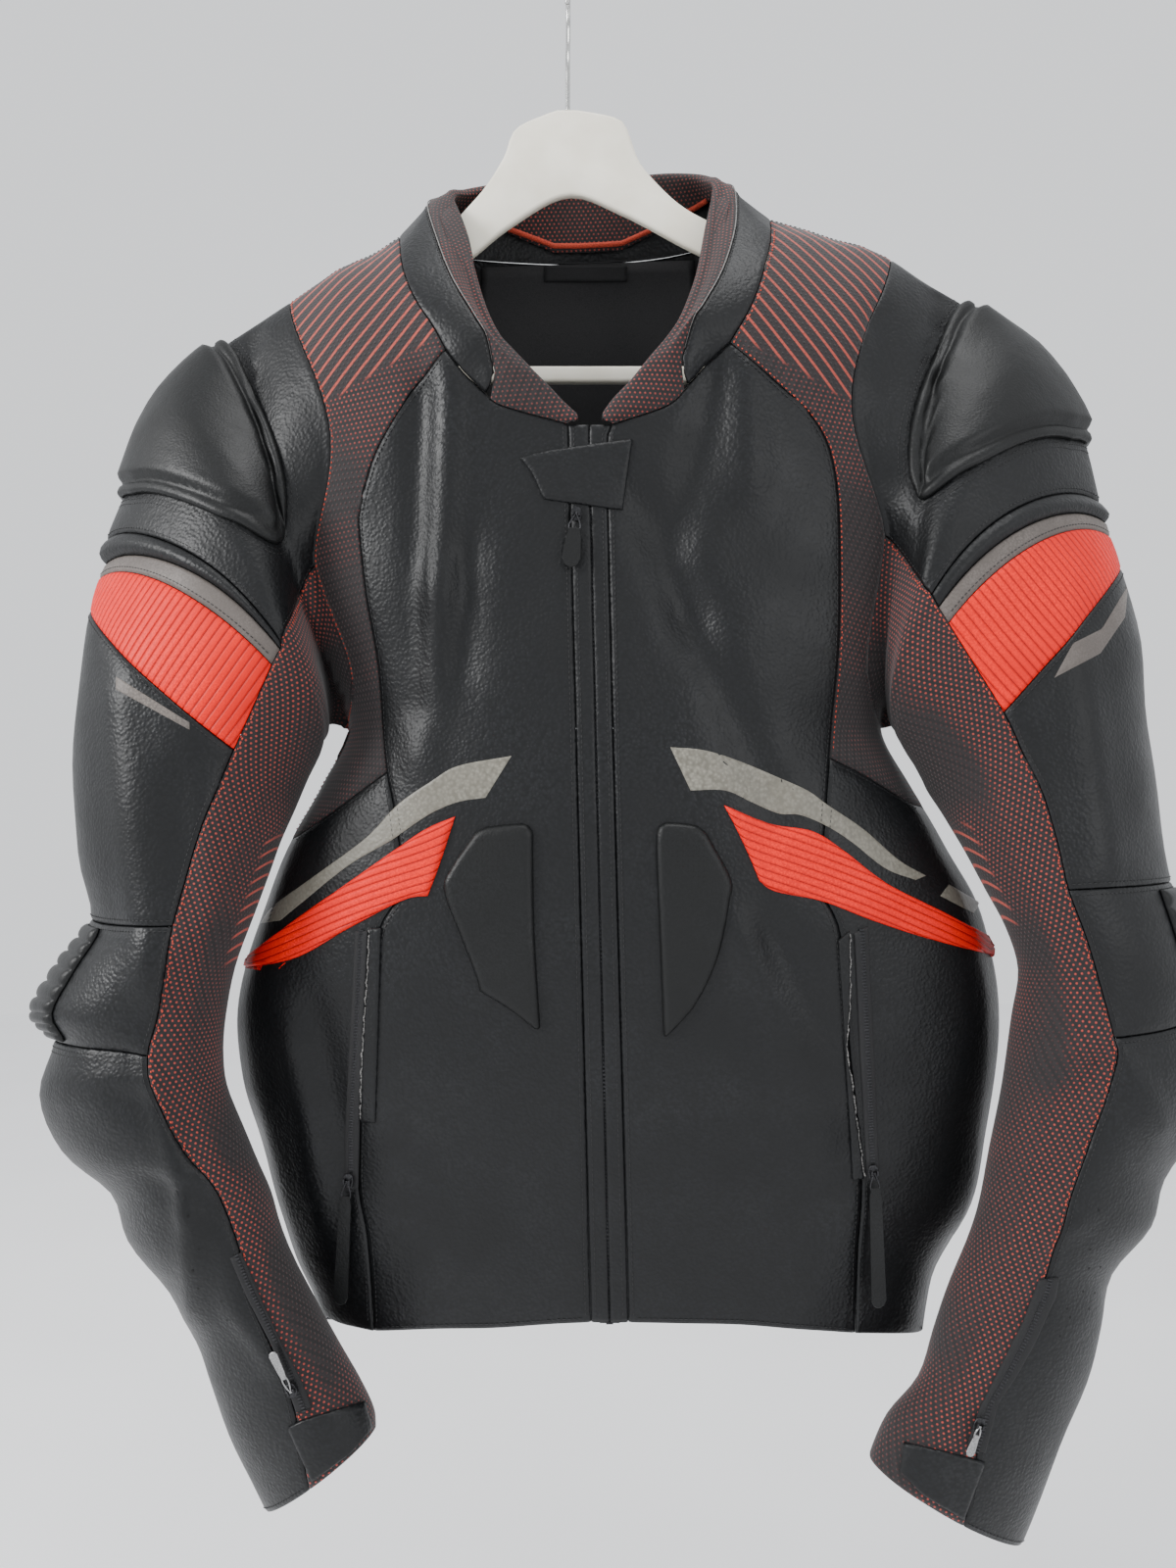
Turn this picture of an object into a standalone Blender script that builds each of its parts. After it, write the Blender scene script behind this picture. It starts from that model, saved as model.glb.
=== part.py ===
"""Leather motorcycle jacket on its hanger: every cut and sewn piece as a solid.

Lengths in the tables are millimetres and are turned to metres when a mesh is made.
The origin is the inner crown of the hanger's hook, +Z is up, the front faces -Y and
the wearer's right is -X. Tables give places as they are seen from the front, from
EYE, in the plane of the hanger: `across` to the right and `height` upward. A place
that lies nearer or further back is moved along its line of sight by `place`.
"""

import math

import bpy
import numpy as np
from mathutils import Matrix, Vector
from mathutils.bvhtree import BVHTree

MM = 0.001
EYE = (15.0, -875.0, -556.5)
LEATHER = 1.4
KNIT = 1.2
LINING = 1.0
LINING_GAP = 1.7
LOOP_GAP = 1.8
SEAM_GAP = 0.4
KNIT_GAP = 1.0
COLLAR_GAP = 1.2
LIFT = 0.5
SHOULDER_ROLL = 85.0

# The trunk, top to bottom: height, right and left edge, depth of front, side and back.
TRUNK = (
    (-177, -222, 259, -74, 0, 62),
    (-319, -207, 249, -77, 0, 72),
    (-421, -185, 240, -81, 2, 78),
    (-482, -163, 229, -83, 6, 80),
    (-518, -151, 218, -84, 10, 80),
    (-556, -169, 238, -84, 10, 80),
    (-600, -193, 264, -83, 8, 79),
    (-638, -208, 285, -82, 6, 78),
    (-680, -222, 297, -80, 5, 76),
    (-722, -229, 300, -77, 4, 74),
    (-760, -225, 298, -74, 3, 71),
    (-800, -213, 291, -69, 2, 68),
    (-855, -198, 277, -63, 0, 63),
    (-889, -187, 254, -60, -1, 60),
    (-911, -175, 248, -58, -2, 58),
    (-940, -164, 244, -56, -2, 56),
)

# The shoulder ridge: across, height.
RIDGE = (
    (-230, -245), (-191, -222), (-158, -200), (-134, -190), (-116, -178), (-95, -160),
    (15, -150), (115, -150), (142, -165), (182, -178), (204, -183), (225, -193), (262, -215),
)

# Soft folds of the fronts: start across and height, end across and height, half width, rise.
FOLDS = (
    (-83, -272, -90, -420, 15, 5),
    (-90, -420, -102, -530, 14, 5),
    (-100, -290, -103, -500, 10, -5),
    (-69, -400, -73, -470, 12, -4),
    (123, -275, 128, -340, 14, 4),
    (106, -275, 77, -380, 14, -4),
    (56, -370, 84, -435, 16, -5),
    (84, -435, 138, -560, 14, -4),
    (124, -665, 185, -765, 14, 4),
    (144, -665, 198, -800, 13, -4),
    (-175, -720, -150, -820, 14, -4),
    (-190, -740, -170, -860, 12, 4),
)

# Seams as seen from the front, each from top to bottom or from right to left.
NECK_RIGHT_FRONT = ((1, -307), (-45, -294), (-56, -286), (-72, -270), (-84, -255))
NECK_RIGHT_SIDE = ((-84, -255), (-93, -239), (-106, -219), (-114, -198), (-116, -178))
NECK_BACK = (
    (-116, -178), (-104, -185), (-73, -192), (-32, -196), (17, -197), (69, -192),
    (113, -180), (142, -165),
)
NECK_LEFT_SIDE = ((142, -165), (142, -181), (134, -211), (126, -230), (114, -250))
NECK_LEFT_FRONT = ((114, -250), (98, -266), (85, -280), (70, -294), (32, -307))
SHOULDER_RIGHT = ((-191, -222), (-158, -200), (-134, -190), (-116, -178))
SHOULDER_LEFT = ((142, -165), (182, -178), (204, -183), (225, -193))
PRINCESS_RIGHT = (
    (-84, -255), (-111, -289), (-132, -325), (-142, -356), (-145, -374), (-140, -421),
    (-132, -473), (-125, -548),
)
PRINCESS_LEFT = (
    (114, -250), (149, -280), (176, -308), (187, -341), (191, -399), (189, -468), (183, -538),
)
LOWER_RIGHT = (
    (-125, -548), (-119, -580), (-114, -628), (-131, -662), (-141, -748), (-145, -828),
    (-138, -870), (-134, -936),
)
LOWER_LEFT = (
    (183, -538), (180, -575), (178, -628), (190, -662), (197, -748), (205, -828),
    (202, -882), (201, -938),
)
KNIT_HEM_RIGHT = ((-188, -594), (-154, -569), (-125, -548))
KNIT_HEM_LEFT = ((183, -538), (208, -551), (243, -572))
HEM_RIGHT_SIDE = ((-168, -925), (-156, -931), (-134, -936))
HEM_RIGHT_FRONT = ((-134, -936), (-53, -934), (17, -930))
HEM_LEFT_FRONT = ((43, -930), (121, -932), (201, -938))
HEM_LEFT_SIDE = ((201, -938), (243, -937), (246, -931))
PLACKET_RIGHT = ((1, -307), (3, -373), (17, -930))
ZIP_LINE = ((16, -307), (17, -373), (30, -930))
PLACKET_LEFT = ((32, -307), (29, -373), (43, -930))

# Collar stations from the right front end round the back to the left front end:
# the leather's top edge, then the knit's top edge, each as across, height and depth.
COLLAR_LEATHER_TOP = (
    (-50, -271, -79), (-55, -246, -79), (-62, -234, -76), (-78, -207, -61),
    (-90, -177, -32), (-96, -156, 2), (-90, -151, 20),
    (-73, -149, 34), (-39, -150, 46), (-12, -148, 51), (15, -147, 53), (46, -147, 51),
    (76, -145, 46), (100, -144, 34), (112, -141, 20), (117, -147, 2), (117, -170, -32),
    (108, -200, -61), (95, -223, -76), (88, -234, -79),
    (80, -262, -79),
)
COLLAR_KNIT_TOP = (
    (8, -303, -78), (-2, -294, -79), (-13, -283, -80), (-28, -270, -80), (-43, -255, -78),
    (-53, -243, -73), (-65, -218, -55), (-76, -178, -26),
    (-85, -150, 0), (-75, -147, 17), (-58, -144, 30), (-36, -142, 41), (-12, -140, 46),
    (15, -139, 48), (46, -138, 46), (72, -136, 41), (92, -136, 30), (103, -138, 17),
    (109, -142, 0), (104, -170, -26), (97, -203, -55),
    (85, -231, -73), (74, -247, -78), (61, -262, -80), (47, -279, -80), (34, -292, -79),
    (25, -303, -78),
)
# How far the inner face of the collar comes back down, by station.
COLLAR_TURN_DOWN = (
    (0, 0.4), (5, 0.45), (7, 0.35), (9, 0.35), (12, 0.85), (14, 0.85), (17, 0.35),
    (19, 0.35), (21, 0.45), (26, 0.4),
)
COLLAR_LEATHER_START = 3
COLLAR_PADDING = 8.0
NECK_AXIS = (15.0, -5.0)

# Sleeve rings from the armhole to the cuff: the outer point, the front seam between
# leather and knit and the inner point (across, height), the depth of the middle, half
# the depth, and how far the armhole seam bows beside the leather and beside the knit.
SLEEVE_RIGHT = (
    (-191, -222, -174, -405, -151, -518, 0, 75, 22, 12),
    (-214, -238, -178, -411, -162, -515, -4, 74, 20, 2),
    (-249, -264, -184, -424, -167, -518, -5, 74, 15, 0),
    (-280, -299, -189, -440, -167, -524, -7, 74, 10, 1),
    (-303, -350, -195, -451, -170, -529, -9, 73, 6, 0),
    (-319, -387, -197, -458, -172, -534, -12, 72, 3, 0),
    (-320, -404, -198, -463, -173, -539, -13, 71, 2, 0),
    (-324, -414, -204, -474, -175, -545, -15, 70, 0, 0),
    (-330, -436, -230, -533, -181, -559, -18, 69, 0, 0),
    (-338, -486, -241, -559, -188, -575, -22, 67, 0, 0),
    (-342, -543, -252, -584, -198, -596, -27, 65, 0, 0),
    (-339, -604, -263, -618, -206, -618, -31, 63, 0, 0),
    (-329, -650, -273, -655, -216, -646, -35, 62, 0, 0),
    (-351, -682, -278, -689, -230, -683, -38, 60, 0, 0),
    (-369, -714, -283, -718, -236, -716, -40, 58, 0, 0),
    (-355, -734, -290, -745, -237, -746, -42, 56, 0, 0),
    (-365, -772, -285, -772, -233, -772, -44, 55, 0, 0),
    (-350, -811, -264, -812, -216, -812, -46, 54, 0, 0),
    (-316, -840, -244, -836, -205, -837, -48, 51, 0, 0),
    (-304, -873, -229, -870, -196, -865, -49, 48, 0, 0),
    (-275, -909, -218, -913, -174, -913, -51, 45, 0, 0),
    (-256, -943, -205, -943, -158, -942, -53, 43, 0, 0),
    (-246, -974, -193, -974, -144, -967, -55, 41, 0, 0),
    (-229, -1018, -185, -1008, -133, -988, -57, 39, 0, 0),
    (-208, -1061, -178, -1046, -131, -1001, -59, 36, 0, 0),
)
SLEEVE_LEFT = (
    (225, -193, 221, -384, 218, -518, 0, 75, 25, 10),
    (252, -211, 227, -391, 227, -516, -4, 74, 22, 3),
    (290, -236, 234, -400, 229, -520, -5, 74, 16, 2),
    (327, -268, 241, -411, 233, -524, -7, 74, 10, 0),
    (355, -311, 247, -419, 236, -529, -9, 73, 5, 0),
    (370, -361, 253, -425, 238, -535, -12, 72, 2, 0),
    (374, -375, 258, -434, 240, -540, -13, 71, 1, 0),
    (377, -385, 265, -445, 243, -546, -15, 70, 0, 0),
    (385, -407, 303, -507, 249, -560, -18, 69, 0, 0),
    (398, -458, 316, -535, 259, -575, -22, 67, 0, 0),
    (403, -516, 330, -563, 269, -592, -27, 65, 0, 0),
    (411, -577, 341, -599, 281, -612, -31, 63, 0, 0),
    (419, -624, 348, -630, 291, -630, -35, 62, 0, 0),
    (432, -665, 360, -662, 304, -656, -38, 60, 0, 0),
    (444, -699, 370, -696, 313, -685, -40, 58, 0, 0),
    (439, -713, 379, -732, 309, -716, -42, 56, 0, 0),
    (448, -753, 379, -757, 303, -753, -44, 55, 0, 0),
    (439, -794, 368, -794, 295, -797, -46, 54, 0, 0),
    (415, -831, 353, -833, 288, -838, -48, 51, 0, 0),
    (405, -863, 341, -867, 280, -865, -49, 48, 0, 0),
    (378, -896, 332, -901, 266, -900, -51, 45, 0, 0),
    (370, -933, 319, -936, 254, -934, -53, 43, 0, 0),
    (360, -972, 303, -969, 243, -966, -55, 41, 0, 0),
    (342, -1016, 288, -1006, 222, -992, -57, 39, 0, 0),
    (316, -1084, 276, -1072, 209, -1020, -59, 36, 0, 0),
)
BLEND_RINGS = 4.0
SLEEVE_STATIONS = (0, 1, 1.5, 2, 2.5, 3, 3.5, 4, 5, 5.5, 6, 7, 7.5, 8, 9, 10, 11, 12, 13, 14,
                   15, 16, 17, 18, 19, 20, 21, 22, 23, 24)
# Leather pieces of a sleeve, by their first and last ring.
SLEEVE_PIECES = (
    ("cap", 0, 5), ("shoulder_trim", 5, 7), ("red_band", 7, 8), ("upper", 8, 12),
    ("elbow", 12, 15), ("forearm", 15, 24),
)
RIDGE_RISE = 4.0
LEATHER_STEPS = 6
KNIT_STEPS = 4
HALF_RING = tuple(0.5 * k / LEATHER_STEPS for k in range(LEATHER_STEPS + 1)) + tuple(
    0.5 + 0.5 * k / KNIT_STEPS for k in range(1, KNIT_STEPS + 1)
)

# The protector's outline on the cap: ring and reach either side of the outer line.
PROTECTOR = (
    (1.5, 0.06), (1.8, 0.24), (2.1, 0.36), (2.5, 0.40), (3.0, 0.39), (3.5, 0.33),
    (3.9, 0.24), (4.2, 0.07),
)
PROTECTOR_RINGS = (1.5, 1.62, 1.8, 2, 2.25, 2.5, 2.75, 3, 3.25, 3.5, 3.75, 4, 4.2)
PROTECTOR_LIFT = 2.2
PROTECTOR_RIM = 3.0
PROTECTOR_RISE = 8.0
ELBOW_RIBS = 9
ELBOW_RIB_TURNS = tuple(k / 12 for k in range(-3, 3))
ELBOW_RIB_RINGS = (12.1, 13, 14, 14.9)
ELBOW_RIB_RISE = 2.4
RIB_LIFT = 0.9
# The part of a moulded piece's height that is hollow below it.
HOLLOW = 0.4

# Outlines of what is laid on the panels, as seen from the front.
BAND_RIGHT = (
    (-77, -579), (-96, -587), (-117, -601), (-154, -627), (-191, -653), (-225, -680),
    (-230, -685), (-188, -677), (-150, -656), (-113, -637), (-96, -634), (-87, -610),
)
BAND_LEFT = (
    (109, -571), (141, -584), (170, -589), (191, -602), (221, -625), (260, -645), (300, -666),
    (299, -676), (252, -664), (212, -651), (178, -638), (145, -631), (134, -624), (126, -605),
    (117, -586),
)
PAD_RIGHT = (
    (-63, -590), (-54, -586), (-30, -584), (-23, -589), (-22, -658), (-18, -725), (-22, -726),
    (-39, -713), (-60, -700), (-63, -689), (-73, -663), (-85, -630), (-79, -613),
)
PAD_LEFT = (
    (64, -586), (70, -583), (89, -585), (97, -590), (114, -622), (113, -639), (107, -670),
    (98, -694), (88, -712), (70, -731), (67, -727), (65, -674), (62, -600),
)
THROAT_TAB = (
    (-32, -331), (-15, -326), (40, -318), (46, -318), (39, -367), (-11, -360), (-16, -359),
    (-24, -342),
)
POCKET_ZIP_RIGHT = ((-146, -658), (-153, -802), (-153, -840), (-144, -836), (-143, -791), (-137, -658))
POCKET_FLAP_RIGHT = ((-136, -656), (-137, -683), (-141, -748), (-142, -791), (-132, -791), (-128, -656))
POCKET_ZIP_LEFT = ((199, -660), (209, -655), (217, -828), (208, -832))
POCKET_FLAP_LEFT = (
    (188, -665), (196, -658), (196, -706), (194, -740), (198, -767), (206, -830), (198, -831),
)
CUFF_TAB_RIGHT = ((-184, -997), (-141, -984), (-135, -1003), (-150, -1020), (-176, -1040), (-193, -1002))
CUFF_ZIP_RIGHT = (
    (-233, -885), (-221, -913), (-204, -946), (-187, -992), (-176, -988), (-184, -968),
    (-197, -944), (-212, -911), (-225, -881),
)
CUFF_TAB_LEFT = ((234, -1012), (276, -1022), (290, -1026), (275, -1066), (246, -1048), (231, -1032))
CUFF_ZIP_LEFT = (
    (327, -900), (316, -929), (305, -951), (286, -989), (277, -1016), (290, -1020), (299, -985),
    (312, -966), (325, -942), (339, -911), (341, -898),
)
# The wooden hanger: the outline of what shows, then the hidden arms' lower edge.
HANGER_HALF_DEPTH = 4.0
HANGER_UPPER_RIGHT = (
    (-100, -187), (-81, -171), (-70, -160), (-56, -144), (-43, -123), (-35, -104), (-12, -93),
)
HANGER_UPPER_LEFT = (
    (30, -95), (40, -100), (46, -115), (52, -129), (69, -148), (84, -160), (103, -170), (122, -181),
)
HANGER_LOWER = (
    (210, -224), (182, -212), (142, -200), (99, -193), (40, -163), (1, -150), (-40, -172),
    (-74, -198), (-116, -212), (-158, -232), (-178, -245),
)
HANGER_TOP = -91.0
ARM_CLEARANCE = 7.4
BAR_HEIGHTS = (-279, -268)
BAR_ENDS = (-150, 182)
BAR_POST = 9.0
BAR_HALF_DEPTH = 4.5
HOOK_WIRE = 1.6
HOOK_RADIUS = 18.0

BAND_THICK = 2.4
CUFF_MIDDLE = -55.0
PAD_THICK = 4.0
TAB_THICK = 1.8
ZIP_THICK = 2.0
FLAP_THICK = 1.6

# Zip sliders: the panels below, what lies on those, the hinge's seen place, the pull's
# tip and its half width.
SLIDERS = {
    "main": (("placket_right", "front_right"), 0.0, (7, -370), (3, -408), 6.5),
    "pocket_right": (("side_right", "front_right"), LIFT + ZIP_THICK, (-149, -830), (-155, -916), 5.5),
    "pocket_left": (("side_left", "front_left"), LIFT + ZIP_THICK, (211, -824), (216, -919), 5.5),
    "cuff_right": (
        ("forearm_right", "sleeve_knit_right"), LIFT + ZIP_THICK, (-190, -974), (-203, -946), 3.0),
    "cuff_left": (
        ("forearm_left", "sleeve_knit_left"), LIFT + ZIP_THICK, (284, -998), (277, -1020), 3.0),
}
SLIDER_LIFT = 0.7
SLIDER_BASE = 2.0
SLIDER_HALF_LENGTH = 3.0
SLIDER_HALF_WIDTH = 3.5
LUG_INNER = 1.5
LUG_OUTER = 2.7
LUG_HEIGHT = 2.6
HINGE_HEIGHT = 1.5
NECK_HALF_WIDTH = 1.2
PULL_THICK = 1.4
PULL_SHOULDER = 3.8

MATERIALS = {
    "leather": ((0.024, 0.025, 0.027), 0.45, 0.0),
    "red": ((0.9, 0.03, 0.005), 0.55, 0.0),
    "grey": ((0.13, 0.11, 0.10), 0.6, 0.0),
    "knit": ((0.03, 0.012, 0.012), 0.9, 0.0),
    "lining": ((0.012, 0.012, 0.013), 0.8, 0.0),
    "metal": ((0.35, 0.35, 0.36), 0.35, 1.0),
    "wood": ((0.85, 0.80, 0.70), 0.5, 0.0),
}


def hermite(table, at):
    """Each column of a table, smooth in its first column, at the values `at`."""
    data = np.array(table, dtype=float)
    data = data[np.argsort(data[:, 0])]
    keys, values = data[:, 0], data[:, 1:]
    slopes = np.gradient(values, keys, axis=0)
    at = np.clip(np.asarray(at, dtype=float), keys[0], keys[-1])
    low = np.clip(np.searchsorted(keys, at) - 1, 0, len(keys) - 2)
    step = keys[low + 1] - keys[low]
    part = ((at - keys[low]) / step)[..., None]
    step = step[..., None]
    rise = values[low + 1] - values[low]
    return (
        values[low]
        + part * step * slopes[low]
        + part**2 * (3 * rise - step * (2 * slopes[low] + slopes[low + 1]))
        + part**3 * (step * (slopes[low] + slopes[low + 1]) - 2 * rise)
    )


def curve(points, count):
    """`count` + 1 points, evenly spaced on a smooth curve through `points`."""
    points = np.array(points, dtype=float)
    keys = np.arange(len(points), dtype=float)
    dense = hermite(np.column_stack([keys, points]), np.linspace(0, len(points) - 1, 400))
    run = np.concatenate([[0], np.cumsum(np.linalg.norm(np.diff(dense, axis=0), axis=1))])
    want = np.linspace(0, run[-1], count + 1)
    return np.column_stack([np.interp(want, run, dense[:, k]) for k in range(dense.shape[1])])


def place(points):
    """Seen places (across, height, depth) moved along their sight lines to true ones."""
    points = np.asarray(points, dtype=float)
    eye = np.array(EYE)
    near = (points[..., 2] - eye[1]) / -eye[1]
    x = eye[0] + (points[..., 0] - eye[0]) * near
    z = eye[2] + (points[..., 1] - eye[2]) * near
    return np.stack([x, points[..., 2], z], axis=-1)


def fold_height(across, height):
    """How far the soft folds push the fronts outward."""
    total = np.zeros_like(across)
    for x0, z0, x1, z1, width, rise in FOLDS:
        run = np.array([x1 - x0, z1 - z0], dtype=float)
        length = np.linalg.norm(run)
        run /= length
        along = (across - x0) * run[0] + (height - z0) * run[1]
        side = (across - x0) * run[1] - (height - z0) * run[0]
        past = np.maximum(np.maximum(-along, along - length), 0) / (1.6 * width)
        total += rise * np.exp(-((side / width) ** 2) - past**2)
    return total


def trunk_depth(points, front=True):
    """Depth of the trunk's front or back at seen places (across, height)."""
    points = np.asarray(points, dtype=float)
    across, height = points[..., 0], points[..., 1]
    section = hermite(TRUNK, height)
    low, high, front_y, side_y, back_y = (section[..., k] for k in range(5))
    middle = (low + high) / 2
    reach = np.clip(np.abs(across - middle) / ((high - low) / 2), 0, 1)
    full = (1 - reach**2.6) ** (1 / 2.4)
    ridge = np.interp(across, *zip(*RIDGE))
    down = np.clip((ridge - height) / SHOULDER_ROLL, 0, 1)
    full = full * np.sqrt(1 - (1 - down) ** 2)
    if front:
        return side_y - (side_y - front_y) * full - fold_height(across, height) * full
    return side_y + (back_y - side_y) * full


def on_front(points):
    """Seen places with the depth of the front added."""
    points = np.asarray(points, dtype=float)[..., :2]
    return np.concatenate([points, trunk_depth(points)[..., None]], axis=-1)


def on_back(points):
    """Seen places with the depth of the back added."""
    points = np.asarray(points, dtype=float)[..., :2]
    return np.concatenate([points, trunk_depth(points, False)[..., None]], axis=-1)


def fractions(points):
    """How far along each point of an edge lies, from 0 to 1."""
    run = np.concatenate([[0], np.cumsum(np.linalg.norm(np.diff(points[:, :2], axis=0), axis=1))])
    return run / run[-1]


def fill(left, right, top, bottom, front=True):
    """A grid of seen places between four edges, rows downward, laid on the trunk."""
    rows = (fractions(left) + fractions(right))[:, None, None] / 2
    cols = (fractions(top) + fractions(bottom))[None, :, None] / 2
    grid = (
        (1 - cols) * left[:, None] + cols * right[:, None]
        + (1 - rows) * top[None] + rows * bottom[None]
        - (1 - rows) * ((1 - cols) * top[0] + cols * top[-1])
        - rows * ((1 - cols) * bottom[0] + cols * bottom[-1])
    )
    inside = grid[1:-1, 1:-1, :2]
    grid[1:-1, 1:-1] = on_front(inside) if front else on_back(inside)
    grid[:, 0], grid[:, -1], grid[0], grid[-1] = left, right, top, bottom
    return grid


def join(*runs):
    """Runs of points end to end, with each shared end kept once."""
    return np.concatenate([runs[0]] + [run[1:] for run in runs[1:]])


class Sleeve:
    """One sleeve as a tube of rings, read at any ring and place round it.

    Round the ring, 0 is the outer line, 0.5 the front seam, 1 the inner line and
    -0.5 the back seam.
    """

    def __init__(self, table, sign):
        self.table = np.column_stack([np.arange(len(table)), np.array(table, dtype=float)])
        self.sign = sign

    def seen(self, ring, turn):
        """The seen place (across, height, depth) at a ring and a turn."""
        row = hermite(self.table, np.array(float(ring)))
        outer, seam, inner = row[0:2], row[2:4], row[4:6]
        middle, deep, cap_bow, arm_bow = row[6:10]
        axis = inner - outer
        length = np.linalg.norm(axis)
        axis = axis / length
        side = np.array([-axis[1], axis[0]]) * self.sign
        seam_part = np.clip((seam - outer) @ axis / length, 0.05, 0.95)
        seam_turn = math.acos(1 - 2 * seam_part)
        turn = turn - 2 if turn > 1 else turn
        size = abs(turn)
        if size <= 0.5:
            angle = size / 0.5 * seam_turn
        else:
            angle = seam_turn + (size - 0.5) / 0.5 * (math.pi - seam_turn)
        part = (1 - math.cos(angle)) / 2
        bow = 0.0
        if turn > 0:
            bow = (seam - outer) @ side * math.sin(angle) / math.sin(seam_turn)
            if size <= 0.5:
                bow += cap_bow * math.sin(math.pi * min(part / seam_part, 1)) ** 1.5
            else:
                rest = np.clip((part - seam_part) / (1 - seam_part), 0, 1)
                bow += arm_bow * math.sin(math.pi * rest**1.6)
        spot = outer + axis * length * part + side * bow
        toward = -1 if turn > 0 else 1
        tube = middle + toward * deep * math.sin(angle)
        body = float(trunk_depth(spot, front=turn > 0))
        share = min(ring / BLEND_RINGS, 1)
        share = share * share * (3 - 2 * share)
        return np.array([spot[0], spot[1], body + (tube - body) * share])

    def grid(self, rings, turns):
        """Seen places over rings and turns, columns rightward seen from outside."""
        cells = np.array([[self.seen(ring, turn) for turn in turns] for ring in rings])
        return cells if self.sign > 0 else cells[:, ::-1]


class Patchwork:
    """The outer skins of all sewn panels; panels share the points of their seams."""

    def __init__(self):
        self.skins = {}
        self.facing = {}

    @staticmethod
    def key(point):
        return tuple(np.round(point, 2))

    def add(self, name, seen):
        """Keep a panel's skin, given as seen places, rows downward."""
        skin = place(seen)
        self.skins[name] = skin
        normal = cell_normals(skin)
        normal /= np.linalg.norm(normal, axis=-1, keepdims=True)
        for i in range(skin.shape[0]):
            for j in range(skin.shape[1]):
                key = self.key(skin[i, j])
                self.facing[key] = self.facing.get(key, 0) + normal[i, j]

    def normals(self, name):
        """Outward unit normals of a skin, shared along its seams."""
        skin = self.skins[name]
        out = np.array([[self.facing[self.key(p)] for p in row] for row in skin])
        return out / np.linalg.norm(out, axis=-1, keepdims=True)

    def wall(self, name, thick, raise_by=None, gap=SEAM_GAP):
        """The outer and inner grids of a panel's wall, drawn in at its seams."""
        skin, normal = self.skins[name], self.normals(name)
        own = cell_normals(skin)
        own /= np.linalg.norm(own, axis=-1, keepdims=True)
        lean = np.clip((own * normal).sum(-1, keepdims=True), 0.5, 1)
        shift = edge_shift(skin, normal) * (gap / 2)
        outer = skin + shift
        inner = outer - normal * thick / lean
        if raise_by is not None:
            outer = outer + normal * raise_by[..., None]
        return outer, inner

    def shell(self, names, low, high):
        """A closed shell over several joined skins, from `low` to `high` above them."""
        index, points, lift, faces = {}, [], [], []
        for name in names:
            skin, normal = self.skins[name], self.normals(name)
            ids = np.zeros(skin.shape[:2], dtype=int)
            for i in range(skin.shape[0]):
                for j in range(skin.shape[1]):
                    key = self.key(skin[i, j])
                    if key not in index:
                        index[key] = len(points)
                        points.append(skin[i, j])
                        lift.append(normal[i, j])
                    ids[i, j] = index[key]
            for i in range(skin.shape[0] - 1):
                for j in range(skin.shape[1] - 1):
                    a, b, c, d = ids[i, j], ids[i + 1, j], ids[i + 1, j + 1], ids[i, j + 1]
                    faces += [(a, b, c), (a, c, d)]
        points, lift = np.array(points), np.array(lift)
        count = len(points)
        both = np.concatenate([points + lift * high, points + lift * low])
        sides = {}
        for face in faces:
            for k in range(3):
                edge = (face[k], face[(k + 1) % 3])
                sides[edge] = sides.get(edge, 0) + 1
        rim = [edge for edge in sides if (edge[1], edge[0]) not in sides]
        solid = list(faces)
        solid += [tuple(count + k for k in reversed(face)) for face in faces]
        solid += [(b, a, count + a, count + b) for a, b in rim]
        return both, solid


def cell_normals(skin):
    """Point normals of a grid whose rows run down and columns right, from outside."""
    down = skin[1:] - skin[:-1]
    right = skin[:, 1:] - skin[:, :-1]
    out = np.zeros_like(skin)
    for i in (0, 1):
        for j in (0, 1):
            a = down[:, 1:] if j else down[:, :-1]
            b = right[1:] if i else right[:-1]
            face = np.cross(a, b)
            out[i:skin.shape[0] - 1 + i, j:skin.shape[1] - 1 + j] += face
    return out


def edge_shift(skin, normal):
    """Unit moves that draw the rim points of a grid inward, square to their edge."""
    shift = np.zeros_like(skin)
    rims = (
        (np.s_[0, :], np.s_[1, :]), (np.s_[-1, :], np.s_[-2, :]),
        (np.s_[:, 0], np.s_[:, 1]), (np.s_[:, -1], np.s_[:, -2]),
    )
    for rim, inner in rims:
        line = skin[rim]
        along = np.gradient(line, axis=0)
        move = np.cross(normal[rim], along)
        size = np.linalg.norm(move, axis=-1, keepdims=True)
        move = move / np.maximum(size, 1e-9)
        toward = ((skin[inner] - line) * move).sum(-1, keepdims=True)
        shift[rim] += move * np.sign(toward)
    return shift


def facet_point(skin, normal, row, col):
    """A point and normal on a grid's flat facets, at fractional row and column."""
    i = min(int(row), skin.shape[0] - 2)
    j = min(int(col), skin.shape[1] - 2)
    s, t = row - i, col - j
    result = []
    for data in (skin, normal):
        a, b, c, d = data[i, j], data[i + 1, j], data[i + 1, j + 1], data[i, j + 1]
        if s >= t:
            value = a * (1 - s) + b * (s - t) + c * t
        else:
            value = a * (1 - t) + d * (t - s) + c * s
        result.append(value)
    return result[0], result[1] / np.linalg.norm(result[1])


def material(name):
    """The material of a name, made once."""
    if name in bpy.data.materials:
        return bpy.data.materials[name]
    colour, roughness, metallic = MATERIALS[name]
    made = bpy.data.materials.new(name)
    made.use_nodes = True
    shader = made.node_tree.nodes["Principled BSDF"]
    shader.inputs["Base Color"].default_value = (*colour, 1)
    shader.inputs["Roughness"].default_value = roughness
    shader.inputs["Metallic"].default_value = metallic
    return made


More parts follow.
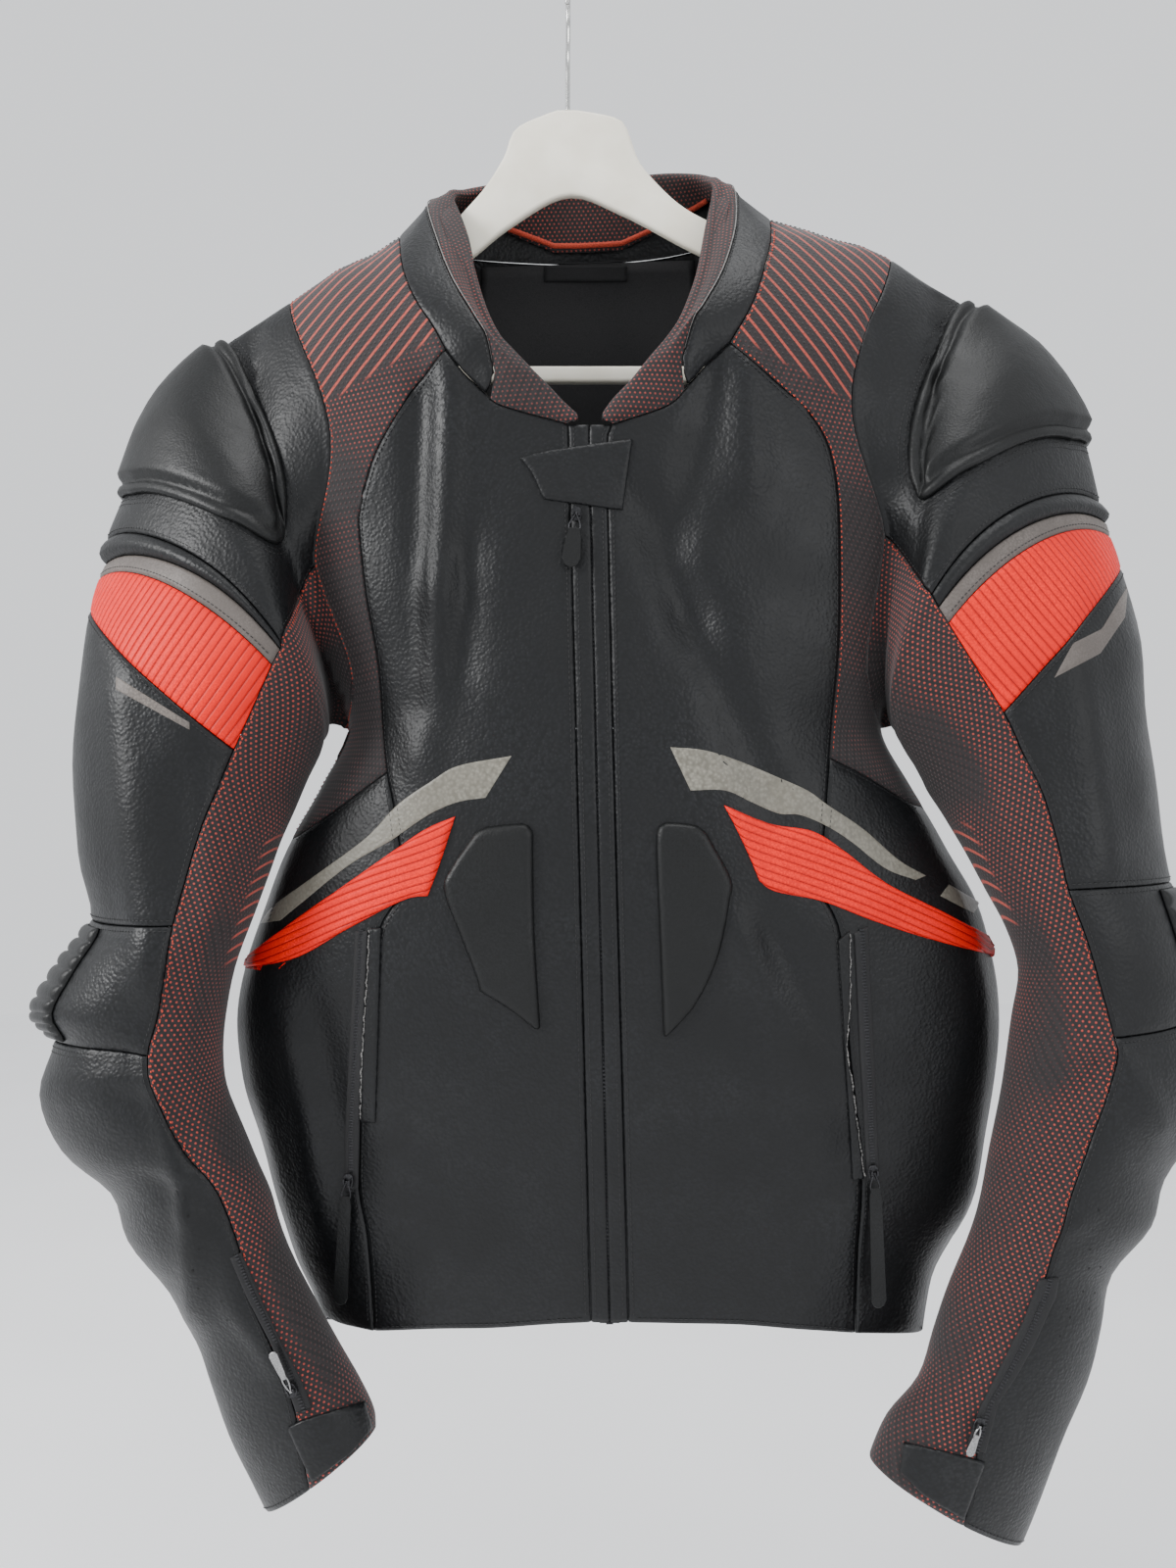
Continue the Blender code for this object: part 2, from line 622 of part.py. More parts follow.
def add_object(name, points, faces, finish):
    """An object from points in millimetres."""
    mesh = bpy.data.meshes.new(name)
    mesh.from_pydata([tuple(p * MM) for p in np.asarray(points)], [], [list(f) for f in faces])
    obj = bpy.data.objects.new(name, mesh)
    bpy.context.collection.objects.link(obj)
    obj.data.materials.append(material(finish))
    return obj


def grid_faces(rows, cols, start=0, flip=False, turned=None):
    """Triangles of a grid of points; `turned` cells split along the other diagonal."""
    faces = []
    for i in range(rows - 1):
        for j in range(cols - 1):
            a = start + i * cols + j
            b, c, d = a + cols, a + cols + 1, a + 1
            other = turned is not None and turned[i, j]
            faces += [(a, b, d), (b, c, d)] if other else [(a, b, c), (a, c, d)]
    return [face[::-1] for face in faces] if flip else faces


def add_wall(name, outer, inner, finish):
    """A closed wall between an outer and an inner grid."""
    rows, cols = outer.shape[:2]
    count = rows * cols
    points = np.concatenate([outer.reshape(-1, 3), inner.reshape(-1, 3)])
    turned = None
    if name.startswith(("yoke_front", "collar")):
        falling = np.linalg.norm(outer[1:, 1:] - outer[:-1, :-1], axis=-1)
        turned = np.linalg.norm(outer[1:, :-1] - outer[:-1, 1:], axis=-1) < falling
    faces = grid_faces(rows, cols, turned=turned)
    faces += grid_faces(rows, cols, count, True, turned)
    ring = [j for j in range(cols)]
    ring += [i * cols + cols - 1 for i in range(1, rows)]
    ring += [(rows - 1) * cols + j for j in range(cols - 2, -1, -1)]
    ring += [i * cols for i in range(rows - 2, 0, -1)]
    for a, b in zip(ring, ring[1:] + ring[:1]):
        faces += [(a, b, count + b), (a, count + b, count + a)]
    return add_object(name, points, faces, finish)


def add_prism(name, outline, near, far, finish="leather"):
    """A solid along the sight lines over a seen outline, between two depths."""
    outline = np.array(outline, dtype=float)
    turn = np.roll(outline, -1, axis=0)
    if (outline[:, 0] * turn[:, 1] - turn[:, 0] * outline[:, 1]).sum() < 0:
        outline = outline[::-1]
    count = len(outline)
    points = np.concatenate([
        place(np.column_stack([outline, np.full(count, near)])),
        place(np.column_stack([outline, np.full(count, far)])),
    ])
    faces = [tuple(range(count)), tuple(range(2 * count - 1, count - 1, -1))]
    for k in range(count):
        following = (k + 1) % count
        faces.append((k, count + k, count + following, following))
    return add_object(name, points, faces, finish)


def add_overlay(work, name, names, outline, thick, finish, far=0.0):
    """A piece laid on panels: their skins moved out and cut to a seen outline."""
    points, faces = work.shell(names, LIFT, LIFT + thick)
    obj = add_object(name, points, faces, finish)
    cutter = add_prism(name + "_outline", outline, -150.0, far)
    cutter.hide_render = True
    cutter.display_type = "WIRE"
    trim = obj.modifiers.new("outline", "BOOLEAN")
    trim.operation = "INTERSECT"
    trim.solver = "EXACT"
    trim.object = cutter
    return obj


def sew_trunk(work, right, left):
    """Skins of the fronts, side panels, knit yokes, placket and back."""
    arm_r, arm_l = (np.array([arm.seen(0, k) for k in HALF_RING]) for arm in (right, left))
    arm_back_r, arm_back_l = (
        np.array([arm.seen(0, -k) for k in HALF_RING]) for arm in (right, left)
    )
    necks = {
        "rf": on_front(curve(NECK_RIGHT_FRONT, 5)), "rs": on_front(curve(NECK_RIGHT_SIDE, 3)),
        "back": on_back(curve(NECK_BACK, 10)),
        "ls": on_front(curve(NECK_LEFT_SIDE, 3)), "lf": on_front(curve(NECK_LEFT_FRONT, 5)),
    }
    sides = {}
    for tag, column, start, turn in (("r", 1, arm_r[-1], -594), ("l", 2, arm_l[-1], -572)):
        heights = np.concatenate([np.linspace(start[1], turn, 4), np.linspace(turn, -928, 13)[1:]])
        section = hermite(TRUNK, heights)
        line = np.column_stack([section[:, column - 1], heights, section[:, 3]])
        line[0] = start
        sides[tag] = line
    princess_r = on_front(curve(PRINCESS_RIGHT, 10))
    princess_l = on_front(curve(PRINCESS_LEFT, 10))
    lower_r = on_front(curve(LOWER_RIGHT, 12))
    lower_l = on_front(curve(LOWER_LEFT, 12))
    knit_hem_r = on_front(curve(KNIT_HEM_RIGHT, 5))
    knit_hem_l = on_front(curve(KNIT_HEM_LEFT, 5))
    knit_hem_r[0], knit_hem_l[-1] = sides["r"][3], sides["l"][3]
    hem_rs, hem_ls = on_front(curve(HEM_RIGHT_SIDE, 5)), on_front(curve(HEM_LEFT_SIDE, 5))
    hem_rs[0], hem_ls[-1] = sides["r"][-1], sides["l"][-1]
    shoulder_r, shoulder_l = on_front(curve(SHOULDER_RIGHT, 5)), on_front(curve(SHOULDER_LEFT, 5))
    shoulder_r[:, 2] = shoulder_l[:, 2] = 0.0
    shoulder_r[0], shoulder_l[-1] = arm_r[0], arm_l[0]
    necks["rs"][-1] = shoulder_r[-1] = necks["back"][0]
    necks["ls"][0] = shoulder_l[0] = necks["back"][-1]
    edge_r = on_front(curve(PLACKET_RIGHT, 22))
    edge_l = on_front(curve(PLACKET_LEFT, 22))
    middle = on_front(curve(ZIP_LINE, 22))
    hem_rf, hem_lf = on_front(curve(HEM_RIGHT_FRONT, 5)), on_front(curve(HEM_LEFT_FRONT, 5))
    edge_r[0], edge_l[0] = necks["rf"][0], necks["lf"][-1]
    edge_r[-1], edge_l[-1] = hem_rf[-1], hem_lf[0]

    work.add("yoke_front_right", fill(
        join(arm_r, sides["r"][:4]), join(necks["rs"][::-1], princess_r), shoulder_r, knit_hem_r))
    work.add("yoke_front_left", fill(
        join(necks["ls"], princess_l), join(arm_l, sides["l"][:4]), shoulder_l, knit_hem_l))
    work.add("side_right", fill(sides["r"][3:], lower_r, knit_hem_r, hem_rs))
    work.add("side_left", fill(lower_l, sides["l"][3:], knit_hem_l, hem_ls))
    work.add("front_right", fill(
        join(princess_r, lower_r), edge_r, necks["rf"][::-1], hem_rf))
    work.add("front_left", fill(
        edge_l, join(princess_l, lower_l), necks["lf"][::-1], hem_lf))
    for name, first, last in (("placket_right", edge_r, middle), ("placket_left", middle, edge_l)):
        top = np.linspace(first[0], last[0], 3)
        low = np.linspace(first[-1], last[-1], 3)
        work.add(name, fill(first, last, top, low))

    across = np.linspace(arm_l[-1][:2], arm_r[-1][:2], 21)
    waist = on_back(across)
    waist[0], waist[-1] = arm_l[-1], arm_r[-1]
    back_top = join(shoulder_l[::-1], necks["back"][::-1], shoulder_r[::-1])
    work.add("back_yoke", fill(arm_back_l, arm_back_r, back_top, waist, front=False))
    hem = on_back(np.linspace(sides["l"][-1][:2], sides["r"][-1][:2], 21))
    hem[0], hem[-1] = sides["l"][-1], sides["r"][-1]
    work.add("back_body", fill(sides["l"], sides["r"], waist, hem, front=False))
    return join(necks["rf"], necks["rs"], necks["back"], necks["ls"], necks["lf"])


def sew_sleeve(work, sleeve, tag):
    """Skins of a sleeve's leather pieces and of its knit."""
    near = HALF_RING[:LEATHER_STEPS + 1]
    leather = [-k for k in near[::-1]] + list(near[1:])
    far = HALF_RING[LEATHER_STEPS:]
    knit = list(far) + [2 - k for k in far[-2::-1]]
    for name, first, last in SLEEVE_PIECES:
        rings = [r for r in SLEEVE_STATIONS if first <= r <= last]
        work.add(f"{name}_{tag}", sleeve.grid(rings, leather))
    work.add(f"sleeve_knit_{tag}", sleeve.grid(SLEEVE_STATIONS, knit))


def sew_collar(work, neck):
    """Skins of the collar's leather band and of its padded knit top and inner face."""
    leather_top = np.array(COLLAR_LEATHER_TOP, dtype=float)
    knit_top = np.array(COLLAR_KNIT_TOP, dtype=float)
    first = COLLAR_LEATHER_START
    base = neck[first:first + len(leather_top)]
    belly = (leather_top + base) / 2
    belly[:, 2] -= 2.0
    band = np.stack([leather_top, belly, base])
    work.add("collar_leather", band[:, ::-1])
    outer = neck.copy()
    outer[first:first + len(leather_top)] = leather_top
    inward = np.array(NECK_AXIS) - knit_top[:, [0, 2]]
    inward /= np.linalg.norm(inward, axis=1, keepdims=True)
    pad = np.column_stack([inward[:, 0], np.zeros(len(knit_top)), inward[:, 1]]) * COLLAR_PADDING
    share = np.interp(np.arange(len(neck)), *zip(*COLLAR_TURN_DOWN))[:, None]
    inner_top = knit_top + pad
    inner_top[:, 1] -= 1.5
    crest = knit_top + pad / 2
    crest[:, 1] += 2.5
    inner_low = knit_top + (neck - knit_top) * share + pad
    rows = np.stack([
        inner_low, (inner_low + inner_top) / 2, inner_top, crest, knit_top,
        (knit_top + outer) / 2 + [0, 0, -1.0], outer,
    ])
    work.add("collar_knit", rows[:, ::-1])


def build_overlays(work):
    """Bands, pads, tabs, pocket and cuff zips laid on the panels."""
    fronts = ("front_right", "placket_right", "placket_left", "front_left")
    add_overlay(work, "throat_tab", fronts, THROAT_TAB, TAB_THICK, "leather")
    add_overlay(work, "chest_pad_right", ("front_right",), PAD_RIGHT, PAD_THICK, "leather")
    add_overlay(work, "chest_pad_left", ("front_left",), PAD_LEFT, PAD_THICK, "leather")
    for tag, band in (("right", BAND_RIGHT), ("left", BAND_LEFT)):
        panels = (f"front_{tag}", f"side_{tag}")
        add_overlay(work, f"front_band_{tag}", panels, band, BAND_THICK, "red")
    for tag, zip_line, flap in (
        ("right", POCKET_ZIP_RIGHT, POCKET_FLAP_RIGHT), ("left", POCKET_ZIP_LEFT, POCKET_FLAP_LEFT)
    ):
        panels = (f"front_{tag}", f"side_{tag}")
        add_overlay(work, f"pocket_zip_{tag}", panels, zip_line, ZIP_THICK, "metal")
        add_overlay(work, f"pocket_flap_{tag}", panels, flap, FLAP_THICK, "leather")
    for tag, tab, zip_line in (
        ("right", CUFF_TAB_RIGHT, CUFF_ZIP_RIGHT), ("left", CUFF_TAB_LEFT, CUFF_ZIP_LEFT)
    ):
        panels = (f"forearm_{tag}", f"sleeve_knit_{tag}")
        add_overlay(work, f"cuff_tab_{tag}", panels, tab, TAB_THICK, "leather", CUFF_MIDDLE)
        add_overlay(work, f"cuff_zip_{tag}", panels, zip_line, ZIP_THICK, "metal", CUFF_MIDDLE)


def ring_index(ring):
    """The fractional row of a sleeve's stations at a ring."""
    return float(np.interp(ring, SLEEVE_STATIONS, np.arange(len(SLEEVE_STATIONS))))


def laid_on_sleeve(work, name, tag, rings, turns_of, high_of, low):
    """A piece laid on one leather panel of a sleeve, by rings and turns."""
    skin, normal = work.skins[name], work.normals(name)
    first = ring_index({n: a for n, a, b in SLEEVE_PIECES}[name[:-len(tag) - 1]])
    outer, inner = [], []
    for i, ring in enumerate(rings):
        outer_row, inner_row = [], []
        turns = turns_of(ring)
        for j, turn in enumerate(turns):
            col = LEATHER_STEPS * (1 + 2 * turn)
            if tag == "left":
                col = 2 * LEATHER_STEPS - col
            spot, out = facet_point(skin, normal, ring_index(ring) - first, col)
            high = high_of(i / (len(rings) - 1), j / (len(turns) - 1))
            outer_row.append(spot + out * (low + high))
            inner_row.append(spot + out * (low + HOLLOW * high))
        outer.append(outer_row)
        inner.append(inner_row)
    outer, inner = np.array(outer), np.array(inner)
    if tag == "left":
        outer, inner = outer[:, ::-1], inner[:, ::-1]
    return outer, inner


def build_sleeve_trim(work, tag):
    """The shoulder protector and the ribbed elbow panel of one sleeve."""
    reach = np.array(PROTECTOR)

    def protector_turns(ring):
        edge = np.interp(ring, reach[:, 0], reach[:, 1])
        return edge * np.sin(np.linspace(-math.pi / 2, math.pi / 2, 11))

    def protector_height(down, across):
        inside = min(1, 5 * min(down, 1 - down), 5 * min(across, 1 - across) * 1.2)
        return PROTECTOR_RIM + PROTECTOR_RISE * math.sin(inside * math.pi / 2) ** 1.5

    rings = PROTECTOR_RINGS
    walls = laid_on_sleeve(
        work, f"cap_{tag}", tag, rings, protector_turns, protector_height, PROTECTOR_LIFT)
    add_wall(f"shoulder_protector_{tag}", *walls, "leather")

    def rib_turns(ring):
        return ELBOW_RIB_TURNS

    def rib_height(down, across):
        crest = abs(math.sin(down * math.pi * ELBOW_RIBS))
        return LEATHER + ELBOW_RIB_RISE * crest * (1 if 0 < across < 1 else 0.3)

    share = 2 * ELBOW_RIBS // (len(ELBOW_RIB_RINGS) - 1)
    marks = np.arange(len(ELBOW_RIB_RINGS)) * share
    rings = np.interp(np.arange(2 * ELBOW_RIBS + 1), marks, ELBOW_RIB_RINGS)
    walls = laid_on_sleeve(work, f"elbow_{tag}", tag, rings, rib_turns, rib_height, RIB_LIFT)
    add_wall(f"elbow_ribs_{tag}", *walls, "leather")


def build_walls(work):
    """Every panel's skin as a closed wall."""
    finishes = {"knit": (KNIT, "knit"), "yoke_front": (KNIT, "knit"), "red_band": (LEATHER, "red"),
                "shoulder_trim": (LEATHER, "grey")}
    for name, skin in work.skins.items():
        thick, finish = LEATHER, "leather"
        for word, choice in finishes.items():
            if word in name:
                thick, finish = choice
        raise_by = None
        if name.startswith("shoulder_trim"):
            raise_by = np.zeros(skin.shape[:2])
            raise_by[1, 1:-1] = RIDGE_RISE
        gap = COLLAR_GAP if name.startswith("collar") else SEAM_GAP
        if gap == SEAM_GAP and (finish == "knit" or name.startswith("front")):
            gap = KNIT_GAP
        add_wall(name, *work.wall(name, thick, raise_by, gap), finish)


def build_lining(work):
    """The black lining inside the back of the neck, the hanging loop and the zip tape."""
    corners = ((-58, -199), (88, -194), (-72, -400), (100, -400))
    left, right = np.linspace(corners[0], corners[2], 7), np.linspace(corners[1], corners[3], 7)
    share = np.linspace(0, 1, 9)[None, :, None]
    seen = left[:, None] * (1 - share) + right[:, None] * share
    depth = trunk_depth(seen, front=False)
    outer = place(np.concatenate([seen, (depth - LEATHER - LINING_GAP)[..., None]], axis=-1))
    inner = place(np.concatenate([seen, (depth - LEATHER - LINING_GAP - LINING)[..., None]], axis=-1))
    add_wall("neck_lining", outer[:, ::-1], inner[:, ::-1], "lining")
    top, low = on_front(curve(ZIP_LINE, 22))[1:], np.array([0, 0, LEATHER + 1.0])
    tape = np.array([[p + low + [dx, 0, 0] for dx in (-7, 0, 7)] for p in top])
    add_wall("main_zip", place(tape), place(tape + [0, 0, 1.5]), "metal")
    spots = np.array([[(x, z) for x in (-15, 0, 15, 30, 42)] for z in (-198, -203, -208)], float)
    depth = trunk_depth(spots, front=False) - LEATHER - LINING_GAP - LINING - LOOP_GAP
    outer = place(np.concatenate([spots, depth[..., None]], axis=-1))
    inner = place(np.concatenate([spots, depth[..., None] - LINING], axis=-1))
    add_wall("hang_loop", outer[:, ::-1], inner[:, ::-1], "lining")


def extrude(name, outline, low, high, frame, finish):
    """An outline (first, second axis) given a thickness on the third, set in a frame."""
    count = len(outline)
    points = [(x, y, low) for x, y in outline] + [(x, y, high) for x, y in outline]
    faces = [tuple(range(count - 1, -1, -1)), tuple(range(count, 2 * count))]
    for k in range(count):
        following = (k + 1) % count
        faces.append((k, following, count + following, count + k))
    obj = add_object(name, points, faces, finish)
    obj.matrix_world = frame
    return obj


def surface_frame(work, names, high, spot, tip):
    """Axes `high` above the cloth under a seen place: along to the tip, across, outward."""
    points, faces = work.shell(names, high - LEATHER, high)
    count = len(points) // 2
    skin = [face for face in faces if max(face) < count]
    tree = BVHTree.FromPolygons([tuple(p) for p in points], skin)
    eye = Vector(EYE)
    aim = Vector(place(np.array([spot[0], spot[1], 0.0]))) - eye
    hit, normal = tree.ray_cast(eye, aim)[:2]
    normal *= -1 if normal.dot(aim) > 0 else 1
    along = Vector(place(np.array([tip[0], tip[1], hit.y]))) - hit
    length = along.length
    along = (along - normal * along.dot(normal)).normalized()
    across = normal.cross(along)
    base = hit + normal * (HINGE_HEIGHT + SLIDER_BASE + SLIDER_LIFT)
    frame = Matrix((along, across, normal)).transposed().to_4x4()
    frame.translation = base * MM
    return frame, length


def build_sliders(work):
    """The zip sliders and their pull tabs, each pull hinged between two lugs."""
    for tag, (names, high, spot, tip, half_width) in SLIDERS.items():
        frame, length = surface_frame(work, names, high, spot, tip)
        top = LUG_HEIGHT - HINGE_HEIGHT
        floor, base = -HINGE_HEIGHT, -HINGE_HEIGHT - SLIDER_BASE
        channel = (
            (-SLIDER_HALF_WIDTH, base), (SLIDER_HALF_WIDTH, base), (SLIDER_HALF_WIDTH, floor),
            (LUG_OUTER, floor), (LUG_OUTER, top), (LUG_INNER, top), (LUG_INNER, floor),
            (-LUG_INNER, floor), (-LUG_INNER, top), (-LUG_OUTER, top), (-LUG_OUTER, floor),
            (-SLIDER_HALF_WIDTH, floor),
        )
        turned = frame @ Matrix(((0, 0, 1, 0), (1, 0, 0, 0), (0, 1, 0, 0), (0, 0, 0, 1)))
        extrude(f"slider_{tag}", channel, -SLIDER_HALF_LENGTH, SLIDER_HALF_LENGTH, turned, "metal")
        half = PULL_THICK / 2
        tongue = (
            (-half, -NECK_HALF_WIDTH), (PULL_SHOULDER, -NECK_HALF_WIDTH),
            (PULL_SHOULDER + 1, -half_width), (length - half_width / 2, -half_width),
            (length, -half_width / 2), (length, half_width / 2),
            (length - half_width / 2, half_width), (PULL_SHOULDER + 1, half_width),
            (PULL_SHOULDER, NECK_HALF_WIDTH), (-half, NECK_HALF_WIDTH),
        )
        extrude(f"pull_{tag}", tongue, -half, half, frame, "leather")


def shoulder_underside(points):
    """Where the hanger's arm lies under a shoulder seam."""
    line = on_front(curve(points, 5))[:, :2]
    return [(x, z - ARM_CLEARANCE) for x, z in line]


def add_plank(name, outline, half_depth, finish):
    """A straight slab over an outline (x, z), square to the depth."""
    obj = add_prism(name, outline, 0.0, 0.0, finish)
    half = len(obj.data.vertices) // 2
    for index, vertex in enumerate(obj.data.vertices):
        vertex.co.y = half_depth * MM * (-1 if index < half else 1)
    return obj


def build_hanger():
    """The wooden hanger, its trouser bar and its wire hook."""
    right = shoulder_underside(SHOULDER_RIGHT)
    left = shoulder_underside(SHOULDER_LEFT)
    right = [(-180, np.interp(-180, *zip(*right)))] + [p for p in right if p[0] > -178]
    left = [p for p in left if p[0] < 212] + [(214, np.interp(214, *zip(*left)))]
    outline = (
        right + list(HANGER_UPPER_RIGHT) + [(-6, HANGER_TOP), (8, HANGER_TOP)]
        + list(HANGER_UPPER_LEFT) + left + list(HANGER_LOWER)
    )
    add_plank("hanger", outline, HANGER_HALF_DEPTH, "wood")
    low, high = BAR_HEIGHTS
    first, last = BAR_ENDS
    bar = (
        (first, low), (last, low), (last, -212.6), (last - BAR_POST, -210.0),
        (last - BAR_POST, high), (first + BAR_POST, high), (first + BAR_POST, -228.4),
        (first, -229.0),
    )
    add_plank("hanger_bar", bar, BAR_HALF_DEPTH, "wood")
    middle = HOOK_RADIUS + HOOK_WIRE
    run = [(0, -90.6), (0, -72), (0, -58), (4, -48), (13, -37)]
    turns = np.linspace(-0.35, math.pi + 0.5, 15)
    run += [(middle * math.cos(t), -HOOK_RADIUS + middle * math.sin(t)) for t in turns]
    data = bpy.data.curves.new("hook", "CURVE")
    data.dimensions = "3D"
    data.bevel_depth = HOOK_WIRE * MM
    data.bevel_resolution = 2
    data.use_fill_caps = True
    spline = data.splines.new("POLY")
    spline.points.add(len(run) - 1)
    for point, (y, z) in zip(spline.points, run):
        point.co = (1.0 * MM, y * MM, z * MM, 1)
    obj = bpy.data.objects.new("hook", data)
    bpy.context.collection.objects.link(obj)
    data.materials.append(material("metal"))


def main():
    for old in list(bpy.data.objects):
        bpy.data.objects.remove(old)
    right = Sleeve(SLEEVE_RIGHT, 1)
    left = Sleeve(SLEEVE_LEFT, -1)
    work = Patchwork()
    neck = sew_trunk(work, right, left)
    sew_sleeve(work, right, "right")
    sew_sleeve(work, left, "left")
    sew_collar(work, neck)
    build_walls(work)
    build_overlays(work)
    for tag in ("right", "left"):
        build_sleeve_trim(work, tag)
    build_lining(work)
    build_sliders(work)
    build_hanger()


main()
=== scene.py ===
"""Looks of a leather motorcycle jacket on its hanger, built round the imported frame.

The form is the one that the part's solids have, drawn finer: tables give places as
they are seen from the front, from EYE, in the plane of the hanger, in millimetres,
as `across` to the right and `height` upward. `place` moves a place that lies nearer
or further back along its line of sight. Meshes are made in metres at the origin.
"""

from __future__ import annotations

import logging
import math
from collections.abc import Callable, Iterable, Sequence
from dataclasses import dataclass
from enum import Enum

import bpy
import numpy as np
from mathutils import Matrix, Vector
from mathutils.bvhtree import BVHTree

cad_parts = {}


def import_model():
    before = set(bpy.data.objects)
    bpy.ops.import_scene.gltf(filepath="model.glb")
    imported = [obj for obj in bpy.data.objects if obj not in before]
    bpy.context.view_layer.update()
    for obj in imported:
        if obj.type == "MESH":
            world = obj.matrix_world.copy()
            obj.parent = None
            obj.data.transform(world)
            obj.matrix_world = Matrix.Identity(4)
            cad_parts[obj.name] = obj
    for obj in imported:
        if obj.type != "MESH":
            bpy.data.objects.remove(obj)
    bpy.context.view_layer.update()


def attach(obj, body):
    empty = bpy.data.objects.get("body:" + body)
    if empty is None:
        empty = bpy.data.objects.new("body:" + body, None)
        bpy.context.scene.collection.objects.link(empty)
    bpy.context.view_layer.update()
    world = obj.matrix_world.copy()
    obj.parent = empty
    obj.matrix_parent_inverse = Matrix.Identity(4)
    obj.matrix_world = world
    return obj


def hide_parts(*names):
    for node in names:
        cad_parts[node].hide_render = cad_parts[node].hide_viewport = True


log = logging.getLogger("jacket")
Tree, Socket = bpy.types.NodeTree, bpy.types.NodeSocket
Material, Piece = bpy.types.Material, bpy.types.Object

EYE = (15.0, -875.0, -556.5)
LEATHER = 1.4
KNIT = 1.2
LINING = 1.0
LINING_GAP = 1.7
LOOP_GAP = 1.8
LIFT = 0.5
SHOULDER_ROLL = 85.0
# How square the trunk's section is, across and in depth.
SECTION_ACROSS = 2.6
SECTION_DEEP = 2.4

# The trunk, top to bottom: height, right and left edge, depth of front, side and back.
TRUNK = (
    (-177, -222, 259, -74, 0, 62),
    (-319, -207, 249, -77, 0, 72),
    (-421, -185, 240, -81, 2, 78),
    (-482, -163, 229, -83, 6, 80),
    (-518, -151, 218, -84, 10, 80),
    (-556, -169, 238, -84, 10, 80),
    (-600, -193, 264, -83, 8, 79),
    (-638, -208, 285, -82, 6, 78),
    (-680, -222, 297, -80, 5, 76),
    (-722, -229, 300, -77, 4, 74),
    (-760, -225, 298, -74, 3, 71),
    (-800, -213, 291, -69, 2, 68),
    (-855, -198, 277, -63, 0, 63),
    (-889, -187, 254, -60, -1, 60),
    (-911, -175, 248, -58, -2, 58),
    (-940, -164, 244, -56, -2, 56),
)

# The shoulder ridge: across, height.
RIDGE = (
    (-230, -245), (-191, -222), (-158, -200), (-134, -190), (-116, -178), (-95, -160),
    (15, -150), (115, -150), (142, -165), (182, -178), (204, -183), (225, -193), (262, -215),
)

# Soft folds of the fronts: start across and height, end across and height, half width, rise.
FOLDS = (
    (-83, -272, -90, -420, 15, 5),
    (-90, -420, -102, -530, 14, 5),
    (-100, -290, -103, -500, 10, -5),
    (-69, -400, -73, -470, 12, -4),
    (123, -275, 128, -340, 14, 4),
    (106, -275, 77, -380, 14, -4),
    (56, -370, 84, -435, 16, -5),
    (84, -435, 138, -560, 14, -4),
    (124, -665, 185, -765, 14, 4),
    (144, -665, 198, -800, 13, -4),
    (-175, -720, -150, -820, 14, -4),
    (-190, -740, -170, -860, 12, 4),
)

# Seams as seen from the front, each from top to bottom or from right to left.
NECK_RIGHT_FRONT = ((1, -307), (-45, -294), (-56, -286), (-72, -270), (-84, -255))
NECK_RIGHT_SIDE = ((-84, -255), (-93, -239), (-106, -219), (-114, -198), (-116, -178))
NECK_BACK = (
    (-116, -178), (-104, -185), (-73, -192), (-32, -196), (17, -197), (69, -192),
    (113, -180), (142, -165),
)
NECK_LEFT_SIDE = ((142, -165), (142, -181), (134, -211), (126, -230), (114, -250))
NECK_LEFT_FRONT = ((114, -250), (98, -266), (85, -280), (70, -294), (32, -307))
SHOULDER_RIGHT = ((-191, -222), (-158, -200), (-134, -190), (-116, -178))
SHOULDER_LEFT = ((142, -165), (182, -178), (204, -183), (225, -193))
PRINCESS_RIGHT = (
    (-84, -255), (-111, -289), (-132, -325), (-142, -356), (-145, -374), (-140, -421),
    (-132, -473), (-125, -548),
)
PRINCESS_LEFT = (
    (114, -250), (149, -280), (176, -308), (187, -341), (191, -399), (189, -468), (183, -538),
)
LOWER_RIGHT = (
    (-125, -548), (-119, -580), (-114, -628), (-131, -662), (-141, -748), (-145, -828),
    (-138, -870), (-134, -936),
)
LOWER_LEFT = (
    (183, -538), (180, -575), (178, -628), (190, -662), (197, -748), (205, -828),
    (202, -882), (201, -938),
)
KNIT_HEM_RIGHT = ((-188, -594), (-154, -569), (-125, -548))
KNIT_HEM_LEFT = ((183, -538), (208, -551), (243, -572))
HEM_RIGHT_SIDE = ((-168, -925), (-156, -931), (-134, -936))
HEM_RIGHT_FRONT = ((-134, -936), (-53, -934), (17, -930))
HEM_LEFT_FRONT = ((43, -930), (121, -932), (201, -938))
HEM_LEFT_SIDE = ((201, -938), (243, -937), (246, -931))
PLACKET_RIGHT = ((1, -307), (3, -373), (17, -930))
ZIP_LINE = ((16, -307), (17, -373), (30, -930))
PLACKET_LEFT = ((32, -307), (29, -373), (43, -930))

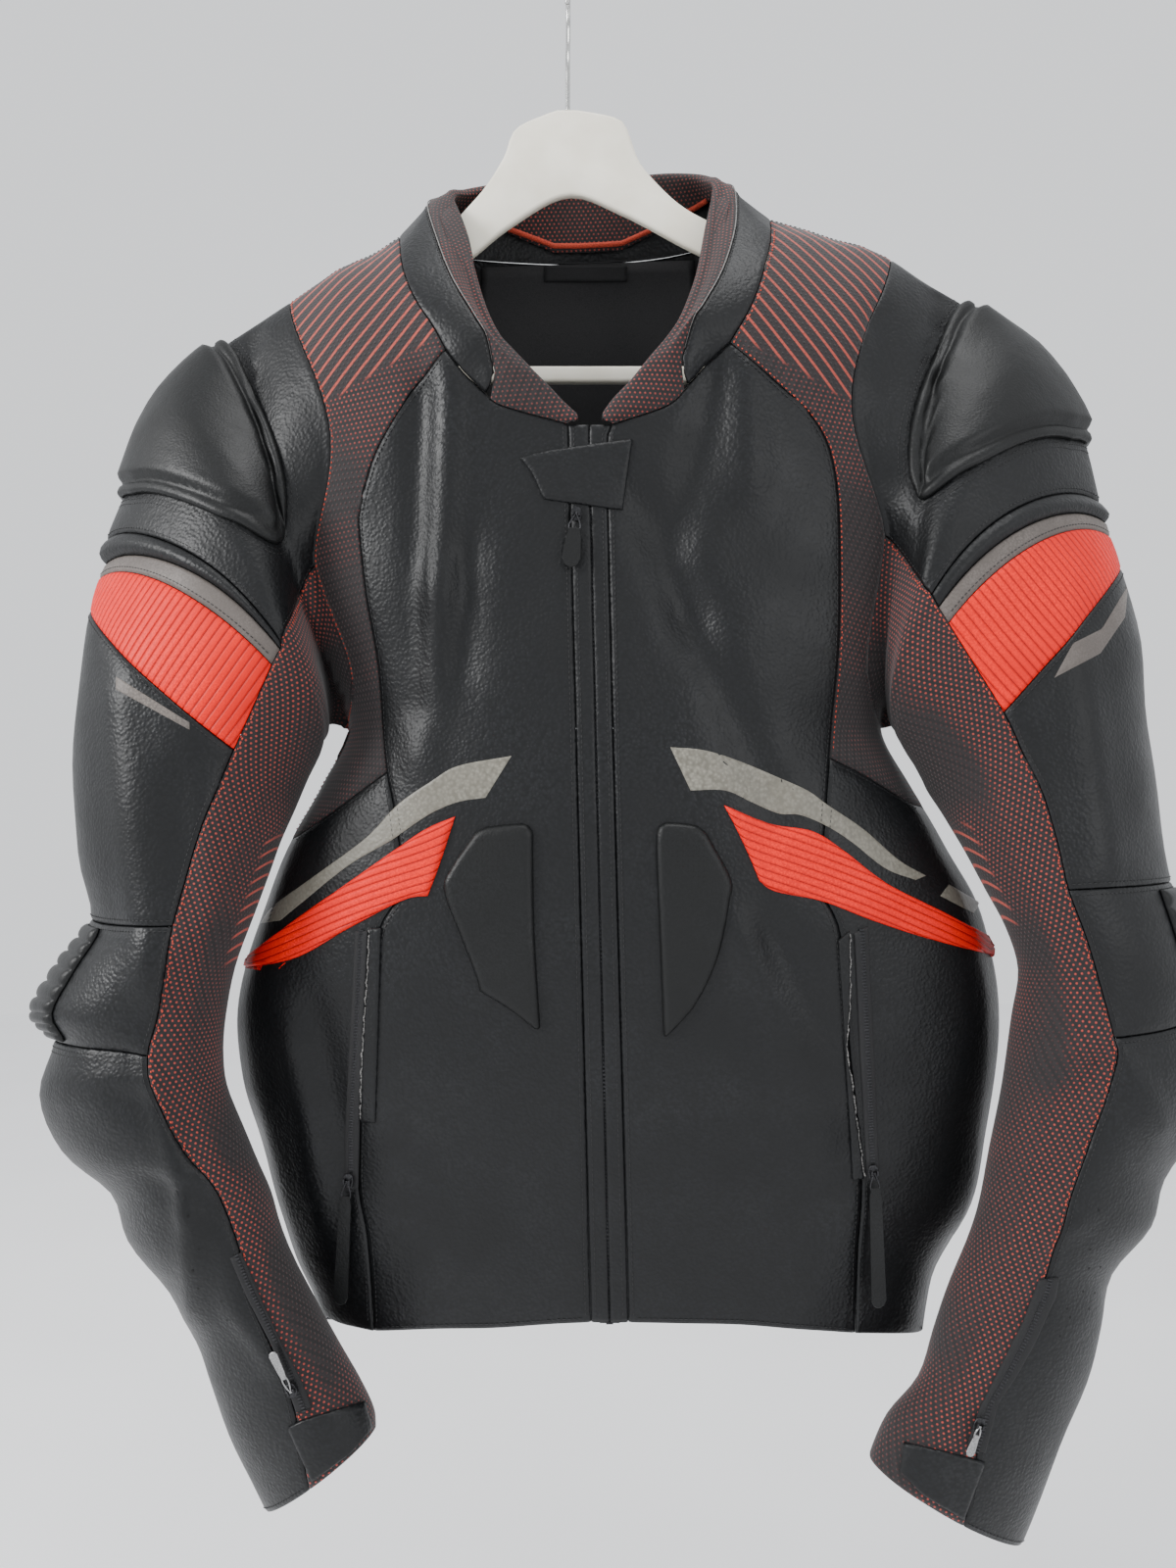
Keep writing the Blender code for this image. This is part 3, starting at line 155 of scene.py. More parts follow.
# Collar stations from the right front end round the back to the left front end:
# the leather's top edge, then the knit's top edge, each as across, height and depth.
COLLAR_LEATHER_TOP = (
    (-50, -271, -79), (-55, -246, -79), (-62, -234, -76), (-78, -207, -61),
    (-90, -177, -32), (-96, -156, 2), (-90, -151, 20),
    (-73, -149, 34), (-39, -150, 46), (-12, -148, 51), (15, -147, 53), (46, -147, 51),
    (76, -145, 46), (100, -144, 34), (112, -141, 20), (117, -147, 2), (117, -170, -32),
    (108, -200, -61), (95, -223, -76), (88, -234, -79),
    (80, -262, -79),
)
COLLAR_KNIT_TOP = (
    (8, -303, -78), (-2, -294, -79), (-13, -283, -80), (-28, -270, -80), (-43, -255, -78),
    (-53, -243, -73), (-65, -218, -55), (-76, -178, -26),
    (-85, -150, 0), (-75, -147, 17), (-58, -144, 30), (-36, -142, 41), (-12, -140, 46),
    (15, -139, 48), (46, -138, 46), (72, -136, 41), (92, -136, 30), (103, -138, 17),
    (109, -142, 0), (104, -170, -26), (97, -203, -55),
    (85, -231, -73), (74, -247, -78), (61, -262, -80), (47, -279, -80), (34, -292, -79),
    (25, -303, -78),
)
# How far the inner face of the collar comes back down, by station.
COLLAR_TURN_DOWN = (
    (0, 0.4), (5, 0.45), (7, 0.35), (9, 0.35), (12, 0.85), (14, 0.85), (17, 0.35),
    (19, 0.35), (21, 0.45), (26, 0.4),
)
COLLAR_LEATHER_START = 3
COLLAR_PADDING = 8.0
NECK_AXIS = (15.0, -5.0)

# Sleeve rings from the armhole to the cuff: the outer point, the front seam between
# leather and knit and the inner point (across, height), the depth of the middle, half
# the depth, and how far the armhole seam bows beside the leather and beside the knit.
SLEEVE_RIGHT = (
    (-191, -222, -174, -405, -151, -518, 0, 75, 22, 12),
    (-214, -238, -178, -411, -162, -515, -4, 74, 20, 2),
    (-249, -264, -184, -424, -167, -518, -5, 74, 15, 0),
    (-280, -299, -189, -440, -167, -524, -7, 74, 10, 1),
    (-303, -350, -195, -451, -170, -529, -9, 73, 6, 0),
    (-319, -387, -197, -458, -172, -534, -12, 72, 3, 0),
    (-320, -404, -198, -463, -173, -539, -13, 71, 2, 0),
    (-324, -414, -204, -474, -175, -545, -15, 70, 0, 0),
    (-330, -436, -230, -533, -181, -559, -18, 69, 0, 0),
    (-338, -486, -241, -559, -188, -575, -22, 67, 0, 0),
    (-342, -543, -252, -584, -198, -596, -27, 65, 0, 0),
    (-339, -604, -263, -618, -206, -618, -31, 63, 0, 0),
    (-329, -650, -273, -655, -216, -646, -35, 62, 0, 0),
    (-351, -682, -278, -689, -230, -683, -38, 60, 0, 0),
    (-369, -714, -283, -718, -236, -716, -40, 58, 0, 0),
    (-355, -734, -290, -745, -237, -746, -42, 56, 0, 0),
    (-365, -772, -285, -772, -233, -772, -44, 55, 0, 0),
    (-350, -811, -264, -812, -216, -812, -46, 54, 0, 0),
    (-316, -840, -244, -836, -205, -837, -48, 51, 0, 0),
    (-304, -873, -229, -870, -196, -865, -49, 48, 0, 0),
    (-275, -909, -218, -913, -174, -913, -51, 45, 0, 0),
    (-256, -943, -205, -943, -158, -942, -53, 43, 0, 0),
    (-246, -974, -193, -974, -144, -967, -55, 41, 0, 0),
    (-229, -1018, -185, -1008, -133, -988, -57, 39, 0, 0),
    (-208, -1061, -178, -1046, -131, -1001, -59, 36, 0, 0),
)
SLEEVE_LEFT = (
    (225, -193, 221, -384, 218, -518, 0, 75, 25, 10),
    (252, -211, 227, -391, 227, -516, -4, 74, 22, 3),
    (290, -236, 234, -400, 229, -520, -5, 74, 16, 2),
    (327, -268, 241, -411, 233, -524, -7, 74, 10, 0),
    (355, -311, 247, -419, 236, -529, -9, 73, 5, 0),
    (370, -361, 253, -425, 238, -535, -12, 72, 2, 0),
    (374, -375, 258, -434, 240, -540, -13, 71, 1, 0),
    (377, -385, 265, -445, 243, -546, -15, 70, 0, 0),
    (385, -407, 303, -507, 249, -560, -18, 69, 0, 0),
    (398, -458, 316, -535, 259, -575, -22, 67, 0, 0),
    (403, -516, 330, -563, 269, -592, -27, 65, 0, 0),
    (411, -577, 341, -599, 281, -612, -31, 63, 0, 0),
    (419, -624, 348, -630, 291, -630, -35, 62, 0, 0),
    (432, -665, 360, -662, 304, -656, -38, 60, 0, 0),
    (444, -699, 370, -696, 313, -685, -40, 58, 0, 0),
    (439, -713, 379, -732, 309, -716, -42, 56, 0, 0),
    (448, -753, 379, -757, 303, -753, -44, 55, 0, 0),
    (439, -794, 368, -794, 295, -797, -46, 54, 0, 0),
    (415, -831, 353, -833, 288, -838, -48, 51, 0, 0),
    (405, -863, 341, -867, 280, -865, -49, 48, 0, 0),
    (378, -896, 332, -901, 266, -900, -51, 45, 0, 0),
    (370, -933, 319, -936, 254, -934, -53, 43, 0, 0),
    (360, -972, 303, -969, 243, -966, -55, 41, 0, 0),
    (342, -1016, 288, -1006, 222, -992, -57, 39, 0, 0),
    (316, -1084, 276, -1072, 209, -1020, -59, 36, 0, 0),
)
BLEND_RINGS = 4.0
# Leather pieces of a sleeve, by their first and last ring.
SLEEVE_PIECES = (
    ("cap", 0, 5), ("ridge", 5, 6), ("shoulder_trim", 6, 7), ("red_band", 7, 8), ("upper", 8, 12),
    ("elbow", 12, 15), ("forearm", 15, 24),
)
LEATHER_STEPS = 6
KNIT_STEPS = 4

# The protector's outline on the cap: ring and reach either side of the outer line.
PROTECTOR = (
    (1.5, 0.06), (1.8, 0.24), (2.1, 0.36), (2.5, 0.40), (3.0, 0.39), (3.5, 0.33),
    (3.9, 0.24), (4.2, 0.07),
)
PROTECTOR_LIFT = 2.2
ELBOW_RIBS = 9
ELBOW_RIB_TURNS = tuple(k / 12 for k in range(-3, 3))
ELBOW_RIB_RINGS = (12.1, 13, 14, 14.9)
ELBOW_RIB_RISE = 2.4
RIB_LIFT = 0.9

# Outlines of what is laid on the panels, as seen from the front.
BAND_RIGHT = (
    (-77, -579), (-96, -587), (-117, -601), (-154, -627), (-191, -653), (-225, -680),
    (-230, -685), (-188, -677), (-150, -656), (-113, -637), (-96, -634), (-87, -610),
)
BAND_LEFT = (
    (109, -571), (141, -584), (170, -589), (191, -602), (221, -625), (260, -645), (300, -666),
    (299, -676), (252, -664), (212, -651), (178, -638), (145, -631), (134, -624), (126, -605),
    (117, -586),
)
PAD_RIGHT = (
    (-63, -590), (-54, -586), (-30, -584), (-23, -589), (-22, -658), (-18, -725), (-22, -726),
    (-39, -713), (-60, -700), (-63, -689), (-73, -663), (-85, -630), (-79, -613),
)
PAD_LEFT = (
    (64, -586), (70, -583), (89, -585), (97, -590), (114, -622), (113, -639), (107, -670),
    (98, -694), (88, -712), (70, -731), (67, -727), (65, -674), (62, -600),
)
THROAT_TAB = (
    (-32, -331), (-15, -326), (40, -318), (46, -318), (39, -367), (-11, -360), (-16, -359),
    (-24, -342),
)
POCKET_ZIP_RIGHT = ((-146, -658), (-153, -802), (-153, -840), (-144, -836), (-143, -791), (-137, -658))
POCKET_FLAP_RIGHT = ((-136, -656), (-137, -683), (-141, -748), (-142, -791), (-132, -791), (-128, -656))
POCKET_ZIP_LEFT = ((199, -660), (209, -655), (217, -828), (208, -832))
POCKET_FLAP_LEFT = (
    (188, -665), (196, -658), (196, -706), (194, -740), (198, -767), (206, -830), (198, -831),
)
CUFF_TAB_RIGHT = ((-184, -997), (-141, -984), (-135, -1003), (-150, -1020), (-176, -1040), (-193, -1002))
CUFF_ZIP_RIGHT = (
    (-233, -885), (-221, -913), (-204, -946), (-187, -992), (-176, -988), (-184, -968),
    (-197, -944), (-212, -911), (-225, -881),
)
CUFF_TAB_LEFT = ((234, -1012), (276, -1022), (290, -1026), (275, -1066), (246, -1048), (231, -1032))
CUFF_ZIP_LEFT = (
    (327, -900), (316, -929), (305, -951), (286, -989), (277, -1016), (290, -1020), (299, -985),
    (312, -966), (325, -942), (339, -911), (341, -898),
)
# The wooden hanger: the outline of what shows, then the hidden arms' lower edge.
HANGER_HALF_DEPTH = 4.0
HANGER_UPPER_RIGHT = (
    (-100, -187), (-81, -171), (-70, -160), (-56, -144), (-43, -123), (-35, -104), (-12, -93),
)
HANGER_UPPER_LEFT = (
    (30, -95), (40, -100), (46, -115), (52, -129), (69, -148), (84, -160), (103, -170), (122, -181),
)
HANGER_LOWER = (
    (210, -224), (182, -212), (142, -200), (99, -193), (40, -163), (1, -150), (-40, -172),
    (-74, -198), (-116, -212), (-158, -232), (-178, -245),
)
HANGER_TOP = -91.0
ARM_CLEARANCE = 7.4
BAR_HEIGHTS = (-279, -268)
BAR_ENDS = (-150, 182)
BAR_POST = 9.0
BAR_HALF_DEPTH = 4.5
HOOK_WIRE = 1.6
HOOK_RADIUS = 18.0

# Printed stripes across the chest and sleeves, and the forearms' punched holes.
SILVER_RIGHT = (
    (-212, -653), (-203, -641), (-177, -622), (-139, -594), (-117, -571), (-94, -555),
    (-75, -544), (-38, -537), (-56, -566), (-75, -569), (-94, -577), (-112, -589), (-122, -596),
    (-151, -613), (-186, -641), (-198, -651),
)
SILVER_LEFT = (
    (72, -531), (95, -533), (118, -540), (147, -552), (167, -561), (181, -571), (206, -588),
    (230, -609), (249, -620), (242, -623), (221, -615), (198, -597), (181, -586), (162, -578),
    (147, -577), (128, -569), (110, -561), (86, -561),
)
SILVER_TAIL = ((259, -634), (265, -626), (287, -639), (282, -646))
FOREARM_HOLES_RIGHT = (
    (-265, -843), (-262, -856), (-259, -866), (-255, -879), (-251, -891), (-247, -902), (-239,
    -915), (-235, -928), (-259, -894), (-255, -906),
)
FOREARM_HOLES_LEFT = (
    (369, -852), (365, -865), (363, -879), (362, -892), (358, -908), (370, -891), (366, -909), (362,
    -920), (349, -926), (342, -939), (347, -920),
)
ARM_STRIPE_RIGHT = (
    (-312, -482), (-261, -514), (-261, -519), (-312, -491),
)
ARM_STRIPE_LEFT = (
    (389, -419), (371, -449), (351, -459), (338, -483), (370, -466), (387, -441),
)

BAND_THICK = 2.4
PAD_THICK = 4.0
TAB_THICK = 1.8
ZIP_THICK = 2.0
FLAP_THICK = 1.6

# Zip sliders: the panels below, what lies on those, the hinge's seen place, the pull's
# tip and its half width.
SLIDERS = {
    "main": (("placket_right", "front_right"), 0.0, (7, -370), (3, -408), 6.5),
    "pocket_right": (("side_right", "front_right"), LIFT + ZIP_THICK, (-149, -830), (-155, -916), 5.5),
    "pocket_left": (("side_left", "front_left"), LIFT + ZIP_THICK, (211, -824), (216, -919), 5.5),
    "cuff_right": (
        ("forearm_right", "sleeve_knit_right"), LIFT + ZIP_THICK, (-190, -974), (-203, -946), 3.0),
    "cuff_left": (
        ("forearm_left", "sleeve_knit_left"), LIFT + ZIP_THICK, (284, -998), (277, -1020), 3.0),
}
SLIDER_LIFT = 0.7
SLIDER_BASE = 2.0
HINGE_HEIGHT = 1.5
PULL_THICK = 1.4

FINE = 4
METRE = 1000.0

# Soft folds of the sleeves, as FOLDS.
SLEEVE_FOLDS = (
    (-310, -500, -290, -690, 13, 4),
    (-270, -560, -262, -640, 12, -3),
    (-320, -745, -285, -750, 6, -3),
    (-290, -752, -263, -850, 8, 4),
    (-310, -775, -258, -790, 7, -3),
    (-263, -850, -258, -918, 8, 4),
    (-285, -835, -240, -850, 8, -3),
    (-225, -925, -200, -960, 9, 3),
    (218, -240, 225, -272, 10, -4),
    (352, -470, 372, -600, 15, 4),
    (379, -734, 345, -780, 7, -4),
    (379, -734, 410, -790, 8, 4),
    (379, -738, 330, -750, 7, 3),
    (360, -800, 330, -835, 9, -3),
    (350, -860, 305, -880, 9, 4),
    (320, -920, 280, -950, 9, -3),
)


class Side(Enum):
    """The wearer's side."""

    RIGHT = "right"
    LEFT = "left"


class Slot(Enum):
    """The record's material slots."""

    LEATHER = "leather"
    RED = "red"
    GREY = "grey"
    KNIT = "knit"
    LINING = "lining"
    METAL = "metal"
    WOOD = "wood"


def linear(hex_colour: str) -> tuple[float, float, float, float]:
    """An sRGB hex colour as linear RGBA.

    Args:
        hex_colour: Six hex digits, with or without a leading hash.

    Returns:
        Linear red, green and blue, and an alpha of 1.
    """
    digits = hex_colour.lstrip("#")
    parts = [int(digits[k:k + 2], 16) / 255 for k in (0, 2, 4)]
    out = [c / 12.92 if c <= 0.04045 else ((c + 0.055) / 1.055) ** 2.4 for c in parts]
    return (*out, 1.0)


def node(tree: Tree, kind: str, links: dict | None = None, **settings) -> bpy.types.Node:
    """Add a node with its settings and links.

    Args:
        tree: The tree that gets the node.
        kind: The node's Blender type name.
        links: Input name or index to a socket or a value.
        **settings: Attributes of the node.

    Returns:
        The new node.
    """
    made = tree.nodes.new(kind)
    for key, value in settings.items():
        setattr(made, key, value)
    for key, value in (links or {}).items():
        if isinstance(value, Socket):
            tree.links.new(value, made.inputs[key])
        else:
            made.inputs[key].default_value = value
    return made


def ramp(tree: Tree, source: Socket, stops: Sequence) -> bpy.types.Node:
    """A colour ramp over a value.

    Args:
        tree: The material's tree.
        source: The value that the ramp reads.
        stops: Pairs of position and hex colour or grey level.

    Returns:
        The ramp's node.
    """
    made = node(tree, "ShaderNodeValToRGB", {0: source})
    points = made.color_ramp.elements
    while len(points) < len(stops):
        points.new(0.5)
    for point, (place_at, shade) in zip(points, stops):
        point.position = place_at
        point.color = linear(shade) if isinstance(shade, str) else (shade, shade, shade, 1)
    return made


def start_material(name: str, **shader_values) -> tuple[Material, Tree]:
    """A material with a plain Principled shader.

    Args:
        name: The material's name.
        **shader_values: Socket values, with spaces in names written as underscores.

    Returns:
        The material and its tree.
    """
    made = bpy.data.materials.new(name)
    made.use_nodes = True
    shader = made.node_tree.nodes["Principled BSDF"]
    for key, value in shader_values.items():
        shader.inputs[key.replace("_", " ")].default_value = value
    return made, made.node_tree


def wire_up(tree: Tree, **sockets: Socket) -> None:
    """Link sockets into the tree's Principled shader, by its input names."""
    shader = tree.nodes["Principled BSDF"]
    for key, socket in sockets.items():
        tree.links.new(socket, shader.inputs[key.replace("_", " ")])


@dataclass(frozen=True)
class Leather:
    """Dyed and embossed cowhide: small pebbles with soft lights, and painted shade darkening the creases
    between them.
    """

    name: str
    shade: str
    high: str
    low: str
    pebble_mm: float = 2.1
    roughness: float = 0.5
    bump_mm: float = 0.22
    specular: float = 0.26
    ribs_mm: float = 0.0
    rib_axis: int = 1

    def build(self) -> Material:
        """The material: embossed pebbles with painted shade in their creases, a broad soft mottle and, if
        asked, ribs with painted shade in their grooves.
        """
        made, tree = start_material(self.name, Specular_IOR_Level=self.specular, IOR=1.5)
        spot = node(tree, "ShaderNodeTexCoord").outputs["Object"]
        wander = node(tree, "ShaderNodeTexNoise", {"Vector": spot, "Scale": 300.0, "Detail": 1.0})
        bent = node(tree, "ShaderNodeVectorMath", {0: wander.outputs["Color"], 3: 0.0011},
                    operation="SCALE")
        moved = node(tree, "ShaderNodeVectorMath", {0: spot, 1: bent.outputs[0]}, operation="ADD")
        pebble = node(tree, "ShaderNodeTexVoronoi", {
            "Vector": moved.outputs[0], "Scale": METRE / self.pebble_mm}, feature="SMOOTH_F1")
        crest = ramp(tree, pebble.outputs["Distance"], ((0.1, 1.0), (0.62, 0.0)))
        mottle = node(tree, "ShaderNodeTexNoise", {
            "Vector": spot, "Scale": 16.0, "Detail": 5.0, "Roughness": 0.62})
        base = ramp(tree, mottle.outputs["Fac"], ((0.3, self.low), (0.52, self.shade), (0.72, self.high)))
        # Painted shade: the low colour fills the creases between the pebbles and the base colour their tops.
        tone = node(tree, "ShaderNodeMix", {0: crest.outputs[0], 6: linear(self.low), 7: base.outputs[0]},
                    data_type="RGBA")
        gloss = ramp(tree, mottle.outputs["Fac"], (
            (0.3, self.roughness + 0.08), (0.7, self.roughness - 0.06)))
        wrinkle = node(tree, "ShaderNodeTexNoise", {
            "Vector": spot, "Scale": 55.0, "Detail": 3.0, "Roughness": 0.55, "Distortion": 0.8})
        soft = node(tree, "ShaderNodeBump", {
            "Height": wrinkle.outputs["Fac"], "Distance": 0.0012, "Strength": 0.35})
        height = node(tree, "ShaderNodeBump", {
            "Height": crest.outputs[0], "Distance": self.bump_mm / METRE, "Strength": 0.9,
            "Normal": soft.outputs[0]})
        colour = tone.outputs[2]
        if self.ribs_mm:
            around = node(tree, "ShaderNodeUVMap", uv_map="cut").outputs[0]
            split = node(tree, "ShaderNodeSeparateXYZ", {0: around})
            count = node(tree, "ShaderNodeMath", {
                0: split.outputs[self.rib_axis], 1: METRE / self.ribs_mm}, operation="MULTIPLY")
            wave = node(tree, "ShaderNodeMath", {0: count.outputs[0], 1: 1.0}, operation="PINGPONG")
            round_top = ramp(tree, wave.outputs[0], ((0.0, 0.0), (0.12, 0.25), (0.4, 0.9), (1.0, 1.0)))
            height = node(tree, "ShaderNodeBump", {
                "Height": round_top.outputs[0], "Distance": self.ribs_mm * 0.35 / METRE,
                "Normal": height.outputs[0]})
            # Painted shade: the grooves between the ribs are darkened to a quarter of the colour.
            groove = ramp(tree, wave.outputs[0], ((0.0, 0.25), (0.16, 1.0)))
            colour = node(tree, "ShaderNodeMix", {0: 1.0, 6: colour, 7: groove.outputs[0]},
                          data_type="RGBA", blend_type="MULTIPLY").outputs[2]
        wire_up(tree, Base_Color=colour, Roughness=gloss.outputs[0], Normal=height.outputs[0])
        return made


@dataclass(frozen=True)
class Knit:
    """Two-ply stretch knit: black loops over a red ground that shows as rows of dots.

    The dots sit on the UV "cut", in metres. The UV "share" runs from 0 to 1 over the
    piece and sets where the red shows more.
    """

    name: str
    zones: str = "all"
    stitch_mm: float = 3.8
    row_mm: float = 2.7
    stripe_mm: float = 7.6
    ground: str = "0d0a0b"
    yarn: str = "1c1617"
    dim: str = "341a1a"
    bright: str = "a03a30"

    def build(self) -> Material:
        """The material: staggered dots, and stripes in the zones that have them."""
        made, tree = start_material(self.name, Roughness=0.85, Sheen_Weight=0.1,
                                    Sheen_Roughness=0.5)
        spot = node(tree, "ShaderNodeTexCoord").outputs["Object"]
        dot, loops = self._dots(tree)
        glow = node(tree, "ShaderNodeTexNoise", {"Vector": spot, "Scale": 13.0, "Detail": 2.0})
        strength = glow.outputs["Fac"]
        share = node(tree, "ShaderNodeSeparateXYZ", {
            0: node(tree, "ShaderNodeUVMap", uv_map="share").outputs[0]})
        if self.zones == "sleeve":
            mirrored = self._maths(tree, "PINGPONG", share.outputs[0], 0.5)
            seam = ramp(tree, mirrored, ((0.13, 0.34), (0.2, 0.0)))
            strength = self._maths(tree, "ADD", strength, seam.outputs[0])
        thread = ramp(tree, strength, ((0.44, self.dim), (0.72, self.bright)))
        tone = self._mix(tree, dot, loops, thread.outputs[0])
        if self.zones != "all":
            lines, inside = (self._yoke_stripes(tree, spot) if self.zones == "yoke"
                             else self._sleeve_stripes(tree, spot, share))
            tone = self._mix(tree, inside, tone, lines)
        height = node(tree, "ShaderNodeBump", {"Height": dot, "Distance": 0.0006, "Strength": 0.8})
        wire_up(tree, Base_Color=tone, Normal=height.outputs[0])
        return made

    @staticmethod
    def _maths(tree: Tree, operation: str, *values) -> Socket:
        """A maths node's result."""
        return node(tree, "ShaderNodeMath", dict(enumerate(values)), operation=operation).outputs[0]

    @staticmethod
    def _mix(tree: Tree, share, first, second) -> Socket:
        """One colour over another."""
        return node(tree, "ShaderNodeMix", {0: share, 6: first, 7: second}, data_type="RGBA").outputs[2]

    def _dots(self, tree: Tree) -> tuple:
        """Staggered dots, and the colour of the loops between them."""
        around = node(tree, "ShaderNodeUVMap", uv_map="cut").outputs[0]
        split = node(tree, "ShaderNodeSeparateXYZ", {0: around})
        down = self._maths(tree, "MULTIPLY", split.outputs[1], METRE / self.row_mm)
        stagger = self._maths(tree, "MULTIPLY", self._maths(tree, "FLOOR", down), 0.5)
        across = self._maths(tree, "MULTIPLY_ADD", split.outputs[0], METRE / self.stitch_mm, stagger)
        off = [self._maths(tree, "SUBTRACT", self._maths(tree, "FRACT", value), 0.5)
               for value in (across, down)]
        tall = self._maths(tree, "MULTIPLY", off[1], 0.75)
        flat = node(tree, "ShaderNodeCombineXYZ", {0: off[0], 1: tall})
        far = node(tree, "ShaderNodeVectorMath", {0: flat.outputs[0]}, operation="LENGTH")
        dot = ramp(tree, far.outputs["Value"], ((0.13, 1.0), (0.24, 0.0)))
        cell = self._maths(tree, "PINGPONG", across, 1.0)
        return dot.outputs[0], self._mix(tree, cell, linear(self.ground), linear(self.yarn))

    def _lines(self, tree: Tree, along: Socket,
               pitch_mm: float) -> Socket:
        """Thin pale red lines at a pitch."""
        saw = self._maths(tree, "FRACT", self._maths(tree, "MULTIPLY", along, METRE / pitch_mm))
        near = self._maths(tree, "ABSOLUTE", self._maths(tree, "SUBTRACT", saw, 0.5))
        return ramp(tree, near, ((0.0, self.bright), (0.07, "a04436"), (0.14, "1c1415"))).outputs[0]

    def _yoke_stripes(self, tree: Tree, spot: Socket) -> tuple:
        """Stripes that slant down and outward on both shoulders, ending on a slant."""
        split = node(tree, "ShaderNodeSeparateXYZ", {0: spot})
        out = self._maths(tree, "ABSOLUTE", self._maths(tree, "SUBTRACT", split.outputs[0], 0.015))
        rise = self._maths(tree, "MULTIPLY", split.outputs[2], -0.64)
        along = self._maths(tree, "MULTIPLY_ADD", out, -0.77, rise)
        end = self._maths(tree, "MULTIPLY_ADD", out, 0.5, split.outputs[2])
        inside = node(tree, "ShaderNodeMapRange", {
            "Value": end, "From Min": -0.226, "From Max": -0.222})
        return self._lines(tree, along, self.stripe_mm), inside.outputs[0]

    def _sleeve_stripes(self, tree: Tree, spot: Socket, share) -> tuple:
        """A short field of fine stripes on the inner bend of the arm."""
        split = node(tree, "ShaderNodeSeparateXYZ", {0: spot})
        out = self._maths(tree, "ABSOLUTE", self._maths(tree, "SUBTRACT", split.outputs[0], 0.015))
        rise = self._maths(tree, "MULTIPLY", split.outputs[2], -0.75)
        along = self._maths(tree, "MULTIPLY_ADD", out, -0.66, rise)
        mirrored = self._maths(tree, "PINGPONG", share.outputs[0], 0.5)
        wide = ramp(tree, mirrored, ((0.3, 0.0), (0.33, 1.0)))
        high = ramp(tree, share.outputs[1], ((0.4, 0.0), (0.42, 1.0), (0.53, 1.0), (0.54, 0.0)))
        inside = self._maths(tree, "MULTIPLY", wide.outputs[0], high.outputs[0])
        return self._lines(tree, along, self.stripe_mm * 0.62), inside


@dataclass(frozen=True)
class Plain:
    """A finish of one colour broken by a fine noise, such as lacquer, tape or thread."""

    name: str
    shade: str
    low: str
    roughness: float = 0.5
    metallic: float = 0.0
    grain_mm: float = 0.8
    bump_mm: float = 0.05

    def build(self) -> Material:
        """The material: a fine grain in its colour and its bump."""
        made, tree = start_material(self.name, Roughness=self.roughness, Metallic=self.metallic)
        spot = node(tree, "ShaderNodeTexCoord").outputs["Object"]
        grain = node(tree, "ShaderNodeTexNoise", {
            "Vector": spot, "Scale": METRE / self.grain_mm, "Detail": 3.0})
        tone = ramp(tree, grain.outputs["Fac"], ((0.35, self.low), (0.6, self.shade)))
        height = node(tree, "ShaderNodeBump", {
            "Height": grain.outputs["Fac"], "Distance": self.bump_mm / METRE, "Strength": 0.5})
        wire_up(tree, Base_Color=tone.outputs[0], Normal=height.outputs[0])
        return made


@dataclass(frozen=True)
class Finishes:
    """Every finish on the jacket and its hanger, each built once."""

    leather: Leather = Leather("embossed_black_leather", "141517", "1d1e20", "0e0f10",
                               roughness=0.43)
    smooth: Leather = Leather("smooth_black_leather", "131415", "1b1c1d", "0d0e0e", pebble_mm=1.4,
                              roughness=0.45, bump_mm=0.1)
    red: Leather = Leather("ribbed_red_leather", "f61400", "fb1c04", "d40e00", pebble_mm=1.2,
                           roughness=0.55, bump_mm=0.05, ribs_mm=2.7, rib_axis=0)
    red_fine: Leather = Leather("fine_ribbed_red_leather", "f61400", "fb1c04", "d40e00",
                                pebble_mm=1.2, roughness=0.55, bump_mm=0.05, ribs_mm=2.4, rib_axis=1)
    grey: Leather = Leather("warm_grey_leather", "6b6460", "787068", "57514d", pebble_mm=1.2,
                            roughness=0.5, bump_mm=0.06)
    silver: Leather = Leather("printed_taupe_leather", "7b786e", "8a877c", "66635a",
                              roughness=0.38, bump_mm=0.15)
    knit: Knit = Knit("sleeve_stretch_knit", zones="sleeve")
    striped: Knit = Knit("shoulder_stretch_knit", zones="yoke")
    collar: Knit = Knit("collar_stretch_knit", zones="all", stitch_mm=3.4, dim="5a2a26")
    lining: Plain = Plain("woven_black_lining", "1d1d1f", "101011", roughness=0.8)
    trim: Plain = Plain("red_trim_tape", "c8452c", "8c2c1c", roughness=0.8)
    tape: Plain = Plain("black_zip_tape", "18181a", "0e0e0f", roughness=0.85)
    teeth: Plain = Plain("black_oxide_metal", "3a3a3c", "242426", roughness=0.35, metallic=0.8)
    metal: Plain = Plain("satin_zinc", "9a9a9a", "7c7c7c", roughness=0.32, metallic=1.0)
    steel: Plain = Plain("bright_steel_wire", "c8c8c6", "a8a8a6", roughness=0.25, metallic=1.0)
    lacquer: Plain = Plain("ivory_lacquer", "efeadb", "e6e0cf", roughness=0.38, grain_mm=30.0,
                           bump_mm=0.2)
    thread: Plain = Plain("black_polyester_thread", "131314", "0a0a0b", roughness=0.6)
    fray: Plain = Plain("raw_cut_edge", "7c7a78", "4c4b4a", roughness=0.9)
    # Painted shade: near-black discs stand for the dark inside of the punched holes.
    hole: Plain = Plain("punched_hole", "050505", "020202", roughness=0.9)


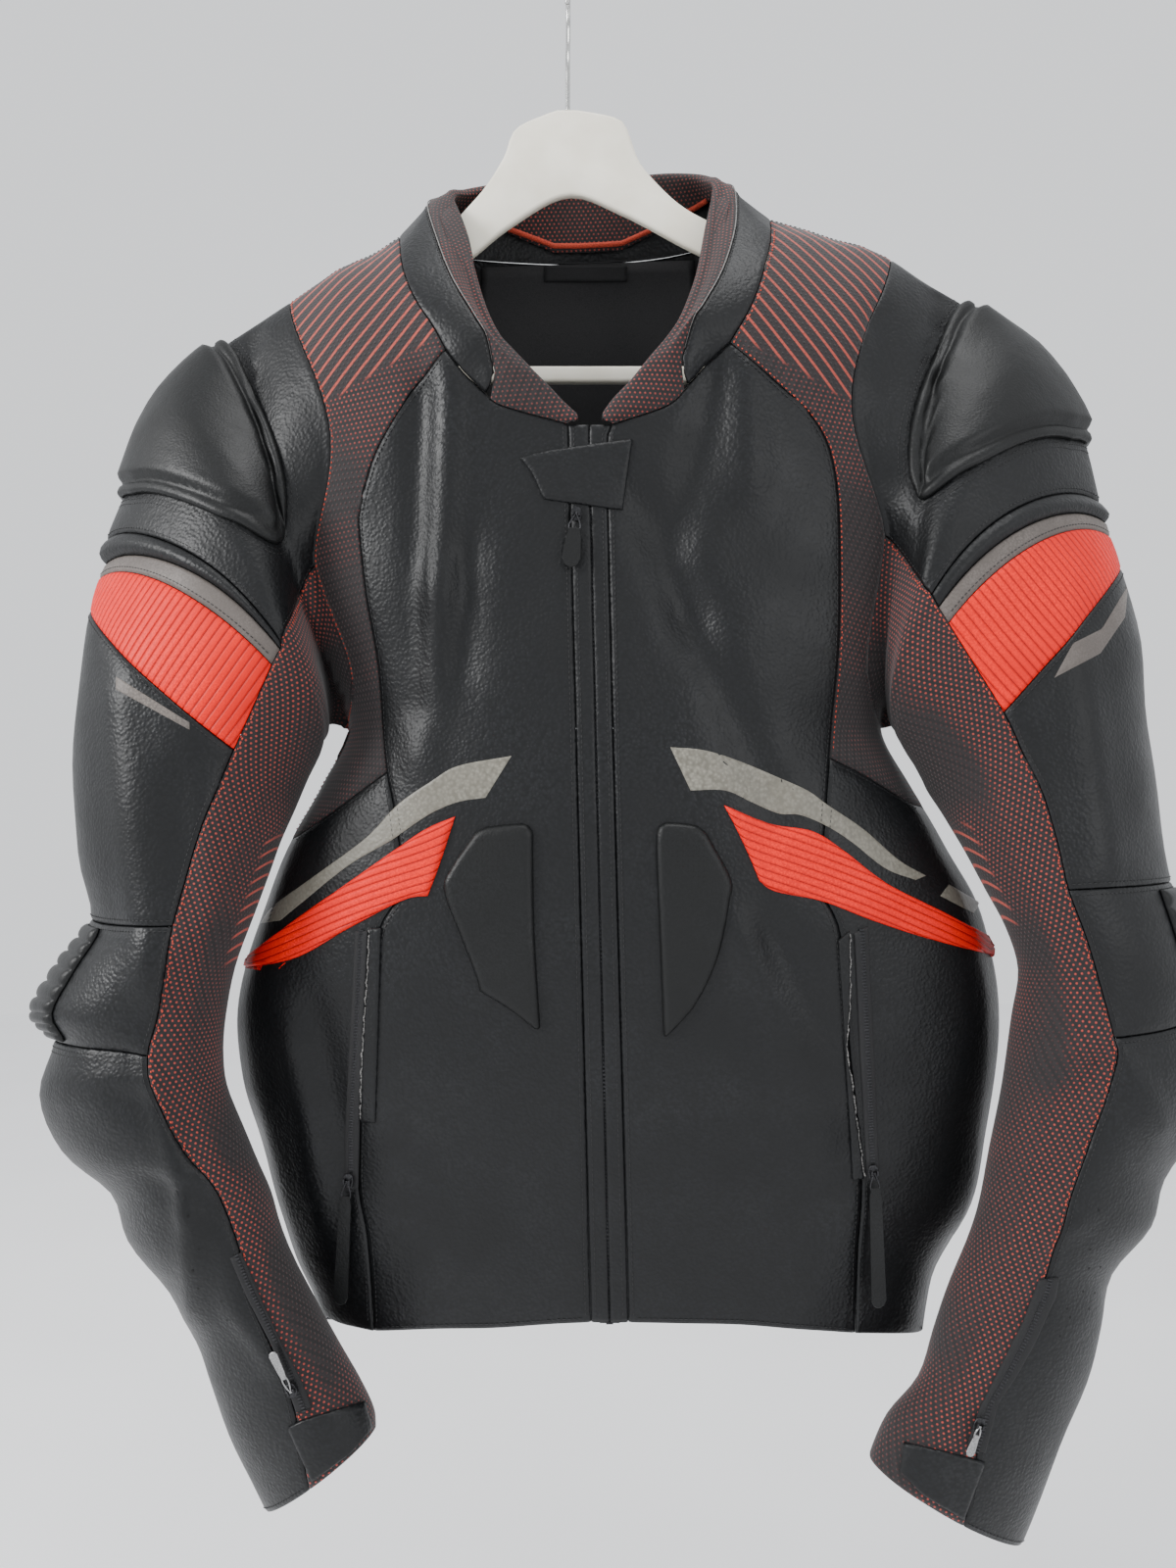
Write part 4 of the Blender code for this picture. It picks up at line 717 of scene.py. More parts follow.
def hermite(table: Sequence, at: np.ndarray) -> np.ndarray:
    """Each column of a table, smooth in its first column.

    Args:
        table: Rows of a key and its values.
        at: The keys that are asked for.

    Returns:
        The values there, with one more axis than `at`.
    """
    data = np.array(table, dtype=float)
    data = data[np.argsort(data[:, 0])]
    keys, values = data[:, 0], data[:, 1:]
    slopes = np.gradient(values, keys, axis=0)
    at = np.clip(np.asarray(at, dtype=float), keys[0], keys[-1])
    low = np.clip(np.searchsorted(keys, at) - 1, 0, len(keys) - 2)
    step = keys[low + 1] - keys[low]
    part = ((at - keys[low]) / step)[..., None]
    step = step[..., None]
    rise = values[low + 1] - values[low]
    return (
        values[low]
        + part * step * slopes[low]
        + part**2 * (3 * rise - step * (2 * slopes[low] + slopes[low + 1]))
        + part**3 * (step * (slopes[low] + slopes[low + 1]) - 2 * rise)
    )


def spread(dense: np.ndarray, count: int) -> np.ndarray:
    """`count` + 1 points, evenly spaced along a run of points."""
    run = np.concatenate([[0], np.cumsum(np.linalg.norm(np.diff(dense, axis=0), axis=1))])
    want = np.linspace(0, run[-1], count + 1)
    return np.column_stack([np.interp(want, run, dense[:, k]) for k in range(dense.shape[1])])


def curve(points: Sequence, count: int) -> np.ndarray:
    """`count` + 1 points, evenly spaced on a smooth curve through `points`."""
    points = np.array(points, dtype=float)
    keys = np.arange(len(points), dtype=float)
    return spread(hermite(np.column_stack([keys, points]), np.linspace(0, len(points) - 1, 800)), count)


def place(points: np.ndarray) -> np.ndarray:
    """Seen places (across, height, depth) moved along their sight lines to true ones."""
    points = np.asarray(points, dtype=float)
    eye = np.array(EYE)
    near = (points[..., 2] - eye[1]) / -eye[1]
    x = eye[0] + (points[..., 0] - eye[0]) * near
    z = eye[2] + (points[..., 1] - eye[2]) * near
    return np.stack([x, points[..., 2], z], axis=-1)


def fold_height(across: np.ndarray, height: np.ndarray, folds: Sequence = FOLDS) -> np.ndarray:
    """How far soft folds push the cloth outward.

    Args:
        across: Seen places to the right.
        height: Seen places upward.
        folds: Rows of start, end, half width and rise.

    Returns:
        The rise at each place.
    """
    total = np.zeros_like(across)
    for x0, z0, x1, z1, width, rise in folds:
        run = np.array([x1 - x0, z1 - z0], dtype=float)
        length = np.linalg.norm(run)
        run /= length
        along = (across - x0) * run[0] + (height - z0) * run[1]
        side = (across - x0) * run[1] - (height - z0) * run[0]
        past = np.maximum(np.maximum(-along, along - length), 0) / (1.6 * width)
        total += rise * np.exp(-((side / width) ** 2) - past**2)
    return total


def trunk_depth(points: np.ndarray, front: bool = True) -> np.ndarray:
    """Depth of the trunk's front or back at seen places (across, height)."""
    points = np.asarray(points, dtype=float)
    across, height = points[..., 0], points[..., 1]
    section = hermite(TRUNK, height)
    low, high, front_y, side_y, back_y = (section[..., k] for k in range(5))
    middle = (low + high) / 2
    reach = np.clip(np.abs(across - middle) / ((high - low) / 2), 0, 1)
    full = (1 - reach**SECTION_ACROSS) ** (1 / SECTION_DEEP)
    ridge = np.interp(across, *zip(*RIDGE))
    down = np.clip((ridge - height) / SHOULDER_ROLL, 0, 1)
    full = full * np.sqrt(1 - (1 - down) ** 2)
    if front:
        return side_y - (side_y - front_y) * full - fold_height(across, height) * full
    return side_y + (back_y - side_y) * full


def on_trunk(points: np.ndarray, front: bool = True) -> np.ndarray:
    """Seen places with the depth of the trunk's front or back added."""
    points = np.asarray(points, dtype=float)[..., :2]
    return np.concatenate([points, trunk_depth(points, front)[..., None]], axis=-1)


def fractions(points: np.ndarray) -> np.ndarray:
    """How far along each point of an edge lies, from 0 to 1."""
    run = np.concatenate([[0], np.cumsum(np.linalg.norm(np.diff(points[:, :2], axis=0), axis=1))])
    return run / run[-1]


def coons(left: np.ndarray, right: np.ndarray, top: np.ndarray, bottom: np.ndarray) -> np.ndarray:
    """A grid between four edges, rows downward and columns to the right."""
    rows = (fractions(left) + fractions(right))[:, None, None] / 2
    cols = (fractions(top) + fractions(bottom))[None, :, None] / 2
    return (
        (1 - cols) * left[:, None] + cols * right[:, None]
        + (1 - rows) * top[None] + rows * bottom[None]
        - (1 - rows) * ((1 - cols) * top[0] + cols * top[-1])
        - rows * ((1 - cols) * bottom[0] + cols * bottom[-1])
    )


def fill(left: np.ndarray, right: np.ndarray, top: np.ndarray, bottom: np.ndarray,
         front: bool = True) -> np.ndarray:
    """A grid of seen places between four edges, laid on the trunk."""
    grid = coons(left, right, top, bottom)
    grid[1:-1, 1:-1] = on_trunk(grid[1:-1, 1:-1, :2], front)
    grid[:, 0], grid[:, -1], grid[0], grid[-1] = left, right, top, bottom
    return grid


def join(*runs: np.ndarray) -> np.ndarray:
    """Runs of points end to end, with each shared end kept once."""
    return np.concatenate([runs[0]] + [run[1:] for run in runs[1:]])


def grid_normals(skin: np.ndarray) -> np.ndarray:
    """Outward unit normals of a grid whose rows run down and columns right."""
    down = skin[1:] - skin[:-1]
    right = skin[:, 1:] - skin[:, :-1]
    out = np.zeros_like(skin)
    for i in (0, 1):
        for j in (0, 1):
            a = down[:, 1:] if j else down[:, :-1]
            b = right[1:] if i else right[:-1]
            out[i:skin.shape[0] - 1 + i, j:skin.shape[1] - 1 + j] += np.cross(a, b)
    return out / np.maximum(np.linalg.norm(out, axis=-1, keepdims=True), 1e-9)


def cut_size(skin: np.ndarray) -> tuple[np.ndarray, float, float, float]:
    """A grid laid flat: its pattern coordinates, width, length and area, in metres."""
    right = np.linalg.norm(np.diff(skin, axis=1), axis=-1)
    down = np.linalg.norm(np.diff(skin, axis=0), axis=-1)
    u = np.concatenate([np.zeros((len(skin), 1)), np.cumsum(right, axis=1)], axis=1)
    v = np.concatenate([np.zeros((1, skin.shape[1])), np.cumsum(down, axis=0)], axis=0)
    cross = np.cross(skin[1:, :-1] - skin[:-1, :-1], skin[:-1, 1:] - skin[:-1, :-1])
    other = np.cross(skin[1:, :-1] - skin[1:, 1:], skin[:-1, 1:] - skin[1:, 1:])
    area = (np.linalg.norm(cross, axis=-1) + np.linalg.norm(other, axis=-1)).sum() / 2
    width, length = right.sum(axis=1).max(), down.sum(axis=0).max()
    return np.stack([u, -v], axis=-1) / METRE, width / METRE, length / METRE, area / METRE**2


def unwrap(skin: np.ndarray) -> np.ndarray:
    """Pattern coordinates with the least stretch, in metres, its rows along u."""
    rows, cols = skin.shape[:2]
    ids = np.arange(rows * cols).reshape(rows, cols)
    quads = np.stack([ids[:-1, :-1], ids[1:, :-1], ids[1:, 1:], ids[:-1, 1:]], -1).reshape(-1, 4)
    mesh = bpy.data.meshes.new("pattern")
    mesh.from_pydata((skin.reshape(-1, 3) / METRE).tolist(), [], quads.tolist())
    mesh.uv_layers.new(name="pattern")
    obj = bpy.data.objects.new("pattern", mesh)
    bpy.context.collection.objects.link(obj)
    bpy.context.view_layer.objects.active = obj
    bpy.ops.object.mode_set(mode="EDIT")
    bpy.ops.mesh.select_all(action="SELECT")
    bpy.ops.uv.unwrap(method="MINIMUM_STRETCH", margin=0.0, iterations=20)
    bpy.ops.object.mode_set(mode="OBJECT")
    index = np.zeros(len(mesh.loops), dtype=np.int32)
    mesh.loops.foreach_get("vertex_index", index)
    raw = np.zeros(2 * len(index), dtype=np.float32)
    mesh.uv_layers["pattern"].data.foreach_get("uv", raw)
    flat = np.zeros((rows * cols, 2))
    flat[index] = raw.reshape(-1, 2)
    bpy.data.objects.remove(obj)
    flat = flat.reshape(rows, cols, 2)
    true = np.linalg.norm(np.diff(skin, axis=1), axis=-1).sum() / METRE
    flat *= true / np.linalg.norm(np.diff(flat, axis=1), axis=-1).sum()
    way = flat[rows // 2, -1] - flat[rows // 2, 0]
    way /= np.linalg.norm(way)
    return np.stack([flat @ way, flat @ np.array([-way[1], way[0]])], axis=-1)


def crisp(grid: np.ndarray, inset: float) -> np.ndarray:
    """A grid with a line of points added just inside each of its four edges."""
    for axis in (0, 1):
        grid = np.swapaxes(grid, 0, 1) if axis else grid
        head = grid[0] + (grid[1] - grid[0]) * inset
        tail = grid[-1] + (grid[-2] - grid[-1]) * inset
        grid = np.concatenate([grid[:1], head[None], grid[1:-1], tail[None], grid[-1:]])
        grid = np.swapaxes(grid, 0, 1) if axis else grid
    return grid


def edge_distance(grid: np.ndarray) -> np.ndarray:
    """How far each point of a grid lies from the nearest of the grid's four edges."""
    rim = np.concatenate([grid[0], grid[1:, -1], grid[-1, -2::-1], grid[-2::-1, 0]])
    start, run = rim[:-1], np.diff(rim, axis=0)
    size = np.maximum((run**2).sum(-1), 1e-9)
    points = grid.reshape(-1, grid.shape[-1])
    best = np.full(len(points), np.inf)
    for a, d, s in zip(start, run, size):
        part = np.clip(((points - a) @ d) / s, 0, 1)
        best = np.minimum(best, np.linalg.norm(points - a - part[:, None] * d, axis=-1))
    return best.reshape(grid.shape[:2])


def mesh_object(name: str, points: np.ndarray, faces: Iterable, finish: Material,
                patterns: dict[str, np.ndarray] | None = None,
                smooth: bool = True) -> Piece:
    """A mesh at the origin.

    Args:
        name: The piece's name.
        points: Places in millimetres.
        faces: Vertex indices, counterclockwise from outside.
        finish: The material.
        patterns: UV maps by name, each with one place per point.
        smooth: Whether faces are smooth shaded.

    Returns:
        The new object.
    """
    mesh = bpy.data.meshes.new(name)
    mesh.from_pydata((np.asarray(points) / METRE).tolist(), [], [list(face) for face in faces])
    index = np.zeros(len(mesh.loops), dtype=np.int32)
    mesh.loops.foreach_get("vertex_index", index)
    for title, pattern in (patterns or {}).items():
        layer = mesh.uv_layers.new(name=title)
        layer.data.foreach_set("uv", pattern[index].astype(np.float32).ravel())
    mesh.materials.append(finish)
    if smooth:
        mesh.shade_smooth()
    obj = bpy.data.objects.new(name, mesh)
    bpy.context.collection.objects.link(obj)
    return obj


def wall_object(name: str, outer: np.ndarray, inner: np.ndarray,
                finish: Material) -> Piece:
    """Make a closed wall between two grids.

    Args:
        name: The piece's name.
        outer: The grid of its outside.
        inner: The grid of its inside.
        finish: Its material.

    Returns:
        The wall, with its cut and its share of the grid as UV maps.
    """
    rows, cols = outer.shape[:2]
    count = rows * cols
    ids = np.arange(count).reshape(rows, cols)
    quads = np.stack([ids[:-1, :-1], ids[1:, :-1], ids[1:, 1:], ids[:-1, 1:]], -1).reshape(-1, 4)
    ring = np.concatenate([ids[0], ids[1:, -1], ids[-1, -2::-1], ids[-2:0:-1, 0]])
    after = np.roll(ring, -1)
    rim = np.column_stack([ring, after, after + count, ring + count])
    faces = np.concatenate([quads, quads[:, ::-1] + count, rim]).tolist()
    down, across = np.meshgrid(np.linspace(0, 1, rows), np.linspace(0, 1, cols), indexing="ij")
    flat = unwrap(outer) if "knit" in finish.name or "ribbed" in finish.name else cut_size(outer)[0]
    maps = {"cut": flat, "share": np.stack([across, down], axis=-1)}
    maps = {title: np.tile(uv.reshape(-1, 2), (2, 1)) for title, uv in maps.items()}
    points = np.concatenate([outer.reshape(-1, 3), inner.reshape(-1, 3)])
    return mesh_object(name, points, faces, finish, maps)


class Cloth:
    """The outer skins of all sewn panels; panels share the points of their seams."""

    def __init__(self) -> None:
        """Start with no panels."""
        self.skins: dict[str, np.ndarray] = {}
        self.facing: dict[tuple, np.ndarray] = {}
        self.trees: dict[tuple, BVHTree] = {}

    @staticmethod
    def key(point: np.ndarray) -> tuple:
        """A point as a key that the panels on both sides of a seam share."""
        return tuple(np.round(point, 2))

    def add(self, name: str, seen: np.ndarray) -> None:
        """Keep a panel's skin, given as seen places."""
        self.skins[name] = place(seen)

    def settle(self, relief: Callable[[np.ndarray, np.ndarray], np.ndarray]) -> None:
        """Push all skins out by a relief, together along their seams.

        Args:
            relief: The rise at true places with given normals.
        """
        self.facing = self._gather()
        for name, skin in self.skins.items():
            normal = self.normals(name)
            self.skins[name] = skin + normal * relief(skin, normal)[..., None]
        self.facing = self._gather()

    def _gather(self) -> dict[tuple, np.ndarray]:
        """The sum of the normals of all panels at each shared point."""
        facing: dict[tuple, np.ndarray] = {}
        for skin in self.skins.values():
            normal = grid_normals(skin)
            for point, out in zip(skin.reshape(-1, 3), normal.reshape(-1, 3)):
                key = self.key(point)
                facing[key] = facing.get(key, 0) + out
        return facing

    def normals(self, name: str) -> np.ndarray:
        """Outward unit normals of a skin, shared along its seams."""
        skin = self.skins[name]
        out = np.array([[self.facing[self.key(p)] for p in row] for row in skin])
        return out / np.linalg.norm(out, axis=-1, keepdims=True)

    def wall(self, name: str, thick: float, gap: float, roll: float,
             raise_by: np.ndarray | None = None) -> tuple[np.ndarray, np.ndarray]:
        """A panel's wall, drawn in at its seams and rolled down along them.

        Args:
            name: The panel.
            thick: The wall's thickness.
            gap: The gap that a seam shows.
            roll: How far the edges roll down.
            raise_by: An extra rise for each point.

        Returns:
            The outer and the inner grid.
        """
        skin, normal = self.skins[name], self.normals(name)
        if raise_by is not None:
            skin = skin + normal * raise_by[..., None]
        step = np.linalg.norm(skin[1, :] - skin[0, :], axis=-1).mean()
        skin, normal = (crisp(grid, min(0.5, 1.6 / step)) for grid in (skin, normal))
        normal /= np.linalg.norm(normal, axis=-1, keepdims=True)
        outer = skin.copy()
        for rim, near in ((np.s_[0], np.s_[1]), (np.s_[-1], np.s_[-2]),
                          (np.s_[:, 0], np.s_[:, 1]), (np.s_[:, -1], np.s_[:, -2])):
            toward = skin[near] - skin[rim]
            size = np.maximum(np.linalg.norm(toward, axis=-1, keepdims=True), 1e-6)
            outer[rim] += toward / size * np.minimum(gap / 2, size * 0.4) - normal[rim] * roll
            outer[near] -= normal[near] * roll * 0.22
        return outer, outer - normal * thick

    def tree(self, names: Sequence[str]) -> BVHTree:
        """The search tree over some panels' skins."""
        key = tuple(names)
        if key not in self.trees:
            points, faces = [], []
            for name in names:
                skin = self.skins[name]
                start = len(points)
                ids = start + np.arange(skin.shape[0] * skin.shape[1]).reshape(skin.shape[:2])
                points += [tuple(p) for p in skin.reshape(-1, 3)]
                quads = np.stack([ids[:-1, :-1], ids[1:, :-1], ids[1:, 1:], ids[:-1, 1:]], -1)
                faces += quads.reshape(-1, 4).tolist()
            self.trees[key] = BVHTree.FromPolygons(points, faces)
        return self.trees[key]

    def lay(self, seen: np.ndarray, names: Sequence[str]) -> np.ndarray:
        """Places on some panels, where sight lines first meet them.

        Args:
            seen: A grid of places (across, height).
            names: The panels.

        Returns:
            The true places, as a grid of the same shape.
        """
        tree, eye = self.tree(names), Vector(EYE)
        flat = seen.reshape(-1, seen.shape[-1])[:, :2]
        out = np.zeros((len(flat), 3))
        last = EYE[1] + 800.0
        for k, (across, height) in enumerate(flat):
            aim = Vector(place(np.array([across, height, 0.0]))) - eye
            hit = tree.ray_cast(eye, aim)[0]
            if hit is None:
                hit = tree.find_nearest(Vector(place(np.array([across, height, last]))))[0]
            last = hit.y
            out[k] = hit
        return out.reshape(*seen.shape[:-1], 3)


def edges_of(outline: Sequence, corners: Sequence[int], sizes: tuple[int, int], smooth: bool) -> tuple:
    """The four edges of an outline.

    Args:
        outline: Seen places round a piece.
        corners: Indices of the corners: top left, top right, bottom right, bottom left.
        sizes: Steps down and across.
        smooth: Whether the edges are smooth curves.

    Returns:
        The left, right, top and bottom edge.
    """
    count = len(outline)

    def run(first: int, last: int, others: set[int], steps: int) -> np.ndarray:
        """The points of one edge, from corner to corner."""
        for way in (1, -1):
            path = [first]
            while path[-1] != last and (len(path) == 1 or path[-1] not in others):
                path.append((path[-1] + way) % count)
            if path[-1] == last:
                break
        points = np.array([outline[k] for k in path], dtype=float)
        return curve(points, steps) if smooth and len(points) > 2 else spread(points, steps)

    top_left, top_right, low_right, low_left = corners
    rest = set(corners)
    return (
        run(top_left, low_left, rest - {top_left, low_left}, sizes[0]),
        run(top_right, low_right, rest - {top_right, low_right}, sizes[0]),
        run(top_left, top_right, rest - {top_left, top_right}, sizes[1]),
        run(low_left, low_right, rest - {low_left, low_right}, sizes[1]),
    )


def round_edge(distance: np.ndarray, rim: float) -> np.ndarray:
    """The share of full height at a distance from the edge, for a rounded rim."""
    part = np.clip(1 - distance / rim, 0, 1)
    return np.sqrt(1 - part**2)


class Workshop:
    """Dresses finished pieces: attaches them to what they ride on and hides what they stand for."""

    # The least side, in metres, that a sheet's flat size is given with, and the least share of its box.
    least_flat = 0.0101
    least_share = 0.31

    def __init__(self, cloth: Cloth, finishes: Finishes) -> None:
        """Keep the cloth and build each finish once."""
        self.cloth = cloth
        self.finish = {name: getattr(finishes, name).build() for name in Finishes.__annotations__}
        self.flat_sizes: list[str] = []

    def keep(self, obj: Piece, slot: Slot, *stands_for: str,
             body: str = "jacket") -> Piece:
        """Attach a piece to a body and hide the nodes that it replaces."""
        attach(obj, body)
        if stands_for:
            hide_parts(*stands_for)
        log.info("%s: %d faces", obj.name, len(obj.data.polygons))
        return obj

    def sheet(self, obj: Piece, skin: np.ndarray, rests_on: Sequence[str]) -> None:
        """Note the size of a piece as cloth cut to its skin laid flat."""
        width, length, area = cut_size(skin)[1:]
        width, length = max(width, self.least_flat), max(length, self.least_flat)
        self.flat_sizes.append(f"{obj.name} {width * METRE:.0f} x {length * METRE:.0f} mm")

    def patch(self, name: str, outline: Sequence, corners: Sequence[int], names: Sequence[str],
              finish: str, thick: float, rim: float = 1.0, sizes: tuple[int, int] = (24, 24),
              low: float = 0.0, smooth: bool = True) -> tuple[Piece, np.ndarray]:
        """A piece laid on panels over a seen outline, with a rounded rim.

        Args:
            name: The piece's name.
            outline: Seen places round it.
            corners: Indices of its four corners in the outline.
            names: The panels that it lies on.
            finish: The finish's name.
            thick: Its height.
            rim: How wide its rounded rim is.
            sizes: Steps down and across.
            low: How far above the panels it starts.
            smooth: Whether the outline's edges are smooth curves.

        Returns:
            The piece and the grid that it lies on.
        """
        seen = coons(*edges_of(outline, corners, sizes, smooth))
        base = self.cloth.lay(seen, names)
        step = np.linalg.norm(base[:, 1] - base[:, 0], axis=-1).mean()
        base = crisp(base, min(0.5, 0.25 * rim / max(step, 0.1)))
        normal = grid_normals(base)
        high = low + 0.15 + (thick - 0.15) * round_edge(edge_distance(base), rim)
        obj = wall_object(name, base + normal * high[..., None], base + normal * (low - 0.1),
                          self.finish[finish])
        return obj, base


class SleeveForm:
    """One sleeve as a tube of rings, read at any ring and place round it.

    Round the ring, 0 is the outer line, 0.5 the front seam, 1 the inner line and
    -0.5 the back seam.
    """

    def __init__(self, table: Sequence, side: Side) -> None:
        """Keep the ring table and the way that the sleeve points."""
        self.table = np.column_stack([np.arange(len(table)), np.array(table, dtype=float)])
        self.side = side
        self.sign = 1 if side is Side.RIGHT else -1

    def seen(self, ring: np.ndarray, turn: np.ndarray) -> np.ndarray:
        """The seen places (across, height, depth) at rings and turns."""
        ring, turn = np.broadcast_arrays(np.asarray(ring, float), np.asarray(turn, float))
        row = hermite(self.table, ring)
        outer, seam, inner = row[..., 0:2], row[..., 2:4], row[..., 4:6]
        middle, deep, cap_bow, arm_bow = (row[..., k] for k in range(6, 10))
        axis = inner - outer
        length = np.linalg.norm(axis, axis=-1)
        axis = axis / length[..., None]
        side = np.stack([-axis[..., 1], axis[..., 0]], axis=-1) * self.sign
        seam_part = np.clip(((seam - outer) * axis).sum(-1) / length, 0.05, 0.95)
        seam_turn = np.arccos(1 - 2 * seam_part)
        turn = np.where(turn > 1, turn - 2, turn)
        size = np.abs(turn)
        near = size / 0.5 * seam_turn
        far = seam_turn + (size - 0.5) / 0.5 * (math.pi - seam_turn)
        angle = np.where(size <= 0.5, near, far)
        part = (1 - np.cos(angle)) / 2
        rest = np.clip((part - seam_part) / (1 - seam_part), 0, 1)
        bow = ((seam - outer) * side).sum(-1) * np.sin(angle) / np.sin(seam_turn)
        bow = bow + np.where(
            size <= 0.5, cap_bow * np.sin(math.pi * np.minimum(part / seam_part, 1)) ** 1.5,
            arm_bow * np.sin(math.pi * rest**1.6))
        bow = np.where(turn > 0, bow, 0.0)
        spot = outer + axis * (length * part)[..., None] + side * bow[..., None]
        toward = np.where(turn > 0, -1, 1)
        tube = middle + toward * deep * np.sin(angle)
        body = np.where(turn > 0, trunk_depth(spot), trunk_depth(spot, front=False))
        share = np.clip(ring / BLEND_RINGS, 0, 1)
        share = share * share * (3 - 2 * share)
        return np.concatenate([spot, (body + (tube - body) * share)[..., None]], axis=-1)

    def grid(self, rings: Sequence[float], turns: Sequence[float]) -> np.ndarray:
        """Seen places over rings and turns, columns rightward seen from outside."""
        cells = self.seen(np.array(rings)[:, None], np.array(turns)[None])
        return cells if self.sign > 0 else cells[:, ::-1]


@dataclass
class Trunk:
    """Fronts, knit yokes, side panels, plackets and back."""

    shop: Workshop
    leather: float = LEATHER
    knit: float = KNIT
    gap: float = 0.5
    roll: float = 0.9
    knit_end_right: float = -594
    knit_end_left: float = -572
    side_end: float = -928
    rests_on: tuple[str, ...] = ("hanger",)

    def sew(self, right: SleeveForm, left: SleeveForm) -> np.ndarray:
        """Add the trunk's skins to the cloth.

        Args:
            right: The wearer's right sleeve.
            left: The wearer's left sleeve.

        Returns:
            The neck seam, from the right front round the back to the left front.
        """
        cloth, n = self.shop.cloth, FINE
        half = half_ring()
        arm_r, arm_l = (arm.seen(0.0, half) for arm in (right, left))
        back_r, back_l = (arm.seen(0.0, -np.array(half)) for arm in (right, left))
        neck_rf = on_trunk(curve(NECK_RIGHT_FRONT, 5 * n))
        neck_rs = on_trunk(curve(NECK_RIGHT_SIDE, 3 * n))
        neck_back = on_trunk(curve(NECK_BACK, 10 * n), front=False)
        neck_ls = on_trunk(curve(NECK_LEFT_SIDE, 3 * n))
        neck_lf = on_trunk(curve(NECK_LEFT_FRONT, 5 * n))
        side_r = self._side(1, arm_r[-1], self.knit_end_right)
        side_l = self._side(2, arm_l[-1], self.knit_end_left)
        princess_r, princess_l = (on_trunk(curve(p, 10 * n)) for p in (PRINCESS_RIGHT, PRINCESS_LEFT))
        lower_r, lower_l = (on_trunk(curve(p, 12 * n)) for p in (LOWER_RIGHT, LOWER_LEFT))
        knit_r, knit_l = (on_trunk(curve(p, 5 * n)) for p in (KNIT_HEM_RIGHT, KNIT_HEM_LEFT))
        knit_r[0], knit_l[-1] = side_r[3 * n], side_l[3 * n]
        hem_rs, hem_ls = (on_trunk(curve(p, 5 * n)) for p in (HEM_RIGHT_SIDE, HEM_LEFT_SIDE))
        hem_rs[0], hem_ls[-1] = side_r[-1], side_l[-1]
        top_r, top_l = (on_trunk(curve(p, 5 * n)) for p in (SHOULDER_RIGHT, SHOULDER_LEFT))
        top_r[:, 2] = top_l[:, 2] = 0.0
        top_r[0], top_l[-1] = arm_r[0], arm_l[0]
        neck_rs[-1] = top_r[-1] = neck_back[0]
        neck_ls[0] = top_l[0] = neck_back[-1]
        edge_r, edge_l, middle = (
            on_trunk(curve(p, 22 * n)) for p in (PLACKET_RIGHT, PLACKET_LEFT, ZIP_LINE))
        hem_rf, hem_lf = (on_trunk(curve(p, 5 * n)) for p in (HEM_RIGHT_FRONT, HEM_LEFT_FRONT))
        edge_r[0], edge_l[0] = neck_rf[0], neck_lf[-1]
        edge_r[-1], edge_l[-1] = hem_rf[-1], hem_lf[0]
        cloth.add("yoke_front_right", fill(
            join(arm_r, side_r[:3 * n + 1]), join(neck_rs[::-1], princess_r), top_r, knit_r))
        cloth.add("yoke_front_left", fill(
            join(neck_ls, princess_l), join(arm_l, side_l[:3 * n + 1]), top_l, knit_l))
        cloth.add("side_right", fill(side_r[3 * n:], lower_r, knit_r, hem_rs))
        cloth.add("side_left", fill(lower_l, side_l[3 * n:], knit_l, hem_ls))
        cloth.add("front_right", fill(join(princess_r, lower_r), edge_r, neck_rf[::-1], hem_rf))
        cloth.add("front_left", fill(edge_l, join(princess_l, lower_l), neck_lf[::-1], hem_lf))
        for name, first, last in (("placket_right", edge_r, middle), ("placket_left", middle, edge_l)):
            ends = [np.linspace(first[k], last[k], 5) for k in (0, -1)]
            cloth.add(name, fill(first, last, *ends))
        waist = on_trunk(np.linspace(arm_l[-1][:2], arm_r[-1][:2], 20 * n + 1), front=False)
        waist[0], waist[-1] = arm_l[-1], arm_r[-1]
        back_top = join(top_l[::-1], neck_back[::-1], top_r[::-1])
        cloth.add("back_yoke", fill(back_l, back_r, back_top, waist, front=False))
        hem = on_trunk(np.linspace(side_l[-1][:2], side_r[-1][:2], 20 * n + 1), front=False)
        hem[0], hem[-1] = side_l[-1], side_r[-1]
        cloth.add("back_body", fill(side_l, side_r, waist, hem, front=False))
        return join(neck_rf, neck_rs, neck_back, neck_ls, neck_lf)

    def _side(self, column: int, start: np.ndarray, turn: float) -> np.ndarray:
        """The line down one side of the trunk, from the armhole to the hem."""
        heights = np.concatenate([np.linspace(start[1], turn, 3 * FINE + 1),
                                  np.linspace(turn, self.side_end, 12 * FINE + 1)[1:]])
        section = hermite(TRUNK, heights)
        line = np.column_stack([section[:, column - 1], heights, section[:, 3]])
        line[0] = start
        return line

    def build(self) -> None:
        """Make the trunk's panels."""
        for name in ("yoke_front_right", "yoke_front_left"):
            self._panel(name, "striped", self.knit, Slot.KNIT)
        for name in ("side_right", "side_left", "front_right", "front_left", "placket_right",
                     "placket_left", "back_yoke", "back_body"):
            self._panel(name, "leather", self.leather, Slot.LEATHER)

    def _panel(self, name: str, finish: str, thick: float, slot: Slot) -> None:
        """Make and keep one cloth panel, and note its flat size."""
        shop = self.shop
        walls = shop.cloth.wall(name, thick, self.gap, self.roll)
        piece = wall_object(f"{name}_panel", *walls, shop.finish[finish])
        shop.keep(piece, slot, name)
        shop.sheet(piece, walls[0], self.rests_on)


